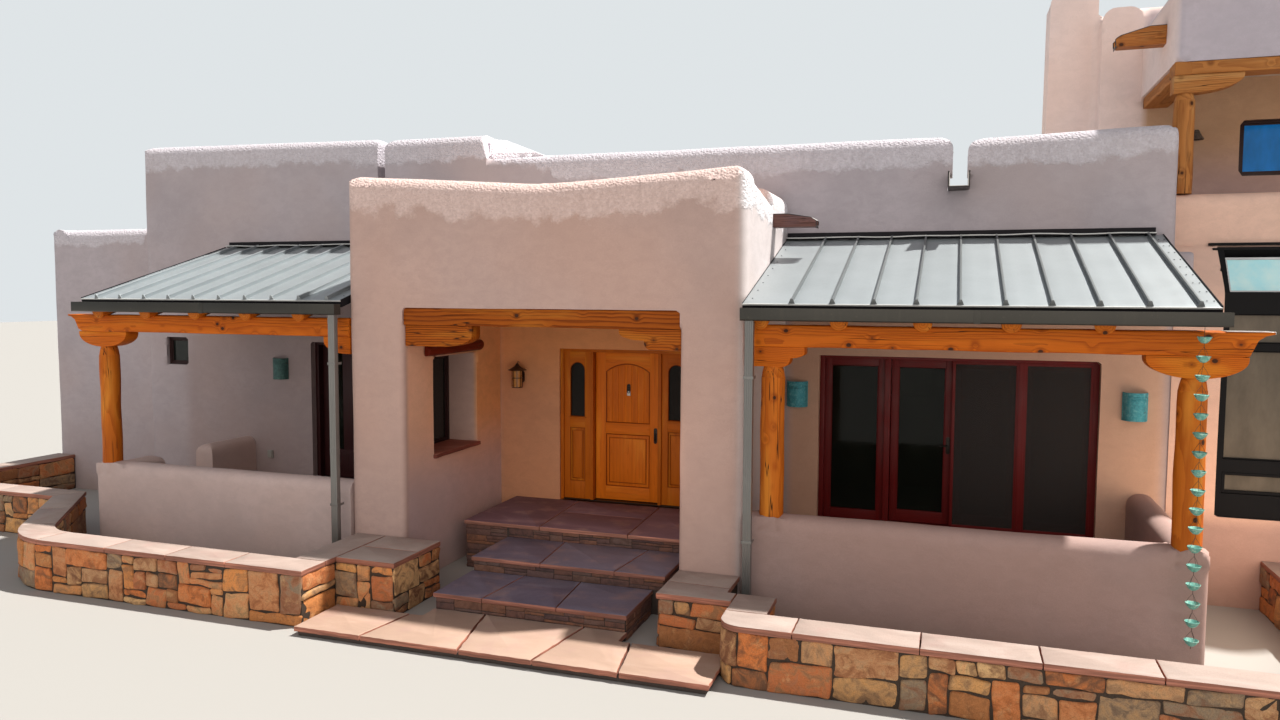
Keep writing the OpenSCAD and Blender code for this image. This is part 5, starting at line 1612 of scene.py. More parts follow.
@dataclass
class Rainwater:
    """Gutters, downspouts, the bent diverter and the rain chain."""

    gutter: SheetMetal = SheetMetal("gutter_sheet", "gutter_metal", (0.054, 0.052, 0.045), (0.2, 0.17, 0.13))
    pipe: SheetMetal = SheetMetal("pipe_sheet", "gutter_metal", (0.215, 0.215, 0.208), (0.3, 0.26, 0.21))
    patina: Patina = Patina("green_cups", "patina_metal", (0.16, 0.44, 0.38), (0.5, 0.66, 0.55),
                            (0.2, 0.13, 0.07))
    wire: SheetMetal = SheetMetal("chain_wire", "patina_metal", (0.045, 0.038, 0.032), (0.12, 0.13, 0.1))
    y: Span = (-2.67, -2.55)
    z: Span = (3.176, 3.3)
    runs: tuple[Span, ...] = ((-6.12, -2.122), (2.602, 6.82))
    pipes: tuple[float, ...] = (-2.19, 2.69)
    chain: Flat = (6.62, -2.61)
    cups: int = 17
    cup_step: float = 0.165

    def build(self) -> None:
        """Builds the rainwater goods."""
        metal = Shape(31)
        for run in self.runs:
            self._gutter(metal, run)
        metal.make("box_gutters", self.gutter, "gutters")
        pipes = Shape(32)
        for x in self.pipes:
            self._downspout(pipes, x)
        pipes.make("downspouts", self.pipe, "gutters")
        self._chain()

    def _gutter(self, metal: Shape, run: Span) -> None:
        """Adds one box gutter, with its rolled lip, end caps and hangers.

        Args:
            metal: Shape that it is added to.
            run: Its left and right end.
        """
        (y0, y1), (z0, z1), t = self.y, self.z, 0.005
        shell = [(y0 + 0.012, z0), (y1, z0), (y1, z1), (y1 - t, z1), (y1 - t, z0 + t), (y0 + 0.014, z0 + t),
                 (y0 + t, z0 + 0.016), (y0 + t, z1 - 0.006), (y0 + 0.016, z1 - 0.006), (y0 + 0.016, z1),
                 (y0, z1), (y0, z0 + 0.012)]
        joint = run[0] + (run[1] - run[0]) * 0.52
        for a, b in ((run[0], joint), (joint + 0.001, run[1])):
            metal.prism(shell, Axis.X, (a, b), 0.0012)
        metal.box((joint - 0.03, y0 - 0.002, z0 - 0.002), (joint + 0.03, y0 + 0.004, z1 - 0.004), 0.001)
        for x in run:
            side = 0.004 if x == run[0] else -0.004
            metal.box((min(x, x + side), y0 + 0.001, z0 + 0.001),
                      (max(x, x + side), y1 - 0.001, z1 - 0.001), 0.001)
        for i in range(6):
            x = run[0] + 0.35 + i * (run[1] - run[0] - 0.7) / 5
            metal.box((x - 0.012, y0 + 0.002, z1 - 0.01), (x + 0.012, y1, z1 - 0.006), 0.001, 0.05)

    def _downspout(self, metal: Shape, x: float) -> None:
        """Adds a ribbed rectangular downspout with two straps and a shoe.

        Args:
            metal: Shape that it is added to.
            x: Its middle.
        """
        y0, y1 = self.y[0] + 0.022, self.y[1] - 0.022
        front = [(x - 0.042 + 0.084 * i / 8, y0 + (0.0 if i % 2 else 0.005)) for i in range(9)]
        back = [(x + 0.042 - 0.084 * i / 8, y1 - (0.0 if i % 2 else 0.005)) for i in range(9)]
        ring = [*front, (x + 0.044, y0 + 0.012), (x + 0.044, y1 - 0.012), *back,
                (x - 0.044, y1 - 0.012), (x - 0.044, y0 + 0.012)]
        metal.prism(ring, Axis.Z, (0.012, self.z[0] + 0.004), 0.0)
        grown = [((u - x) * 1.035 + x, (v - (y0 + y1) / 2) * 1.04 + (y0 + y1) / 2) for u, v in ring]
        for z in (0.0, 1.55, self.z[0] - 0.1):
            metal.prism(grown, Axis.Z, (z, z + (0.1 if z == 0.0 else 0.075)), 0.0)
        for z in (0.95, 2.6):
            metal.box((x - 0.052, y0 - 0.003, z), (x + 0.052, y0 + 0.004, z + 0.028), 0.001)
            metal.box((x - 0.052, y0, z), (x - 0.047, y1 + 0.045, z + 0.028), 0.001)
            metal.box((x + 0.047, y0, z), (x + 0.052, y1 + 0.045, z + 0.028), 0.001)

    def _chain(self) -> None:
        """The rain chain: flared cups on pairs of thin wires."""
        cups, wires = Shape(33), Shape(34)
        x, y = self.chain
        top = self.z[0]
        for i in range(1, self.cups + 1):
            z = top - i * self.cup_step + 0.02
            lean = self._lean(z)
            wall = [(0.007, 0.004), (0.022, 0.008), (0.043, 0.028), (0.056, 0.052), (0.06, 0.0585),
                    (0.058, 0.061), (0.053, 0.055), (0.04, 0.033), (0.02, 0.013), (0.007, 0.009)]
            start = len(cups.verts)
            cups.lathe(wall, (x + lean[0], y + lean[1], z), 14)
            for v in cups.verts[start:]:
                v.z += (v.x - x) * cups.rng.uniform(-0.1, 0.1) * 0.4
            if i < self.cups:
                self._wires(wires, Vector((x + lean[0], y + lean[1], z)), i)
        wires.tube([(x, y, top + 0.002), (x, y, top - 0.1)], 0.002, 6)
        wires.tube([(x, y, top - self.cups * self.cup_step + 0.03), (x, y, top - self.cups * self.cup_step)],
                   0.0022, 6)
        cups.make("rain_cups", self.patina, "rain_chain", crease=50)
        wires.make("rain_wires", self.wire, "rain_chain")

    @staticmethod
    def _lean(z: float) -> Flat:
        """Small sideways wander of the chain at a height."""
        return (0.003 * math.sin(z * 4.1), 0.003 * math.sin(z * 3.3 + 1.0))

    def _wires(self, wires: Shape, cup: Vector, i: int) -> None:
        """Adds the wires from the tip of one cup to the rim of the next.

        Args:
            wires: Shape that they are added to.
            cup: Foot of the upper cup.
            i: Its number from the top.
        """
        tip = cup + Vector((0, 0, 0.006))
        below = cup - Vector((0, 0, self.cup_step))
        turn = i * 1.1
        knot = tip - Vector((0, 0, 0.03))
        wires.tube([tip, knot], 0.002, 6)
        for k in range(3):
            a = turn + k * math.tau / 3
            rim = below + Vector((0.05 * math.cos(a), 0.05 * math.sin(a), 0.058))
            wires.tube([knot, (knot + rim) / 2 + Vector((0.004 * math.cos(a), 0.004 * math.sin(a), 0)), rim],
                       0.0016, 5)


@dataclass
class Canales:
    """Spouts that drain the flat roofs through the walls."""

    wood: Timber = Timber("canale_pine", "canale_metal", (0.5, 0.185, 0.045), (0.22, 0.06, 0.016))
    weathered: Timber = Timber("canale_grey", "canale_metal", (0.175, 0.085, 0.072), (0.08, 0.04, 0.036))
    metal: SheetMetal = SheetMetal("canale_rim", "canale_metal", (0.035, 0.03, 0.03))
    lining: SheetMetal = SheetMetal("canale_lining", "canale_metal", (0.62, 0.6, 0.57))
    wall: float = 0.02

    def build(self) -> None:
        """Builds the three canales."""
        self._side("entry", Vector((2.6, -0.85, 4.2)), Side.RIGHT, 0.63, 0.49, 0.15, self.weathered)
        self._side("wing", Vector((6.9, 1.13, 6.42)), Side.LEFT, 0.38, 0.54, 0.22, self.wood)
        self._front()

    def _side(self, name: str, root: Vector, side: Side, inside: float, length: float, h: float,
              wood: Timber) -> None:
        """Builds a tapered spout with timber sides, a metal rim and a pale floor.

        Args:
            name: What it belongs to.
            root: Middle of its underside at the face of the wall.
            side: Way that it points.
            inside: Length inside the wall.
            length: Length in front of the wall.
            h: Height at the wall.
            wood: Finish of its sides.
        """
        tip = 0.4 * h
        bulge = [(length - 0.012 * i, tip + 0.013 * i ** 0.75) for i in range(6)]
        profile = [(-inside, 0.001), (length - 0.035, 0.001), (length - 0.008, 0.014), *bulge,
                   (0.32 * length, h - 0.004), (-inside, h - 0.004)]
        boards, rim = Shape(41), Shape(42)
        for y in (-0.0985, 0.0985 - self.wall):
            flat = [(root.x + side.value * u, root.z + v) for u, v in profile]
            boards.prism(flat, Axis.Y, (root.y + y, root.y + y + self.wall), 0.002, along=ALONG)
        lo, hi = sorted((root.x - side.value * inside, root.x + side.value * (length - 0.02)))
        boards.box((lo, root.y - 0.08, root.z + 0.001), (hi, root.y + 0.08, root.z + self.wall), 0.002)
        boards.make(name + "_canale_boards", wood, "canales")
        edge = [(-inside + 0.35 * inside, h - 0.004), (0.32 * length, h - 0.004), *bulge[::-1],
                (length - 0.003, 0.022)]
        for y in (-0.089, 0.089):
            path = [Vector((root.x + side.value * u, root.y + y, root.z + v + 0.002)) for u, v in edge]
            rim.tube(path, 0.0085, 6)
        lip = root.x + side.value * (length - 0.006)
        rim.box((min(lip, lip + side.value * 0.008), root.y - 0.094, root.z - 0.012),
                (max(lip, lip + side.value * 0.008), root.y + 0.094, root.z + 0.02), 0.003)
        rim.make(name + "_canale_rim", self.metal, "canales")
        lined = Shape(43)
        lined.box((lo, root.y - 0.077, root.z + self.wall),
                  (hi, root.y + 0.077, root.z + self.wall + 0.004), 0.001, 0.1, 0.0012)
        lined.make(name + "_canale_lining", self.lining, "canales")

    def _front(self) -> None:
        """The metal trough under the notch in the front parapet."""
        x, y, z0, z1 = 4.61, (-0.348, 0.348), 4.661, 4.839
        trough = [(x - 0.119, z0), (x + 0.119, z0), (x + 0.119, z1), (x + 0.107, z1), (x + 0.107, z0 + 0.012),
                  (x - 0.107, z0 + 0.012), (x - 0.107, z1), (x - 0.119, z1)]
        shell = Shape(44)
        shell.prism(trough, Axis.Y, y, 0.0025)
        for side in (-0.113, 0.113):
            shell.tube([(x + side, y[0], z1 - 0.002), (x + side, 0.2, z1 - 0.002)], 0.01, 8)
        shell.make("main_canale_trough", self.metal, "canales")
        lined = Shape(45)
        inner = [(x - 0.106, z0 + 0.013), (x + 0.106, z0 + 0.013), (x + 0.106, z1 - 0.006),
                 (x + 0.101, z1 - 0.006), (x + 0.101, z0 + 0.018), (x - 0.101, z0 + 0.018),
                 (x - 0.101, z1 - 0.006), (x - 0.106, z1 - 0.006)]
        lined.prism(inner, Axis.Y, inset(y, 0.004), 0.0012)
        lined.make("main_canale_lining", self.lining, "canales")


# Doors and windows


@dataclass
class Joinery(Shape):
    """Boards, arched rails, panels and beads of a door or a window."""

    def board(self, x: Span, y: Span, z: Span, tone: float | None = None,
              r: float = 0.003) -> None:
        """Adds a board, its grain along its longest side.

        Args:
            x: Left and right side.
            y: Front and back.
            z: Bottom and top.
            tone: Tone of the finish.
            r: Radius of its edges.
        """
        sizes = (x[1] - x[0], y[1] - y[0], z[1] - z[0])
        way = Vector([1.0 if s == max(sizes) else 0.0 for s in sizes])
        self.box((x[0], y[0], z[0]), (x[1], y[1], z[1]), r, 1.4, along=way, tone=tone)

    def frame(self, x: Span, y: Span, z: Span, w: float | tuple[float, float, float, float],
              tone: float | None = None, r: float = 0.003) -> None:
        """Adds two uprights with two rails between them.

        Args:
            x: Left and right side.
            y: Front and back.
            z: Bottom and top.
            w: Widths of the left, right, bottom and top member, or one for all.
            tone: Tone of the finish.
            r: Radius of their edges.
        """
        left, right, low, high = (w,) * 4 if isinstance(w, (int, float)) else w
        self.board((x[0], x[0] + left), y, z, tone, r)
        self.board((x[1] - right, x[1]), y, z, tone, r)
        inside = (x[0] + left - 0.0005, x[1] - right + 0.0005)
        self.board(inside, inset(y, 0.0006), (z[0], z[0] + low), tone, r)
        self.board(inside, inset(y, 0.0006), (z[1] - high, z[1]), tone, r)

    def arched_rail(self, x: Span, y: Span, top: float, light: Span, rise: float,
                    spring: float) -> None:
        """Adds a top rail whose underside is an arch over a light.

        Args:
            x: Left and right end of the rail.
            y: Front and back.
            top: Height of its top.
            light: Left and right side of the light.
            rise: Height of the arch.
            spring: Height at which the arch starts.
        """
        curve = arched(light, (spring - 0.5, spring + rise), rise, 14)[2:]
        ring = [(x[0], spring), *curve[::-1], (x[1], spring), (x[1], top), (x[0], top)]
        self.prism(ring, Axis.Y, y, 0.002, along=ALONG)

    def planks(self, x: Span, y: Span, z: Span, tones: Sequence[float]) -> None:
        """Adds upright planks with grooves between them, one for each tone.

        Args:
            x: Left and right side.
            y: Front and back.
            z: Bottom and top.
            tones: Tone of each plank.
        """
        w = (x[1] - x[0]) / len(tones)
        for i, tone in enumerate(tones):
            self.board((x[0] + i * w + 0.0004, x[0] + (i + 1) * w - 0.0004), y, z, tone, 0.0045)

    def bead(self, outline: Sequence[Flat], y: float, r: float = 0.007) -> None:
        """Adds a round bead along a closed outline in x and z."""
        path = [Vector((u, y, v)) for u, v in outline]
        self.tube([*path, path[0]], r, 8, tone=0.8)

    def sheet(self, outline: Sequence[Flat], y: Span) -> None:
        """Adds a pane with the given outline."""
        self.prism(outline, Axis.Y, y)


def rectangle(x: Span, z: Span) -> list[Flat]:
    """Corners of a rectangle, anticlockwise."""
    return [(x[0], z[0]), (x[1], z[0]), (x[1], z[1]), (x[0], z[1])]


@dataclass
class Ironmongery:
    """Hinges and handles."""

    finish: SheetMetal = SheetMetal("dark_bronze", "bronze_metal", (0.03, 0.024, 0.02), (0.1, 0.08, 0.06),
                                    0.7, 0.38)
    hinge_rows: tuple[float, ...] = (0.83, 1.58, 2.32)

    def hinges(self, metal: Shape, x: float, y: float, side: Side = Side.LEFT) -> None:
        """Adds three hinge knuckles with their leaves on a frame.

        Args:
            metal: Shape that they are added to.
            x: Middle of the knuckles.
            y: Middle of the knuckles, in front of the inside face.
            side: End of the leaf that is hinged.
        """
        for z in self.hinge_rows:
            knuckle = [(0.0005, 0.001), (0.007, 0.001), (0.0074, 0.004), (0.0074, 0.028), (0.0066, 0.03),
                       (0.0074, 0.032), (0.0074, 0.058), (0.0066, 0.06), (0.0074, 0.062), (0.0074, 0.086),
                       (0.007, 0.089), (0.0005, 0.089)]
            metal.lathe(knuckle, (x, y, z), 12)
            lo, hi = sorted((x + side.value * 0.003, x + side.value * 0.028))
            metal.box((lo, y - 0.0088, z), (hi, y - 0.0045, z + 0.09), 0.0012)

    def handle(self, metal: Shape, x: float, y: Span, z: float, lever: float = 0.0) -> None:
        """Adds plates and pulls on both faces of a leaf.

        Args:
            metal: Shape that they are added to.
            x: Middle of the plates.
            y: Front and back face of the leaf.
            z: Middle of the plates.
            lever: Length of a lever towards the hinge, or 0 for an upright pull.
        """
        half, tall = 0.024, 0.106
        plate = [(x + u, z + v) for u, v in (*arc(0, tall - half, half, 0, 180, 8),
                                             *arc(0, half - tall, half, 180, 360, 8))]
        for face, way in ((y[0], -1.0), (y[1], 1.0)):
            metal.prism(plate, Axis.Y, tuple(sorted((face - way * 0.001, face + way * 0.0065))), 0.0015)
            out = face + way * 0.04
            if lever:
                path = [(x, face, z), (x, out, z), (x - 0.02, out, z), (x - lever, out, z - 0.004)]
            else:
                path = [(x, face, z + 0.03), (x, out - way * 0.008, z + 0.026), (x, out, z + 0.005),
                        (x, out, z - 0.045), (x, out - way * 0.01, z - 0.066), (x, face, z - 0.07)]
            metal.tube(path, 0.0085, 10)
            metal.lathe([(0.001, 0), (0.013, 0), (0.013, 0.01), (0.001, 0.012)],
                        (x, face + way * 0.004, z + 0.062), 14)


@dataclass
class FrontEntrance:
    """Front door with its frame and two sidelights."""

    wood: Timber = Timber("door_pine", "door_wood", (0.78, 0.2, 0.012), (0.38, 0.07, 0.004),
                          rings=20.0, knots=0.0, checks=0.0, rough=0.34, figure=0.4)
    # A darker copy of the door's pine for the beads: a painted shade of the shadow lines along them.
    moulding_painted_shade: Timber = Timber("door_moulding_painted_shade", "door_wood", (0.36, 0.075, 0.006), (0.2, 0.035, 0.003),
                              rings=20.0, knots=0.0, checks=0.0, rough=0.34)
    jamb: Timber = Timber("jamb_pine", "door_wood", (0.58, 0.155, 0.01), (0.28, 0.052, 0.003),
                          rings=20.0, knots=0.0, checks=0.0, rough=0.36, figure=0.5)
    glass: Glass = Glass("sidelight_glass", "pane_glass", (0.01, 0.007, 0.005), 0.1, 0.1)
    pale: SheetMetal = SheetMetal("brushed_plate", "bronze_metal", (0.62, 0.6, 0.58), (0.5, 0.5, 0.5),
                                  0.3, 0.35)
    iron: Ironmongery = field(default_factory=Ironmongery)
    leaf_x: Span = (0.0, 0.908)
    leaf_y: Span = (0.125, 0.17)
    leaf_z: Span = (0.626, 2.634)
    panel_x: Span = (0.145, 0.77)
    frame_x: Span = (-0.484, 1.398)
    frame_y: Span = (0.03, 0.17)
    frame_z: Span = (0.6, 2.68)

    def build(self) -> None:
        """Builds the door, its frame and its metalwork."""
        self._leaf().make("front_door_leaf", self.wood, "front_door", Body.FRONT)
        self._frame().make("front_door_surround", self.jamb, "front_door_frame")
        metal, sill = Shape(52), Shape(53)
        self.iron.handle(metal, 0.854, self.leaf_y, 1.53)
        self._knocker(metal)
        metal.make("front_door_handle", self.iron.finish, "front_door", Body.FRONT)
        self.iron.hinges(sill, -0.003, 0.178)
        sill.box((-0.44, 0.02, 0.604), (1.354, 0.168, 0.6185), 0.004, 0.3)
        sill.make("front_door_threshold", self.iron.finish, "front_door_frame")
        panes = Joinery(54)
        for x in ((-0.358, -0.132), (1.04, 1.272)):
            panes.sheet(arched((x[0], x[1]), (1.747, 2.503), 0.112, 14), (0.086, 0.092))
        panes.make("sidelight_panes", self.glass, "window_glass")

    def _leaf(self) -> Joinery:
        """Stiles, rails and planked panels of the door.

        Returns:
            The woodwork.
        """
        wood, y, (z0, z1) = Joinery(51), self.leaf_y, self.leaf_z
        x0, x1 = self.panel_x
        wood.board((self.leaf_x[0], x0), y, (z0, z1), 0.3)
        wood.board((x1, self.leaf_x[1]), y, (z0, z1), 0.25)
        rail_y = inset(y, 0.0006)
        wood.board((x0 - 0.0005, x1 + 0.0005), rail_y, (z0, 0.812), 0.4)
        wood.board((x0 - 0.0005, x1 + 0.0005), rail_y, (1.53, 1.68), 0.35)
        wood.arched_rail((x0 - 0.0005, x1 + 0.0005), rail_y, z1, (x0, x1), 0.11, 2.38)
        wood.planks((x0 - 0.006, x1 + 0.006), inset(y, 0.013), (1.67, 2.5),
                    (0.3, 1.0, 0.85, 0.0, 0.95, 0.15, 0.6))
        wood.board((x0 + 0.058, x1 - 0.058), inset(y, 0.003), (0.872, 1.47), 0.55, 0.006)
        wood.board((x0 - 0.004, x1 + 0.004), inset(y, 0.012), (0.806, 1.536), 0.75)
        trim = Joinery(57)
        for depth in inset(y, 0.005):
            trim.bead(arched((x0 + 0.006, x1 - 0.006), (1.686, 2.484), 0.108, 14), depth, 0.0085)
            trim.bead(rectangle((x0 + 0.006, x1 - 0.006), (0.818, 1.524)), depth, 0.0085)
            trim.bead(rectangle((x0 + 0.05, x1 - 0.05), (0.864, 1.478)),
                      depth + (0.004 if depth < 0.14 else -0.004), 0.005)
        trim.make("front_door_mouldings", self.moulding_painted_shade, body=Body.FRONT)
        return wood

    def _knocker(self, metal: Shape) -> None:
        """Adds a small knocker on the upper panel.

        Args:
            metal: Shape that it is added to.
        """
        x, y, z = 0.47, self.leaf_y[0] + 0.013, 2.105
        back = [*arc(x, z + 0.085, 0.026, 0, 180, 8), (x - 0.026, z - 0.05), (x + 0.026, z - 0.05)]
        metal.prism(back, Axis.Y, (y - 0.008, y + 0.001), 0.002)
        ring = [(x + 0.02 * math.cos(a), y - 0.016, z + 0.03 + 0.042 * math.sin(a))
                for a in (math.tau * i / 18 for i in range(19))]
        metal.tube(ring, 0.0052, 8)
        metal.box((x - 0.01, y - 0.022, z + 0.062), (x + 0.01, y - 0.006, z + 0.08), 0.004)
        plate = Shape(56)
        plate.box((x - 0.024, y - 0.0105, z - 0.048), (x + 0.024, y - 0.006, z + 0.012), 0.002)
        plate.make("knocker_plate", self.pale, body=Body.FRONT)

    def _frame(self) -> Joinery:
        """Jambs, head, the uprights beside the door and the two sidelights.

        Returns:
            The woodwork.
        """
        wood, y, z = Joinery(55), self.frame_y, self.frame_z
        wood.board((self.frame_x[0], self.frame_x[0] + 0.045), y, z, 0.75)
        wood.board((self.frame_x[1] - 0.045, self.frame_x[1]), y, z, 0.75)
        wood.board(inset(self.frame_x, 0.0445), y, (z[1] - 0.04, z[1]), 0.7)
        wood.board(inset(self.frame_x, 0.0445), (y[0] + 0.002, y[1]), (z[0], z[0] + 0.006), 0.9)
        for x in ((-0.051, -0.006), (0.914, 0.959)):
            wood.board(x, y, (z[0] + 0.006, z[1] - 0.0395), 0.9)
        trim = Joinery(58)
        for x0, x1 in ((-0.44, -0.05), (0.958, 1.354)):
            self._sidelight(wood, trim, x0, x1)
        trim.make("sidelight_mouldings", self.moulding_painted_shade)
        return wood

    @staticmethod
    def _sidelight(wood: Joinery, trim: Joinery, x0: float, x1: float) -> None:
        """Adds a sidelight between two sides: an arched light over a panel of grooved boards.

        Args:
            wood: Joinery that it is added to.
            trim: Joinery of its mouldings.
            x0: Left side.
            x1: Right side.
        """
        y = (0.06, 0.12)
        a, b = x0 + 0.085, x1 - 0.085
        wood.board((x0, a), y, (0.62, 2.64), 0.8)
        wood.board((b, x1), y, (0.62, 2.64), 0.7)
        inner = inset(y, 0.0006)
        wood.board((a - 0.0005, b + 0.0005), inner, (0.62, 0.86), 0.4)
        wood.board((a - 0.0005, b + 0.0005), inner, (1.6, 1.75), 0.4)
        wood.arched_rail((a - 0.0005, b + 0.0005), inner, 2.64, (a, b), 0.105, 2.395)
        wood.board((a + 0.04, b - 0.04), inset(y, 0.006), (0.905, 1.557), 0.6, 0.006)
        wood.board((a - 0.002, b + 0.002), inset(y, 0.016), (0.855, 1.605), 0.9)
        trim.bead(rectangle((a + 0.005, b - 0.005), (0.865, 1.595)), y[0] + 0.005, 0.007)
        trim.bead(rectangle((a + 0.034, b - 0.034), (0.899, 1.563)), y[0] + 0.008, 0.005)
        trim.bead(arched((a + 0.004, b - 0.004), (1.754, 2.496), 0.103, 14), y[0] + 0.01, 0.006)
        wood.board((a - 0.02, b + 0.02), (y[0] - 0.012, y[0] + 0.004), (1.733, 1.748), 0.8)


@dataclass(frozen=True)
class ScreenMesh(Finish):
    """Dark woven insect screen that can be seen through."""

    colour: Colour = (0.016, 0.013, 0.012)

    def write(self, g: Graph) -> None:
        """Writes a faint weave over a dark veil.

        Args:
            g: Nodes of the material.
        """
        weave = g.noise(g.place((600.0, 1.0, 600.0)), 1.0, 1)
        base = g.ramp(weave, (0.35, self.colour), (0.7, self.shade(2.0)))
        g.set(Base_Color=base, Roughness=g.span(weave, 0.3, 0.7, 0.55, 0.75), Alpha=0.62)


@dataclass
class RedDoors:
    """The side door of the left porch and the four patio panels, stained dark red."""

    red: Painted = Painted("red_stain", "red_wood", (0.135, 0.008, 0.008))
    dark: Painted = Painted("dark_stain", "red_wood", (0.04, 0.01, 0.011))
    glass: Glass = Glass("patio_glass", "pane_glass", (0.006, 0.008, 0.006), 0.16, 0.16)
    screen: ScreenMesh = ScreenMesh("insect_screen", "pane_glass")
    iron: Ironmongery = field(default_factory=Ironmongery)
    frame_y: Span = (0.1, 0.24)
    leaf_y: Span = (0.195, 0.24)
    leaf_z: Span = (0.626, 2.634)
    side_x: Span = (-4.55, -3.55)
    patio_x: Span = (3.025, 6.195)
    mullions: tuple[Span, Span] = ((3.8125, 3.8825), (5.3375, 5.4075))
    middle: float = 4.61

    def build(self) -> None:
        """Builds the doors."""
        self._side_door()
        self._patio_frame()
        self._patio_leaf("patio_leaf_left", Body.PATIO_LEFT, (3.8885, 4.607), 61)
        self._patio_leaf("patio_leaf_right", Body.PATIO_RIGHT, (4.613, 5.3315), 62)
        self._screens()

    def _outer(self, wood: Joinery, x: Span) -> None:
        """Adds jambs, head and sill around a door."""
        wood.frame(x, self.frame_y, (0.6, 2.68), (0.06, 0.06, 0.02, 0.04), 0.4)
        wood.board(inset(x, 0.055), (self.frame_y[0] + 0.002, self.frame_y[1] - 0.05), (0.616, 0.6225),
                   r=0.002)

    def _side_door(self) -> None:
        """The side door with two narrow lights, and its frame."""
        frame_wood, metal = Joinery(63), Shape(64)
        self._outer(frame_wood, self.side_x)
        frame_wood.make("side_door_surround", self.dark, "side_door_frame")
        self.iron.hinges(metal, -4.487, 0.248)
        metal.make("side_door_hinges", self.iron.finish, "side_door_frame")
        wood, panes, grip = Joinery(65), Joinery(66), Shape(67)
        x0, x1 = -4.484, -3.616
        wood.frame((x0, x1), self.leaf_y, self.leaf_z, (0.15, 0.15, 0.42, 0.09), 0.3)
        wood.board((x0 + 0.359, x0 + 0.509), (0.1956, 0.2394), (1.045, 2.545), 0.5)
        wood.planks((x0 + 0.17, x1 - 0.17), (0.192, 0.243), (0.7, 0.985), (0.4, 0.5, 0.45, 0.55))
        for a in (x0 + 0.15, x0 + 0.509):
            light = rectangle((a + 0.005, a + 0.204), (1.051, 2.539))
            wood.bead(light, self.leaf_y[0] + 0.006, 0.006)
            panes.sheet(rectangle((a - 0.004, a + 0.213), (1.04, 2.55)), (0.212, 0.22))
        wood.make("side_door_leaf", self.dark, "side_door", Body.SIDE)
        panes.make("side_door_panes", self.glass, "side_door", Body.SIDE)
        self.iron.handle(grip, -3.676, self.leaf_y, 1.6, 0.1)
        grip.make("side_door_handle", self.iron.finish, "side_door", Body.SIDE)

    def _patio_frame(self) -> None:
        """Frame of the patio doors, with the fixed panel at each end."""
        wood, panes, metal = Joinery(68), Joinery(69), Shape(70)
        self._outer(wood, self.patio_x)
        for x in self.mullions:
            wood.board(x, self.frame_y, (0.606, 2.6405), 0.3)
        for x in ((3.084, 3.8135), (5.4065, 6.136)):
            wood.frame(x, (0.15, 0.21), (0.619, 2.641), (0.08, 0.08, 0.121, 0.091), 0.45)
            light = inset(x, 0.08)
            wood.bead(rectangle(inset(light, 0.005), (0.745, 2.545)), 0.157, 0.006)
            panes.sheet(rectangle(inset(light, -0.004), (0.736, 2.554)), (0.177, 0.183))
        wood.make("patio_surround", self.red, "patio_door_frame")
        panes.make("patio_fixed_panes", self.glass, "window_glass")
        self.iron.hinges(metal, 3.8855, 0.248)
        self.iron.hinges(metal, 5.3345, 0.248, Side.RIGHT)
        metal.make("patio_hinges", self.iron.finish, "patio_door_frame")

    def _patio_leaf(self, name: str, body: Body, x: Span, seed: int) -> None:
        """Builds one of the two patio leaves.

        Args:
            name: Name of the leaf.
            body: CAD body that it rides on.
            x: Left and right side.
            seed: Seed of its random numbers.
        """
        wood, panes = Joinery(seed), Joinery(seed + 20)
        wood.frame(x, self.leaf_y, self.leaf_z, (0.085, 0.085, 0.14, 0.09), 0.35)
        light = inset(x, 0.085)
        for y in inset(self.leaf_y, 0.006):
            wood.bead(rectangle(inset(light, 0.005), (0.771, 2.539)), y, 0.006)
        panes.sheet(rectangle(inset(light, -0.004), (0.762, 2.548)), (0.214, 0.22))
        wood.make(name, self.red, body.value, body)
        panes.make(name + "_pane", self.glass, body.value, body)
        if body is Body.PATIO_LEFT:
            metal = Shape(seed + 40)
            self.iron.handle(metal, 4.565, self.leaf_y, 1.6, 0.1)
            metal.make(name + "_handle", self.iron.finish, body.value, body)

    def _screens(self) -> None:
        """Insect screens in front of the two right panels."""
        bars, mesh = Joinery(71), Joinery(72)
        for x in ((4.6, 5.345), (5.4, 6.142)):
            bars.frame(x, (0.108, 0.126), (0.622, 2.638), 0.034, 0.2)
            mesh.sheet(rectangle(inset(x, 0.03), (0.652, 2.608)), (0.1165, 0.1175))
        bars.make("screen_bars", self.red, "patio_door_frame")
        mesh.make("screen_mesh", self.screen, "patio_door_frame")


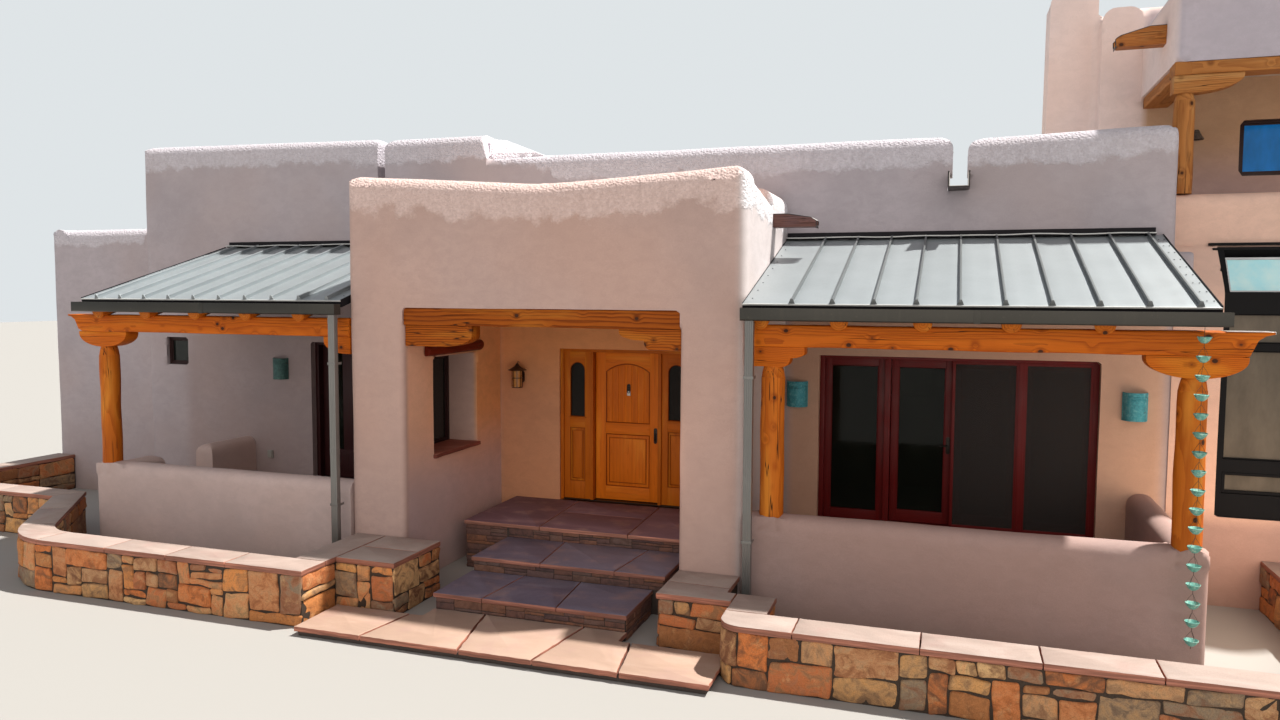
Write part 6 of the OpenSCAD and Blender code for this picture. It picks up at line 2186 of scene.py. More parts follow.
@dataclass
class Windows:
    """Fixed windows of the house, the niche and the sunspace."""

    wood: Painted = Painted("window_stain", "red_wood", (0.028, 0.01, 0.01))
    bronze: SheetMetal = SheetMetal("sunspace_bronze", "bronze_metal", (0.007, 0.007, 0.008),
                                    (0.02, 0.019, 0.018), 0.0, 0.5, 0.0025, 0.12)
    white: Painted = Painted("glazing_white", "bronze_metal", (0.62, 0.64, 0.66), 0.4)
    glass: Glass = Glass("window_glass_dark", "pane_glass", (0.008, 0.011, 0.01), 0.15)
    # Blue glass for the upper window: a painted reflection of the sky.
    painted_sky_glass: Glass = Glass("painted_sky_reflection_glass", "pane_glass", (0.01, 0.2, 0.64), 0.0, 0.15)
    broad_glass: Glass = Glass("sunspace_glass", "pane_glass", (0.105, 0.09, 0.07), 0.0, 0.2)
    # Pale cyan sloped glass: a painted reflection of the sky.
    roof_glass: Glass = Glass("painted_sky_sloped_glass", "pane_glass", (0.5, 0.92, 1.0), 0.0, 0.3)
    sill: Flagstone = Flagstone("sill_stone", "coping_stone", (0.32, 0.085, 0.055), (0.42, 0.16, 0.11),
                                (0.2, 0.05, 0.035))
    bays: tuple[Span, Span] = ((7.44, 8.82), (8.88, 10.26))

    def build(self) -> None:
        """Builds the windows."""
        frames, panes = Joinery(73), Joinery(74)
        self._window(frames, panes, (-7.31, -6.87), 0.06, (2.27, 2.71))
        for x in (-5.8, -2.6, 0.6, 3.8, 8.85):
            self._window(frames, panes, (x - 0.5, x + 0.5), 6.86, (1.5, 2.68), -1)
        self._window(frames, panes, (8.35, 9.35), 6.86, (4.7, 5.88), -1)
        upper = Joinery(75)
        self._window(frames, upper, (8.08, 9.58), 2.6, (5.0, 5.72))
        upper.make("upper_window_pane", self.painted_sky_glass, "window_glass")
        self._niche(frames, panes)
        frames.make("window_joinery", self.wood, "window_frames")
        panes.make("window_panes", self.glass, "window_glass")
        self._sunspace()

    @staticmethod
    def _window(frames: Joinery, panes: Joinery, x: Span, y: float, z: Span, face: int = 1) -> None:
        """Adds a window: frame, inner sash and pane.

        Args:
            frames: Joinery that the frame is added to.
            panes: Joinery that the pane is added to.
            x: Left and right side.
            y: Front of the frame.
            z: Bottom and top.
            face: 1 if it looks to the front, -1 if it looks to the back.
        """
        frames.frame(x, (y, y + 0.07), z, 0.04)
        sash_y = (y + 0.014, y + 0.05) if face > 0 else (y + 0.02, y + 0.056)
        inner = inset(x, 0.039)
        frames.frame(inner, sash_y, inset(z, 0.039), 0.022)
        panes.sheet(rectangle(inset(inner, 0.012), inset(z, 0.051)),
                    (y + 0.031, y + 0.037))

    def _niche(self, frames: Joinery, panes: Joinery) -> None:
        """The window at the back of the deep niche, and its stone sill.

        Args:
            frames: Joinery that the frame is added to.
            panes: Joinery that the pane is added to.
        """
        quarter = Matrix.Translation((-1.86, -0.68, 0)) @ Matrix.Rotation(math.radians(-90), 4, "Z")
        for w, inset, depth in ((0.06, 0.0, (0.0, 0.06)), (0.02, 0.058, (0.012, 0.048))):
            x = (inset, 1.09 - inset)
            z = (1.43 + inset, 2.64 - inset)
            for a, b in ((x[0], x[0] + w), (x[1] - w, x[1])):
                frames.box((a, depth[0], z[0]), (b, depth[1], z[1]), 0.003, 2.0, turn=quarter,
                           along=UP)
            for a, b in ((z[0], z[0] + w), (z[1] - w, z[1])):
                frames.box((x[0] + w, depth[0], a), (x[1] - w, depth[1], b), 0.003, 2.0, turn=quarter)
        panes.prism([(-1.74, 1.46), (-0.71, 1.46), (-0.71, 2.61), (-1.74, 2.61)], Axis.X,
                    (-1.834, -1.828))
        slab = Shape(76)
        slab.box((-1.8, -1.785, 1.418), (-1.338, -0.664, 1.466), 0.008, 0.1, 0.006, 5.0)
        slab.make("niche_sill", self.sill)

    def _sunspace(self) -> None:
        """Panes, beads, the awning sashes and the flashings of the sunspace."""
        finish_node("sunspace_frame", self.bronze, 0.004)
        sashes, white, panes, roof = Joinery(77), Joinery(78), Joinery(79), Joinery(80)
        tilt = math.atan2(0.51, 0.35)
        slope = Matrix.Translation((0, 0.09, 3.435)) @ Matrix.Rotation(tilt, 4, "X")
        for x in self.bays:
            sashes.frame(inset(x, 0.004), (0.052, 0.098), (1.264, 1.496), 0.032)
            sashes.frame(inset(x, 0.001), (0.06, 0.098), (1.641, 2.839), 0.014)
            sashes.frame(inset(x, 0.001), (0.06, 0.098), (2.921, 3.239), 0.014)
            for z in ((1.262, 1.498), (1.641, 2.839), (2.921, 3.239)):
                panes.sheet(rectangle(inset(x, 0.002), z), (0.087, 0.093))
            roof.box((x[0] + 0.001, 0.03, 0.001), (x[1] - 0.001, 0.505, 0.007), 0.001, turn=slope)
            for a, b in ((x[0] + 0.001, x[0] + 0.026), (x[1] - 0.026, x[1] - 0.001)):
                white.box((a, 0.03, 0.006), (b, 0.505, 0.022), 0.003, turn=slope)
            for a, b in ((0.03, 0.058), (0.478, 0.505)):
                white.box((x[0] + 0.02, a, 0.006), (x[1] - 0.02, b, 0.022), 0.003, turn=slope)
        sashes.box((7.3, 0.405, 4.0), (10.4, 0.449, 4.03), 0.004, 0.4)
        sashes.box((7.33, 0.365, 3.945), (10.37, 0.44, 3.972), 0.004, 0.4)
        sashes.box((7.38, 0.03, 0.995), (10.32, 0.14, 1.004), 0.002, 0.4)
        sashes.make("sunspace_sashes", self.bronze)
        white.make("sunspace_white_beads", self.white)
        panes.make("sunspace_panes", self.broad_glass, "window_glass")
        roof.make("sunspace_sloped_panes", self.roof_glass, "window_glass")


# Stone


@dataclass
class Run:
    """A line on the plan along which stones are laid; their faces look to its left."""

    points: Sequence[Flat]

    def __post_init__(self) -> None:
        """Works out the mitred normal of each corner and its distance along the line."""
        corners = [Vector((x, y, 0.0)) for x, y in self.points]
        ways = [(b - a).normalized() for a, b in zip(corners, corners[1:])]
        normals = [Vector((-w.y, w.x, 0.0)) for w in ways]
        self.corners = corners
        self.distances = [0.0]
        for a, b in zip(corners, corners[1:]):
            self.distances.append(self.distances[-1] + (b - a).length)
        self.normals = [normals[0]]
        for a, b in zip(normals, normals[1:]):
            middle = (a + b).normalized()
            self.normals.append(middle / max(0.5, middle.dot(a)))
        self.normals.append(normals[-1])

    @property
    def length(self) -> float:
        """Length of the line."""
        return self.distances[-1]

    def at(self, p: Vector) -> Vector:
        """Point on the plan.

        Args:
            p: Distance along the line, distance out of the face, and height.

        Returns:
            The point on the plan.
        """
        i = 0
        while i < len(self.corners) - 2 and p.x > self.distances[i + 1]:
            i += 1
        t = (p.x - self.distances[i]) / (self.distances[i + 1] - self.distances[i])
        foot = self.corners[i].lerp(self.corners[i + 1], t)
        held = min(1.0, max(0.0, t))
        out = self.normals[i].lerp(self.normals[i + 1], held)
        return Vector((foot.x + out.x * p.y, foot.y + out.y * p.y, p.z))


@dataclass
class StoneLayer:
    """Packs rough stones of mixed sizes over a face, one above the other."""

    widths: tuple[int, ...] = (3, 3, 4, 5, 6, 7, 8, 10, 12)
    heights: tuple[float, ...] = (0.08, 0.12, 0.17, 0.22, 0.28, 0.36)
    unit: float = 0.055
    least: float = 0.075
    joint: float = 0.005
    proud: Span = (0.006, 0.028)
    sunk: float = 0.03
    rough: float = 0.018
    step: float = 0.09
    edge: float = 0.024
    skew: float = 0.014

    def lay(self, shape: Shape, run: Run, z: Span) -> None:
        """Packs the stones of one face.

        Args:
            shape: Shape that they are added to.
            run: Foot line of the face.
            z: Bottom and top of the face.
        """
        count = max(1, round(run.length / self.unit))
        unit = run.length / count
        sky = [z[0]] * count
        while min(sky) < z[1] - 0.004:
            low = min(sky)
            i = sky.index(low)
            room = 1
            while i + room < count and abs(sky[i + room] - low) < 1e-6:
                room += 1
            width = min(room, shape.rng.choice(self.widths))
            width = room if room - width < self.widths[0] else width
            top = self._top(shape.rng, low, z[1], sky, i, width)
            self._stone(shape, run, (i * unit, (i + width) * unit), (low, top))
            sky[i:i + width] = [top] * width

    def _top(self, rng: random.Random, low: float, high: float, sky: list[float], i: int,
             width: int) -> float:
        """Height at which a stone ends: that of a neighbour or of the wall if it comes near it.

        Args:
            rng: Random numbers.
            low: Bottom of the stone.
            high: Top of the wall.
            sky: Height reached in each column.
            i: First column of the stone.
            width: Number of its columns.

        Returns:
            The height.
        """
        top = low + rng.choice(self.heights)
        for near in (sky[i - 1] if i else low, sky[i + width] if i + width < len(sky) else low):
            if near > low + self.least and abs(near - top) < self.least * 0.6:
                top = near
        return high if high - top < self.least else top

    def _stone(self, shape: Shape, run: Run, s: Span, z: Span) -> None:
        """Adds one stone.

        Args:
            shape: Shape that it is added to.
            run: Foot line of the face.
            s: Start and end along the line.
            z: Bottom and top.
        """
        j = self.joint
        lean = [shape.rng.uniform(-self.skew, self.skew) for _ in range(2)]
        middle = ((s[0] + s[1]) / 2, (z[0] + z[1]) / 2)
        half = ((s[1] - s[0]) / 2, (z[1] - z[0]) / 2)

        def bend(p: Vector) -> Vector:
            """Leans the stone's sides a little and lays it on the run."""
            return run.at(Vector((p.x + lean[0] * (p.z - middle[1]) / half[1], p.y,
                                  p.z + lean[1] * (p.x - middle[0]) / half[0])))

        shape.box((s[0] + j, -self.sunk, z[0] + j), (s[1] - j, shape.rng.uniform(*self.proud), z[1] - j),
                  self.edge, self.step, self.rough, 7.0, bend=bend)


@dataclass
class Flags(Shape):
    """Slabs of layered sandstone with broken edges."""

    def flag(self, outline: Sequence[Flat], z: Span, rough: float = 0.009, step: float = 0.045,
             joint: float = 0.0015, tone: float | None = None) -> None:
        """Adds one slab.

        Args:
            outline: Its corners on the plan, anticlockwise.
            z: Bottom and top.
            rough: How far its broken edges stray.
            step: Distance between two points of an edge.
            joint: Half the joint around it.
            tone: How pale it is.
        """
        ring: list[Vector] = []
        for (ax, ay), (bx, by) in zip(outline, [*outline[1:], outline[0]]):
            n = max(1, round(math.hypot(bx - ax, by - ay) / step))
            ring += [Vector((ax + (bx - ax) * k / n, ay + (by - ay) * k / n, 0)) for k in range(n)]
        seed = Vector((self.rng.uniform(-50, 50), self.rng.uniform(-50, 50), 0))
        rings = []
        for part, inset in ((0.0, 0.006), (0.22, 0.0), (0.5, 0.0), (0.78, 0.0), (0.93, 0.002), (1.0, 0.009)):
            height = z[0] + (z[1] - z[0]) * part
            level = []
            for k, p in enumerate(ring):
                after, before = ring[(k + 1) % len(ring)], ring[k - 1]
                way = (after - before).normalized()
                inward = Vector((-way.y, way.x, 0))
                stray = noise.noise((p + Vector((0, 0, part * 0.1))) * 13.0 + seed) * 0.5 + 0.5
                stray = stray * rough + joint + inset
                q = p + inward * stray
                level.append(Vector((q.x, q.y, height)))
            rings.append(level)
        self.loft(rings, tone=tone)

    def course(self, run: Run, d: Span, z: Span, ends: Span = (0.0, 0.0),
               stops: Sequence[int] = ()) -> None:
        """Adds a row of slabs along a line.

        Args:
            run: The line.
            d: Inner and outer side, measured out of the line.
            z: Bottom and top.
            ends: How far the row reaches beyond the start and the end of the line.
            stops: Corners of the line at which a slab has to end.
        """
        marks = [-ends[0], *[run.distances[i] for i in stops], run.length + ends[1]]
        for s0, s1 in zip(marks, marks[1:]):
            n = max(1, round((s1 - s0) / self.rng.uniform(0.8, 1.15)))
            cuts = [s0 + (s1 - s0) * k / n for k in range(n + 1)]
            cuts = [c + (self.rng.uniform(-0.1, 0.1) if 0 < k < n else 0.0) for k, c in enumerate(cuts)]
            for a, b in zip(cuts, cuts[1:]):
                m = max(1, math.ceil((b - a) / 0.16))
                line = [a + (b - a) * k / m for k in range(m + 1)]
                side = [run.at(Vector((s, d[1], 0))) for s in line]
                side += [run.at(Vector((s, d[0], 0))) for s in line[::-1]]
                self.flag([(p.x, p.y) for p in side[::-1]], z)


@dataclass
class Steps:
    """Treads of red sandstone over thin dark stones."""

    tread: Flagstone = Flagstone("red_flagstone", "tread_stone", (0.165, 0.09, 0.118), (0.24, 0.145, 0.175),
                                 (0.33, 0.15, 0.11))
    lower: Flagstone = Flagstone("blue_flagstone", "tread_stone", (0.156, 0.124, 0.176), (0.22, 0.19, 0.245),
                                 (0.3, 0.125, 0.09))
    slab: Flagstone = Flagstone("pink_flagstone", "tread_stone", (0.4, 0.26, 0.19), (0.47, 0.33, 0.26),
                                (0.34, 0.13, 0.085))
    riser: Masonry = Masonry("riser_stone", "riser_stone", (
        (0.0, (0.105, 0.06, 0.06)), (0.35, (0.19, 0.085, 0.06)), (0.6, (0.14, 0.08, 0.075)),
        (0.8, (0.26, 0.11, 0.06)), (1.0, (0.15, 0.095, 0.085))), (0.045, 0.028, 0.026),
                              (0.2, 0.12, 0.095))
    mortar: Plain = Plain("dark_mortar", "riser_stone", (0.06, 0.044, 0.038))

    def build(self) -> None:
        """Lays the treads, the slab on the ground and the risers."""
        treads = Flags(91)
        landing, first, second = (0.55, 0.6), (0.385, 0.435), (0.22, 0.27)
        lower = Flags(89)
        for z, rows in (
            (landing, ([(-1.15, -1.47), (-0.12, -1.47), (-0.2, 0.0), (-1.15, 0.0)],
                       [(-0.12, -1.47), (1.02, -1.47), (0.98, -0.66), (-0.164, -0.66)],
                       [(-0.164, -0.66), (0.98, -0.66), (0.96, 0.0), (-0.2, 0.0)],
                       [(1.02, -1.47), (1.92, -1.47), (1.92, 0.0), (0.96, 0.0), (0.98, -0.66)])),
            (first, ([(-0.56, -2.36), (0.3, -2.36), (0.21, -1.44), (-0.56, -1.44)],
                     [(0.3, -2.36), (1.18, -2.36), (1.27, -1.44), (0.21, -1.44)],
                     [(1.18, -2.36), (1.76, -2.36), (1.76, -1.44), (1.27, -1.44)])),
            (second, ([(-0.56, -3.19), (0.02, -3.19), (0.1, -2.33), (-0.56, -2.33)],
                      [(0.02, -3.19), (0.86, -3.19), (0.78, -2.33), (0.1, -2.33)],
                      [(0.86, -3.19), (1.62, -3.19), (1.62, -2.33), (0.78, -2.33)])),
        ):
            for outline in rows:
                (treads if z is landing else lower).flag(outline, z, 0.01)
        treads.make("landing_flags", self.tread, "step_treads")
        lower.make("stone_treads", self.lower, "step_treads")
        ground = Flags(92)
        front, back, nook = -4.12, -3.4, -3.16
        for outline in (
            [(-1.6, front), (-0.82, front), (-0.7, back), (-1.6, back)],
            [(-0.82, front), (0.26, front), (0.05, nook), (-0.56, nook), (-0.56, back), (-0.7, back)],
            [(0.26, front), (1.02, front), (1.16, nook), (0.05, nook)],
            [(1.02, front), (1.86, front), (1.74, back), (1.62, back), (1.62, nook), (1.16, nook)],
            [(1.86, front), (2.7, front), (2.7, back), (1.74, back)],
        ):
            ground.flag(outline, (0.047, 0.1), 0.02)
        ground.make("ground_slab", self.slab, "step_treads")
        bed = Shape(90)
        bed.box((-1.565, front + 0.035, 0.0), (2.665, back - 0.035, 0.05), 0.01, 0.2, 0.004)
        bed.box((-0.525, back - 0.07, 0.0), (1.585, nook - 0.035, 0.05), 0.01, 0.2, 0.004)
        bed.make("slab_bed", self.mortar, "step_treads")
        self._risers()

    def _risers(self) -> None:
        """Thin stones on the faces of the risers, in their mortar."""
        finish_node("step_risers", self.mortar)
        layer = StoneLayer((3, 4, 5, 6, 8), (0.032, 0.042, 0.055, 0.075), least=0.026, joint=0.0025,
                           proud=(0.004, 0.013), sunk=0.02, rough=0.004, step=0.2, edge=0.007, skew=0.002)
        faces = Shape(93)
        for points, z in (
            (((1.9, -1.44), (-0.54, -1.44)), (0.43, 0.55)),
            (((-0.56, -1.44), (-1.125, -1.44)), (0.0, 0.55)),
            (((-1.125, -1.44), (-1.125, -0.01)), (0.0, 0.55)),
            (((1.735, -2.33), (-0.535, -2.33)), (0.265, 0.385)),
            (((-0.535, -2.33), (-0.535, -1.46)), (0.0, 0.385)),
            (((1.735, -1.46), (1.735, -2.33)), (0.0, 0.385)),
            (((1.595, -3.16), (-0.535, -3.16)), (0.095, 0.22)),
            (((-0.535, -3.14), (-0.535, -2.35)), (0.0, 0.22)),
            (((1.595, -2.35), (1.595, -3.14)), (0.0, 0.22)),
        ):
            layer.lay(faces, Run(points), z)
        faces.make("riser_stones", self.riser)


@dataclass
class Planters:
    """Low walls of rough stone under a sandstone coping, on both sides of the steps."""

    stone: Masonry = Masonry("planter_ashlar", "planter_stone")
    coping: Flagstone = Flagstone("pink_coping", "coping_stone", (0.38, 0.285, 0.245), (0.46, 0.375, 0.335),
                                  (0.33, 0.13, 0.085))
    mortar: Plain = Plain("earth_mortar", "planter_stone", (0.045, 0.028, 0.018))
    thick: float = 0.34
    lip: float = 0.025
    left_top: Span = (0.54, 0.6)
    right_top: Span = (0.49, 0.55)

    def build(self) -> None:
        """Lays the stones over the mortar, and the copings."""
        finish_node("planter_walls", self.mortar)
        bend = arc(-5.2, -2.8, 1.1, 270, 220, 8)
        corner = (-7.1814, -2.15)
        front = Run([(-1.66, -3.9), *bend, (-6.88, -2.5092), corner, (-7.63, -2.15),
                     (-10.175, -2.15)])
        nose = Run([(8.2, -3.83), *arc(2.9, -3.63, 0.2, 270, 180, 6), (2.7, -3.2)])
        inner = arc(-5.2, -2.8, 0.76, 220, 270, 8)
        layer = StoneLayer()
        left, right = Shape(94), Shape(95)
        for run in (front, Run([(-0.93, -2.432), (-0.93, -3.35)]), Run([(-0.93, -3.35), (-1.66, -3.35)]),
                    Run([(-1.66, -3.35), (-1.66, -3.9)]), Run([(-10.175, -2.15), (-10.175, 0.39)]),
                    Run([(-9.835, 0.39), (-9.835, -1.81)]), Run([(-9.835, -1.81), (-7.023, -1.81)]),
                    Run([(-7.023, -1.81), *inner, (-2.0, -3.56)]), Run([(-2.0, -3.56), (-2.0, -2.44)])):
            layer.lay(left, run, (0.0, self.left_top[0]))
        for run in (nose, Run([(8.2, -0.005), (8.2, -3.83)]), Run([(2.7, -3.2), (1.95, -3.2)]),
                    Run([(1.95, -3.2), (1.95, -2.432)]), Run([(3.04, -3.49), (7.86, -3.49)]),
                    Run([(7.86, -3.49), (7.86, -0.005)]), Run([(3.04, -3.0), (3.04, -3.49)])):
            layer.lay(right, run, (0.0, self.right_top[0]))
        left.make("planter_stones_left", self.stone)
        right.make("planter_stones_right", self.stone)
        self._copings(front)

    def _copings(self, front: Run) -> None:
        """Sandstone slabs on the walls.

        Args:
            front: Outer line of the left planter, from the steps round the bend to its left end.
        """
        slabs, out, deep = Flags(96), self.lip, self.thick + self.lip
        z = self.left_top
        stop = front.points.index((-7.1814, -2.15))
        slabs.course(front, (-deep, out), z, (out, out), (stop,))
        slabs.course(Run([(-1.66, -2.432), (-1.66, -3.535)]), (-deep, out), z)
        slabs.course(Run([(-10.175, -1.785), (-10.175, 0.398)]), (-deep, out), z)
        for y in ((-3.375, -2.9), (-2.9, -2.432)):
            slabs.flag([(-1.633, y[0]), (-0.905, y[0]), (-0.905, y[1]), (-1.633, y[1])], z)
        z = self.right_top
        slabs.course(Run([(8.2, -0.002), (8.2, -3.465)]), (-deep, out), z)
        slabs.course(Run([(8.225, -3.83), (3.35, -3.83)]), (-deep, out), z)
        turn = arc(2.9, -3.63, 0.225, 180, 270, 6)
        slabs.flag([*turn, (3.35, -3.855), (3.35, -3.465), (2.675, -3.465)], z)
        slabs.flag([(2.675, -3.465), (3.065, -3.465), (3.065, -2.975), (2.675, -2.975)], z)
        slabs.flag([(1.925, -3.225), (2.675, -3.225), (2.675, -2.975), (2.585, -2.975), (2.585, -2.86),
                    (1.925, -2.82)], z)
        slabs.flag([(1.925, -2.82), (2.585, -2.86), (2.585, -2.432), (1.925, -2.432)], z)
        slabs.make("coping_slabs", self.coping, "planter_copings")


# Lamps


@dataclass
class Lamps:
    """Half-round sconces, the lantern of the niche, the bell lamp on the balcony and an outlet."""

    copper: Patina = Patina("blue_copper", "patina_metal", (0.055, 0.33, 0.4), (0.2, 0.52, 0.56))
    # A darker copy of the blue copper for the left sconce in the porch: a painted shade.
    dark: Patina = Patina("painted_shade_copper", "patina_metal", (0.045, 0.12, 0.115), (0.11, 0.24, 0.22))
    iron: SheetMetal = SheetMetal("lantern_iron", "bronze_metal", (0.06, 0.034, 0.024), (0.16, 0.1, 0.07),
                                  0.6)
    amber: Plain = Plain("amber_glass", "pane_glass", (0.56, 0.26, 0.075), 0.3, 25.0)
    chrome: SheetMetal = SheetMetal("bell_metal", "bronze_metal", (0.13, 0.112, 0.1), (0.34, 0.31, 0.28),
                                    0.35, 0.26)
    grey: Plain = Plain("outlet_grey", "gutter_metal", (0.36, 0.355, 0.33), 0.55, 60.0)

    def build(self) -> None:
        """Builds every lamp."""
        # The left sconce takes the painted-shade copy of the copper.
        for name, x, z, finish in (("left", -5.09, 2.11, self.dark), ("middle", 2.76, 2.03, self.copper),
                                   ("right", 6.55, 2.03, self.copper)):
            self._sconce(x, z).make("sconce_" + name, finish, "wall_lamps")
        self._lantern()
        self._bell()
        box = Shape(104)
        box.box((-5.365, -0.028, 0.88), (-5.275, 0.002, 1.0), 0.006)
        box.box((-5.357, -0.04, 0.888), (-5.283, -0.026, 0.992), 0.005)
        box.make("outlet_cover", self.grey)

    @staticmethod
    def _sconce(x: float, z: float) -> Shape:
        """A half cylinder with raised bands, open at both ends.

        Args:
            x: Its middle.
            z: Its bottom.

        Returns:
            The shape.
        """
        made, r, h = Shape(round(x * 10) + 200), 0.122, 0.32
        wall = [(r - 0.003, 0.004), (r + 0.003, 0.0), (r + 0.004, 0.014), (r, 0.018)]
        for band in (0.228, 0.246, 0.264):
            wall += [(r, band), (r + 0.004, band + 0.003), (r + 0.004, band + 0.008), (r, band + 0.011)]
        wall += [(r, h - 0.018), (r + 0.004, h - 0.014), (r + 0.004, h), (r - 0.003, h - 0.002)]
        made.lathe(wall, (x, 0.0, z), 28, (180.0, 360.0))
        for side in (-1.0, 1.0):
            lo, hi = sorted((x + side * (r - 0.003), x + side * (r + 0.008)))
            made.box((lo, -0.012, z), (hi, 0.002, z + h), 0.002)
        for level in (0.12, 0.2):
            made.lathe([(0.02, level), (r - 0.002, level), (r - 0.002, level + 0.004), (0.02, level + 0.004)],
                       (x, 0.0, z), 20, (180.0, 360.0))
        made.box((x - 0.03, -0.1, z + 0.1), (x + 0.03, -0.004, z + 0.22), 0.008)
        return made

    def _lantern(self) -> None:
        """Hanging lantern: a wide cone over an amber body behind upright bars."""
        x, y, z = -1.055, -0.14, 2.14
        iron, glass = Shape(102), Shape(103)
        cone = [(0.001, 0.335), (0.01, 0.334), (0.016, 0.322), (0.022, 0.316), (0.03, 0.3), (0.08, 0.266),
                (0.127, 0.242), (0.129, 0.237), (0.122, 0.236), (0.07, 0.262), (0.026, 0.292), (0.001, 0.3)]
        iron.lathe(cone, (x, y, z), 28)
        for low in (0.0, 0.128, 0.238):
            iron.lathe([(0.062, low), (0.075, low), (0.075, low + 0.01), (0.062, low + 0.01)], (x, y, z), 28)
        iron.lathe([(0.001, -0.002), (0.064, -0.002), (0.064, 0.004), (0.001, 0.004)], (x, y, z), 24)
        for k in range(8):
            a = math.tau * (k + 0.5) / 8
            foot = Vector((x + 0.071 * math.cos(a), y + 0.071 * math.sin(a), z + 0.003))
            iron.tube([foot, foot + Vector((0, 0, 0.242))], 0.0042, 6)
        hook = [(x + 0.0, y + 0.03 * math.sin(a) + 0.03, z + 0.352 + 0.022 * math.cos(a) - 0.022)
                for a in (math.radians(d) for d in range(-170, 90, 20))]
        iron.tube(hook, 0.0045, 7)
        iron.tube([(x, 0.004, z + 0.135), (x, -0.034, z + 0.135), (x, -0.068, z + 0.133)], 0.012, 10)
        plate = [*arc(x, z + 0.18, 0.046, 0, 180, 10), *arc(x, z + 0.095, 0.046, 180, 360, 10)]
        iron.prism(plate, Axis.Y, (-0.014, 0.002), 0.003)
        glass.lathe([(0.001, 0.006), (0.064, 0.006), (0.066, 0.12), (0.064, 0.238), (0.001, 0.238)],
                    (x, y, z), 28)
        iron.make("niche_lantern", self.iron, "wall_lamps")
        glass.make("lantern_glass", self.amber, "wall_lamps")

    def _bell(self) -> None:
        """Small bell lamp under the balcony's lintel, on a bent arm."""
        x, y, z = 7.56, 2.46, 5.48
        bell = Shape(105)
        bell.lathe([(0.086, 0.0), (0.09, 0.004), (0.086, 0.018), (0.062, 0.052), (0.044, 0.09),
                    (0.034, 0.118),
                    (0.02, 0.13), (0.001, 0.132), (0.001, 0.122), (0.028, 0.112), (0.04, 0.086),
                    (0.058, 0.048), (0.08, 0.012)], (x, y, z), 28)
        bell.lathe([(0.001, 0.03), (0.022, 0.038), (0.026, 0.06), (0.018, 0.084), (0.001, 0.088)],
                   (x, y, z), 18)
        bell.tube([(x, y, z + 0.08), (x, y, z + 0.118), (x, y + 0.015, z + 0.122), (x, y + 0.06, z + 0.086),
                   (x, 2.552, z + 0.084)], 0.009, 10)
        bell.lathe([(0.001, 0.0), (0.036, 0.0), (0.036, 0.008), (0.03, 0.014), (0.001, 0.014)],
                   (x, 2.54, z + 0.06), 20)
        bell.make("bell_lamp", self.chrome, "wall_lamps")


# Studio


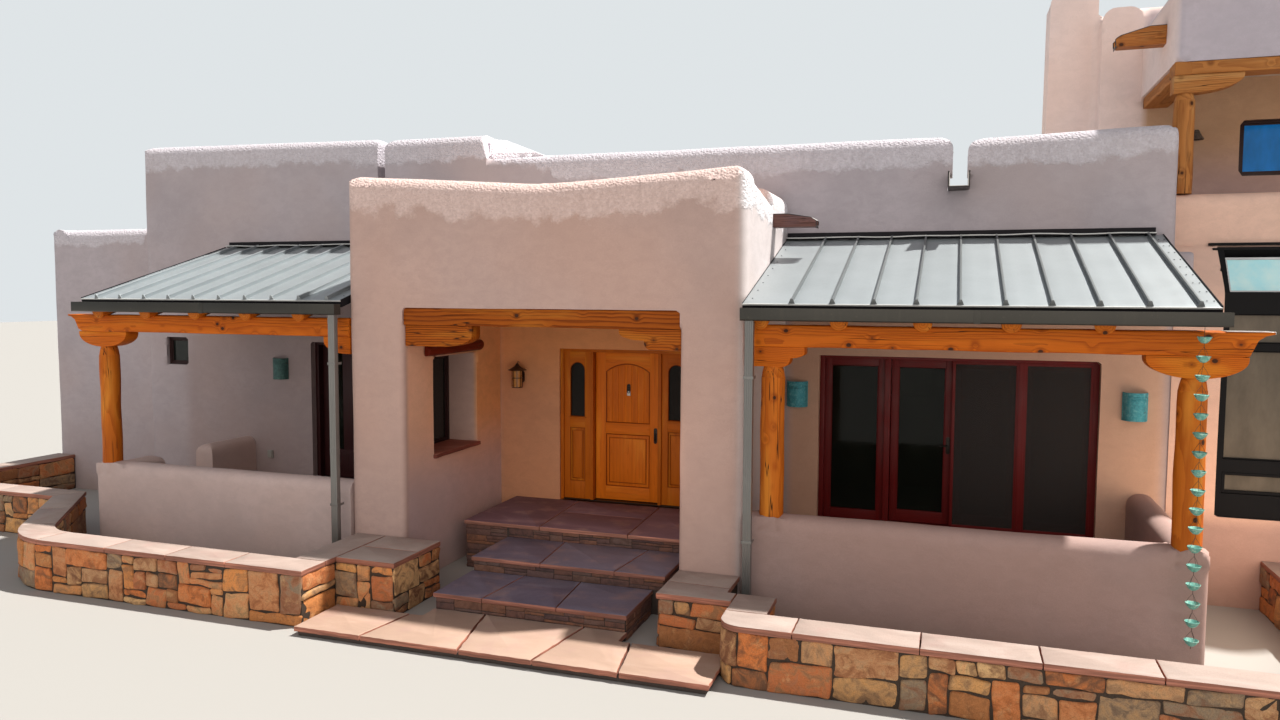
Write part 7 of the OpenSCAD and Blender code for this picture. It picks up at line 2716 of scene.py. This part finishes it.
@dataclass
class Studio:
    """Camera, lights and floor."""

    yaw: float = 0.32509466
    pitch: float = 0.06868881
    roll: float = 0.0040066
    eye: Point = (4.5927, -11.6311, 3.4546)
    focal_px: float = 929.49
    frame_px: tuple[int, int] = (1280, 720)
    middle_px: float = 355.756
    sun_way: Point = (0.42, 0.24, 0.87)
    fill_way: Point = (0.15, -0.9, 0.32)
    sky: float = 0.42

    def build(self) -> None:
        """Builds the studio."""
        self._camera()
        self._lights()
        self._bounces()
        self._floor()
        bpy.context.scene.view_settings.view_transform = "Standard"

    def _camera(self) -> None:
        """Puts the camera where the photograph was taken from."""
        lens = bpy.data.cameras.new("camera")
        lens.sensor_width = 36.0
        lens.lens = self.focal_px / self.frame_px[0] * 36.0
        lens.shift_y = -(self.frame_px[1] / 2 - self.middle_px) / self.frame_px[0]
        lens.clip_end = 400.0
        camera = bpy.data.objects.new("camera", lens)
        bpy.context.scene.collection.objects.link(camera)
        ahead = Vector((-math.sin(self.yaw) * math.cos(self.pitch),
                        math.cos(self.yaw) * math.cos(self.pitch), -math.sin(self.pitch)))
        level = Vector((math.cos(self.yaw), math.sin(self.yaw), 0.0))
        up = level.cross(ahead)
        right = math.cos(self.roll) * level + math.sin(self.roll) * up
        up = -math.sin(self.roll) * level + math.cos(self.roll) * up
        placed = Matrix((right, up, -ahead)).transposed().to_4x4()
        placed.translation = Vector(self.eye) + PLAN_ORIGIN
        camera.matrix_world = placed
        bpy.context.scene.camera = camera

    def _lights(self) -> None:
        """A soft sky, a sun from behind on the right, and a broad fill from the front."""
        world = bpy.data.worlds.new("sky")
        world.use_nodes = True
        background = world.node_tree.nodes["Background"]
        background.inputs["Color"].default_value = (0.86, 0.92, 1.0, 1.0)
        background.inputs["Strength"].default_value = self.sky
        nodes, links = world.node_tree.nodes, world.node_tree.links
        seen, either, ray = (nodes.new("ShaderNode" + kind)
                             for kind in ("Background", "MixShader", "LightPath"))
        seen.inputs["Color"].default_value = (0.74, 0.78, 0.8, 1.0)
        links.new(ray.outputs["Is Camera Ray"], either.inputs[0])
        links.new(background.outputs[0], either.inputs[1])
        links.new(seen.outputs[0], either.inputs[2])
        links.new(either.outputs[0], nodes["World Output"].inputs["Surface"])
        bpy.context.scene.world = world
        for title, energy, spread, colour, way in (
            ("sun", 7.0, 1.6, (1.0, 0.965, 0.9), self.sun_way),
            ("fill", 1.1, 70.0, (1.0, 0.86, 0.72), self.fill_way),
        ):
            light = bpy.data.lights.new(title, "SUN")
            light.energy = energy
            light.angle = math.radians(spread)
            light.color = colour
            lamp = bpy.data.objects.new(title, light)
            lamp.rotation_euler = Vector(way).to_track_quat("Z", "Y").to_euler()
            bpy.context.scene.collection.objects.link(lamp)

    def _bounces(self) -> None:
        """Warm soft light that sunlit ground and walls throw into the porch and the entry."""
        for title, power, size, place, way in (
            ("porch_bounce", 26.0, (1.6, 1.2), (7.9, -1.5, 1.1), (1.0, -0.45, -0.05)),
            ("entry_bounce", 7.0, (1.6, 0.5), (0.9, -2.7, 1.7), (0.1, -0.95, -0.1)),
            ("balcony_bounce", 5.0, (2.4, 0.5), (8.9, 0.95, 4.75), (0.0, -0.75, -0.65)),
        ):
            light = bpy.data.lights.new(title, "AREA")
            light.shape = "RECTANGLE"
            light.size, light.size_y = size
            light.energy = power
            light.color = (1.0, 0.72, 0.5)
            lamp = bpy.data.objects.new(title, light)
            lamp.location = Vector(place) + PLAN_ORIGIN
            lamp.rotation_euler = Vector(way).to_track_quat("Z", "Y").to_euler()
            lamp.visible_camera = False
            lamp.visible_glossy = False
            bpy.context.scene.collection.objects.link(lamp)

    def _floor(self) -> None:
        """A plain pale floor."""
        mesh = bpy.data.meshes.new("studio_floor")
        half = 90.0
        mesh.from_pydata([(-half, -half, 0), (half, -half, 0), (half, half, 0), (-half, half, 0)], [],
                         [(0, 1, 2, 3)])
        mesh.materials.append(StudioFloor("studio_floor", "").material())
        floor = bpy.data.objects.new("studio_floor", mesh)
        bpy.context.scene.collection.objects.link(floor)


@dataclass(frozen=True)
class StudioFloor(Finish):
    """Pale matt floor."""

    def write(self, g: Graph) -> None:
        """Writes one pale colour."""
        g.set(Base_Color=(0.345, 0.335, 0.32), Roughness=0.9)


# The house


def deck_the_roofs() -> None:
    """Gives the flat roofs and the floors, which are CAD nodes, their finishes."""
    finish_node("flat_roofs", Plain("roof_felt", "roof_deck", (0.6, 0.545, 0.49), 0.85, 40.0))
    finish_node("floor_slabs", Plain("floor_tile", "floor_tile", (0.22, 0.11, 0.085), 0.62, 30.0))


def porch_roofs() -> None:
    """Builds the two metal roofs of the porches."""
    seam = 0.39
    # The left roof's seams keep the pans' colour; the right roof's darker seams are a painted shade.
    PorchRoof("left_roof", (-6.08, -2.12), tuple(-5.826 + seam * i for i in range(10)),
              Side.LEFT, seam=PorchRoof.pan).build()
    PorchRoof("right_roof", (2.6, 6.76), tuple(3.09 + seam * i for i in range(10)),
              Side.RIGHT).build()


def main() -> None:
    """Builds the house and its studio, and writes down how large it is."""
    logging.basicConfig(level=logging.INFO, format="%(message)s")
    noise.seed_set(NOISE_SEED)
    StuccoWork().build()
    deck_the_roofs()
    porch_roofs()
    for part in (Rainwater(), Canales(), Carpentry(), FrontEntrance(), RedDoors(), Windows(), Steps(),
                 Planters(), Lamps(), Studio()):
        log.info("%s", type(part).__doc__)
        part.build()


if __name__ == "__main__":
    main()
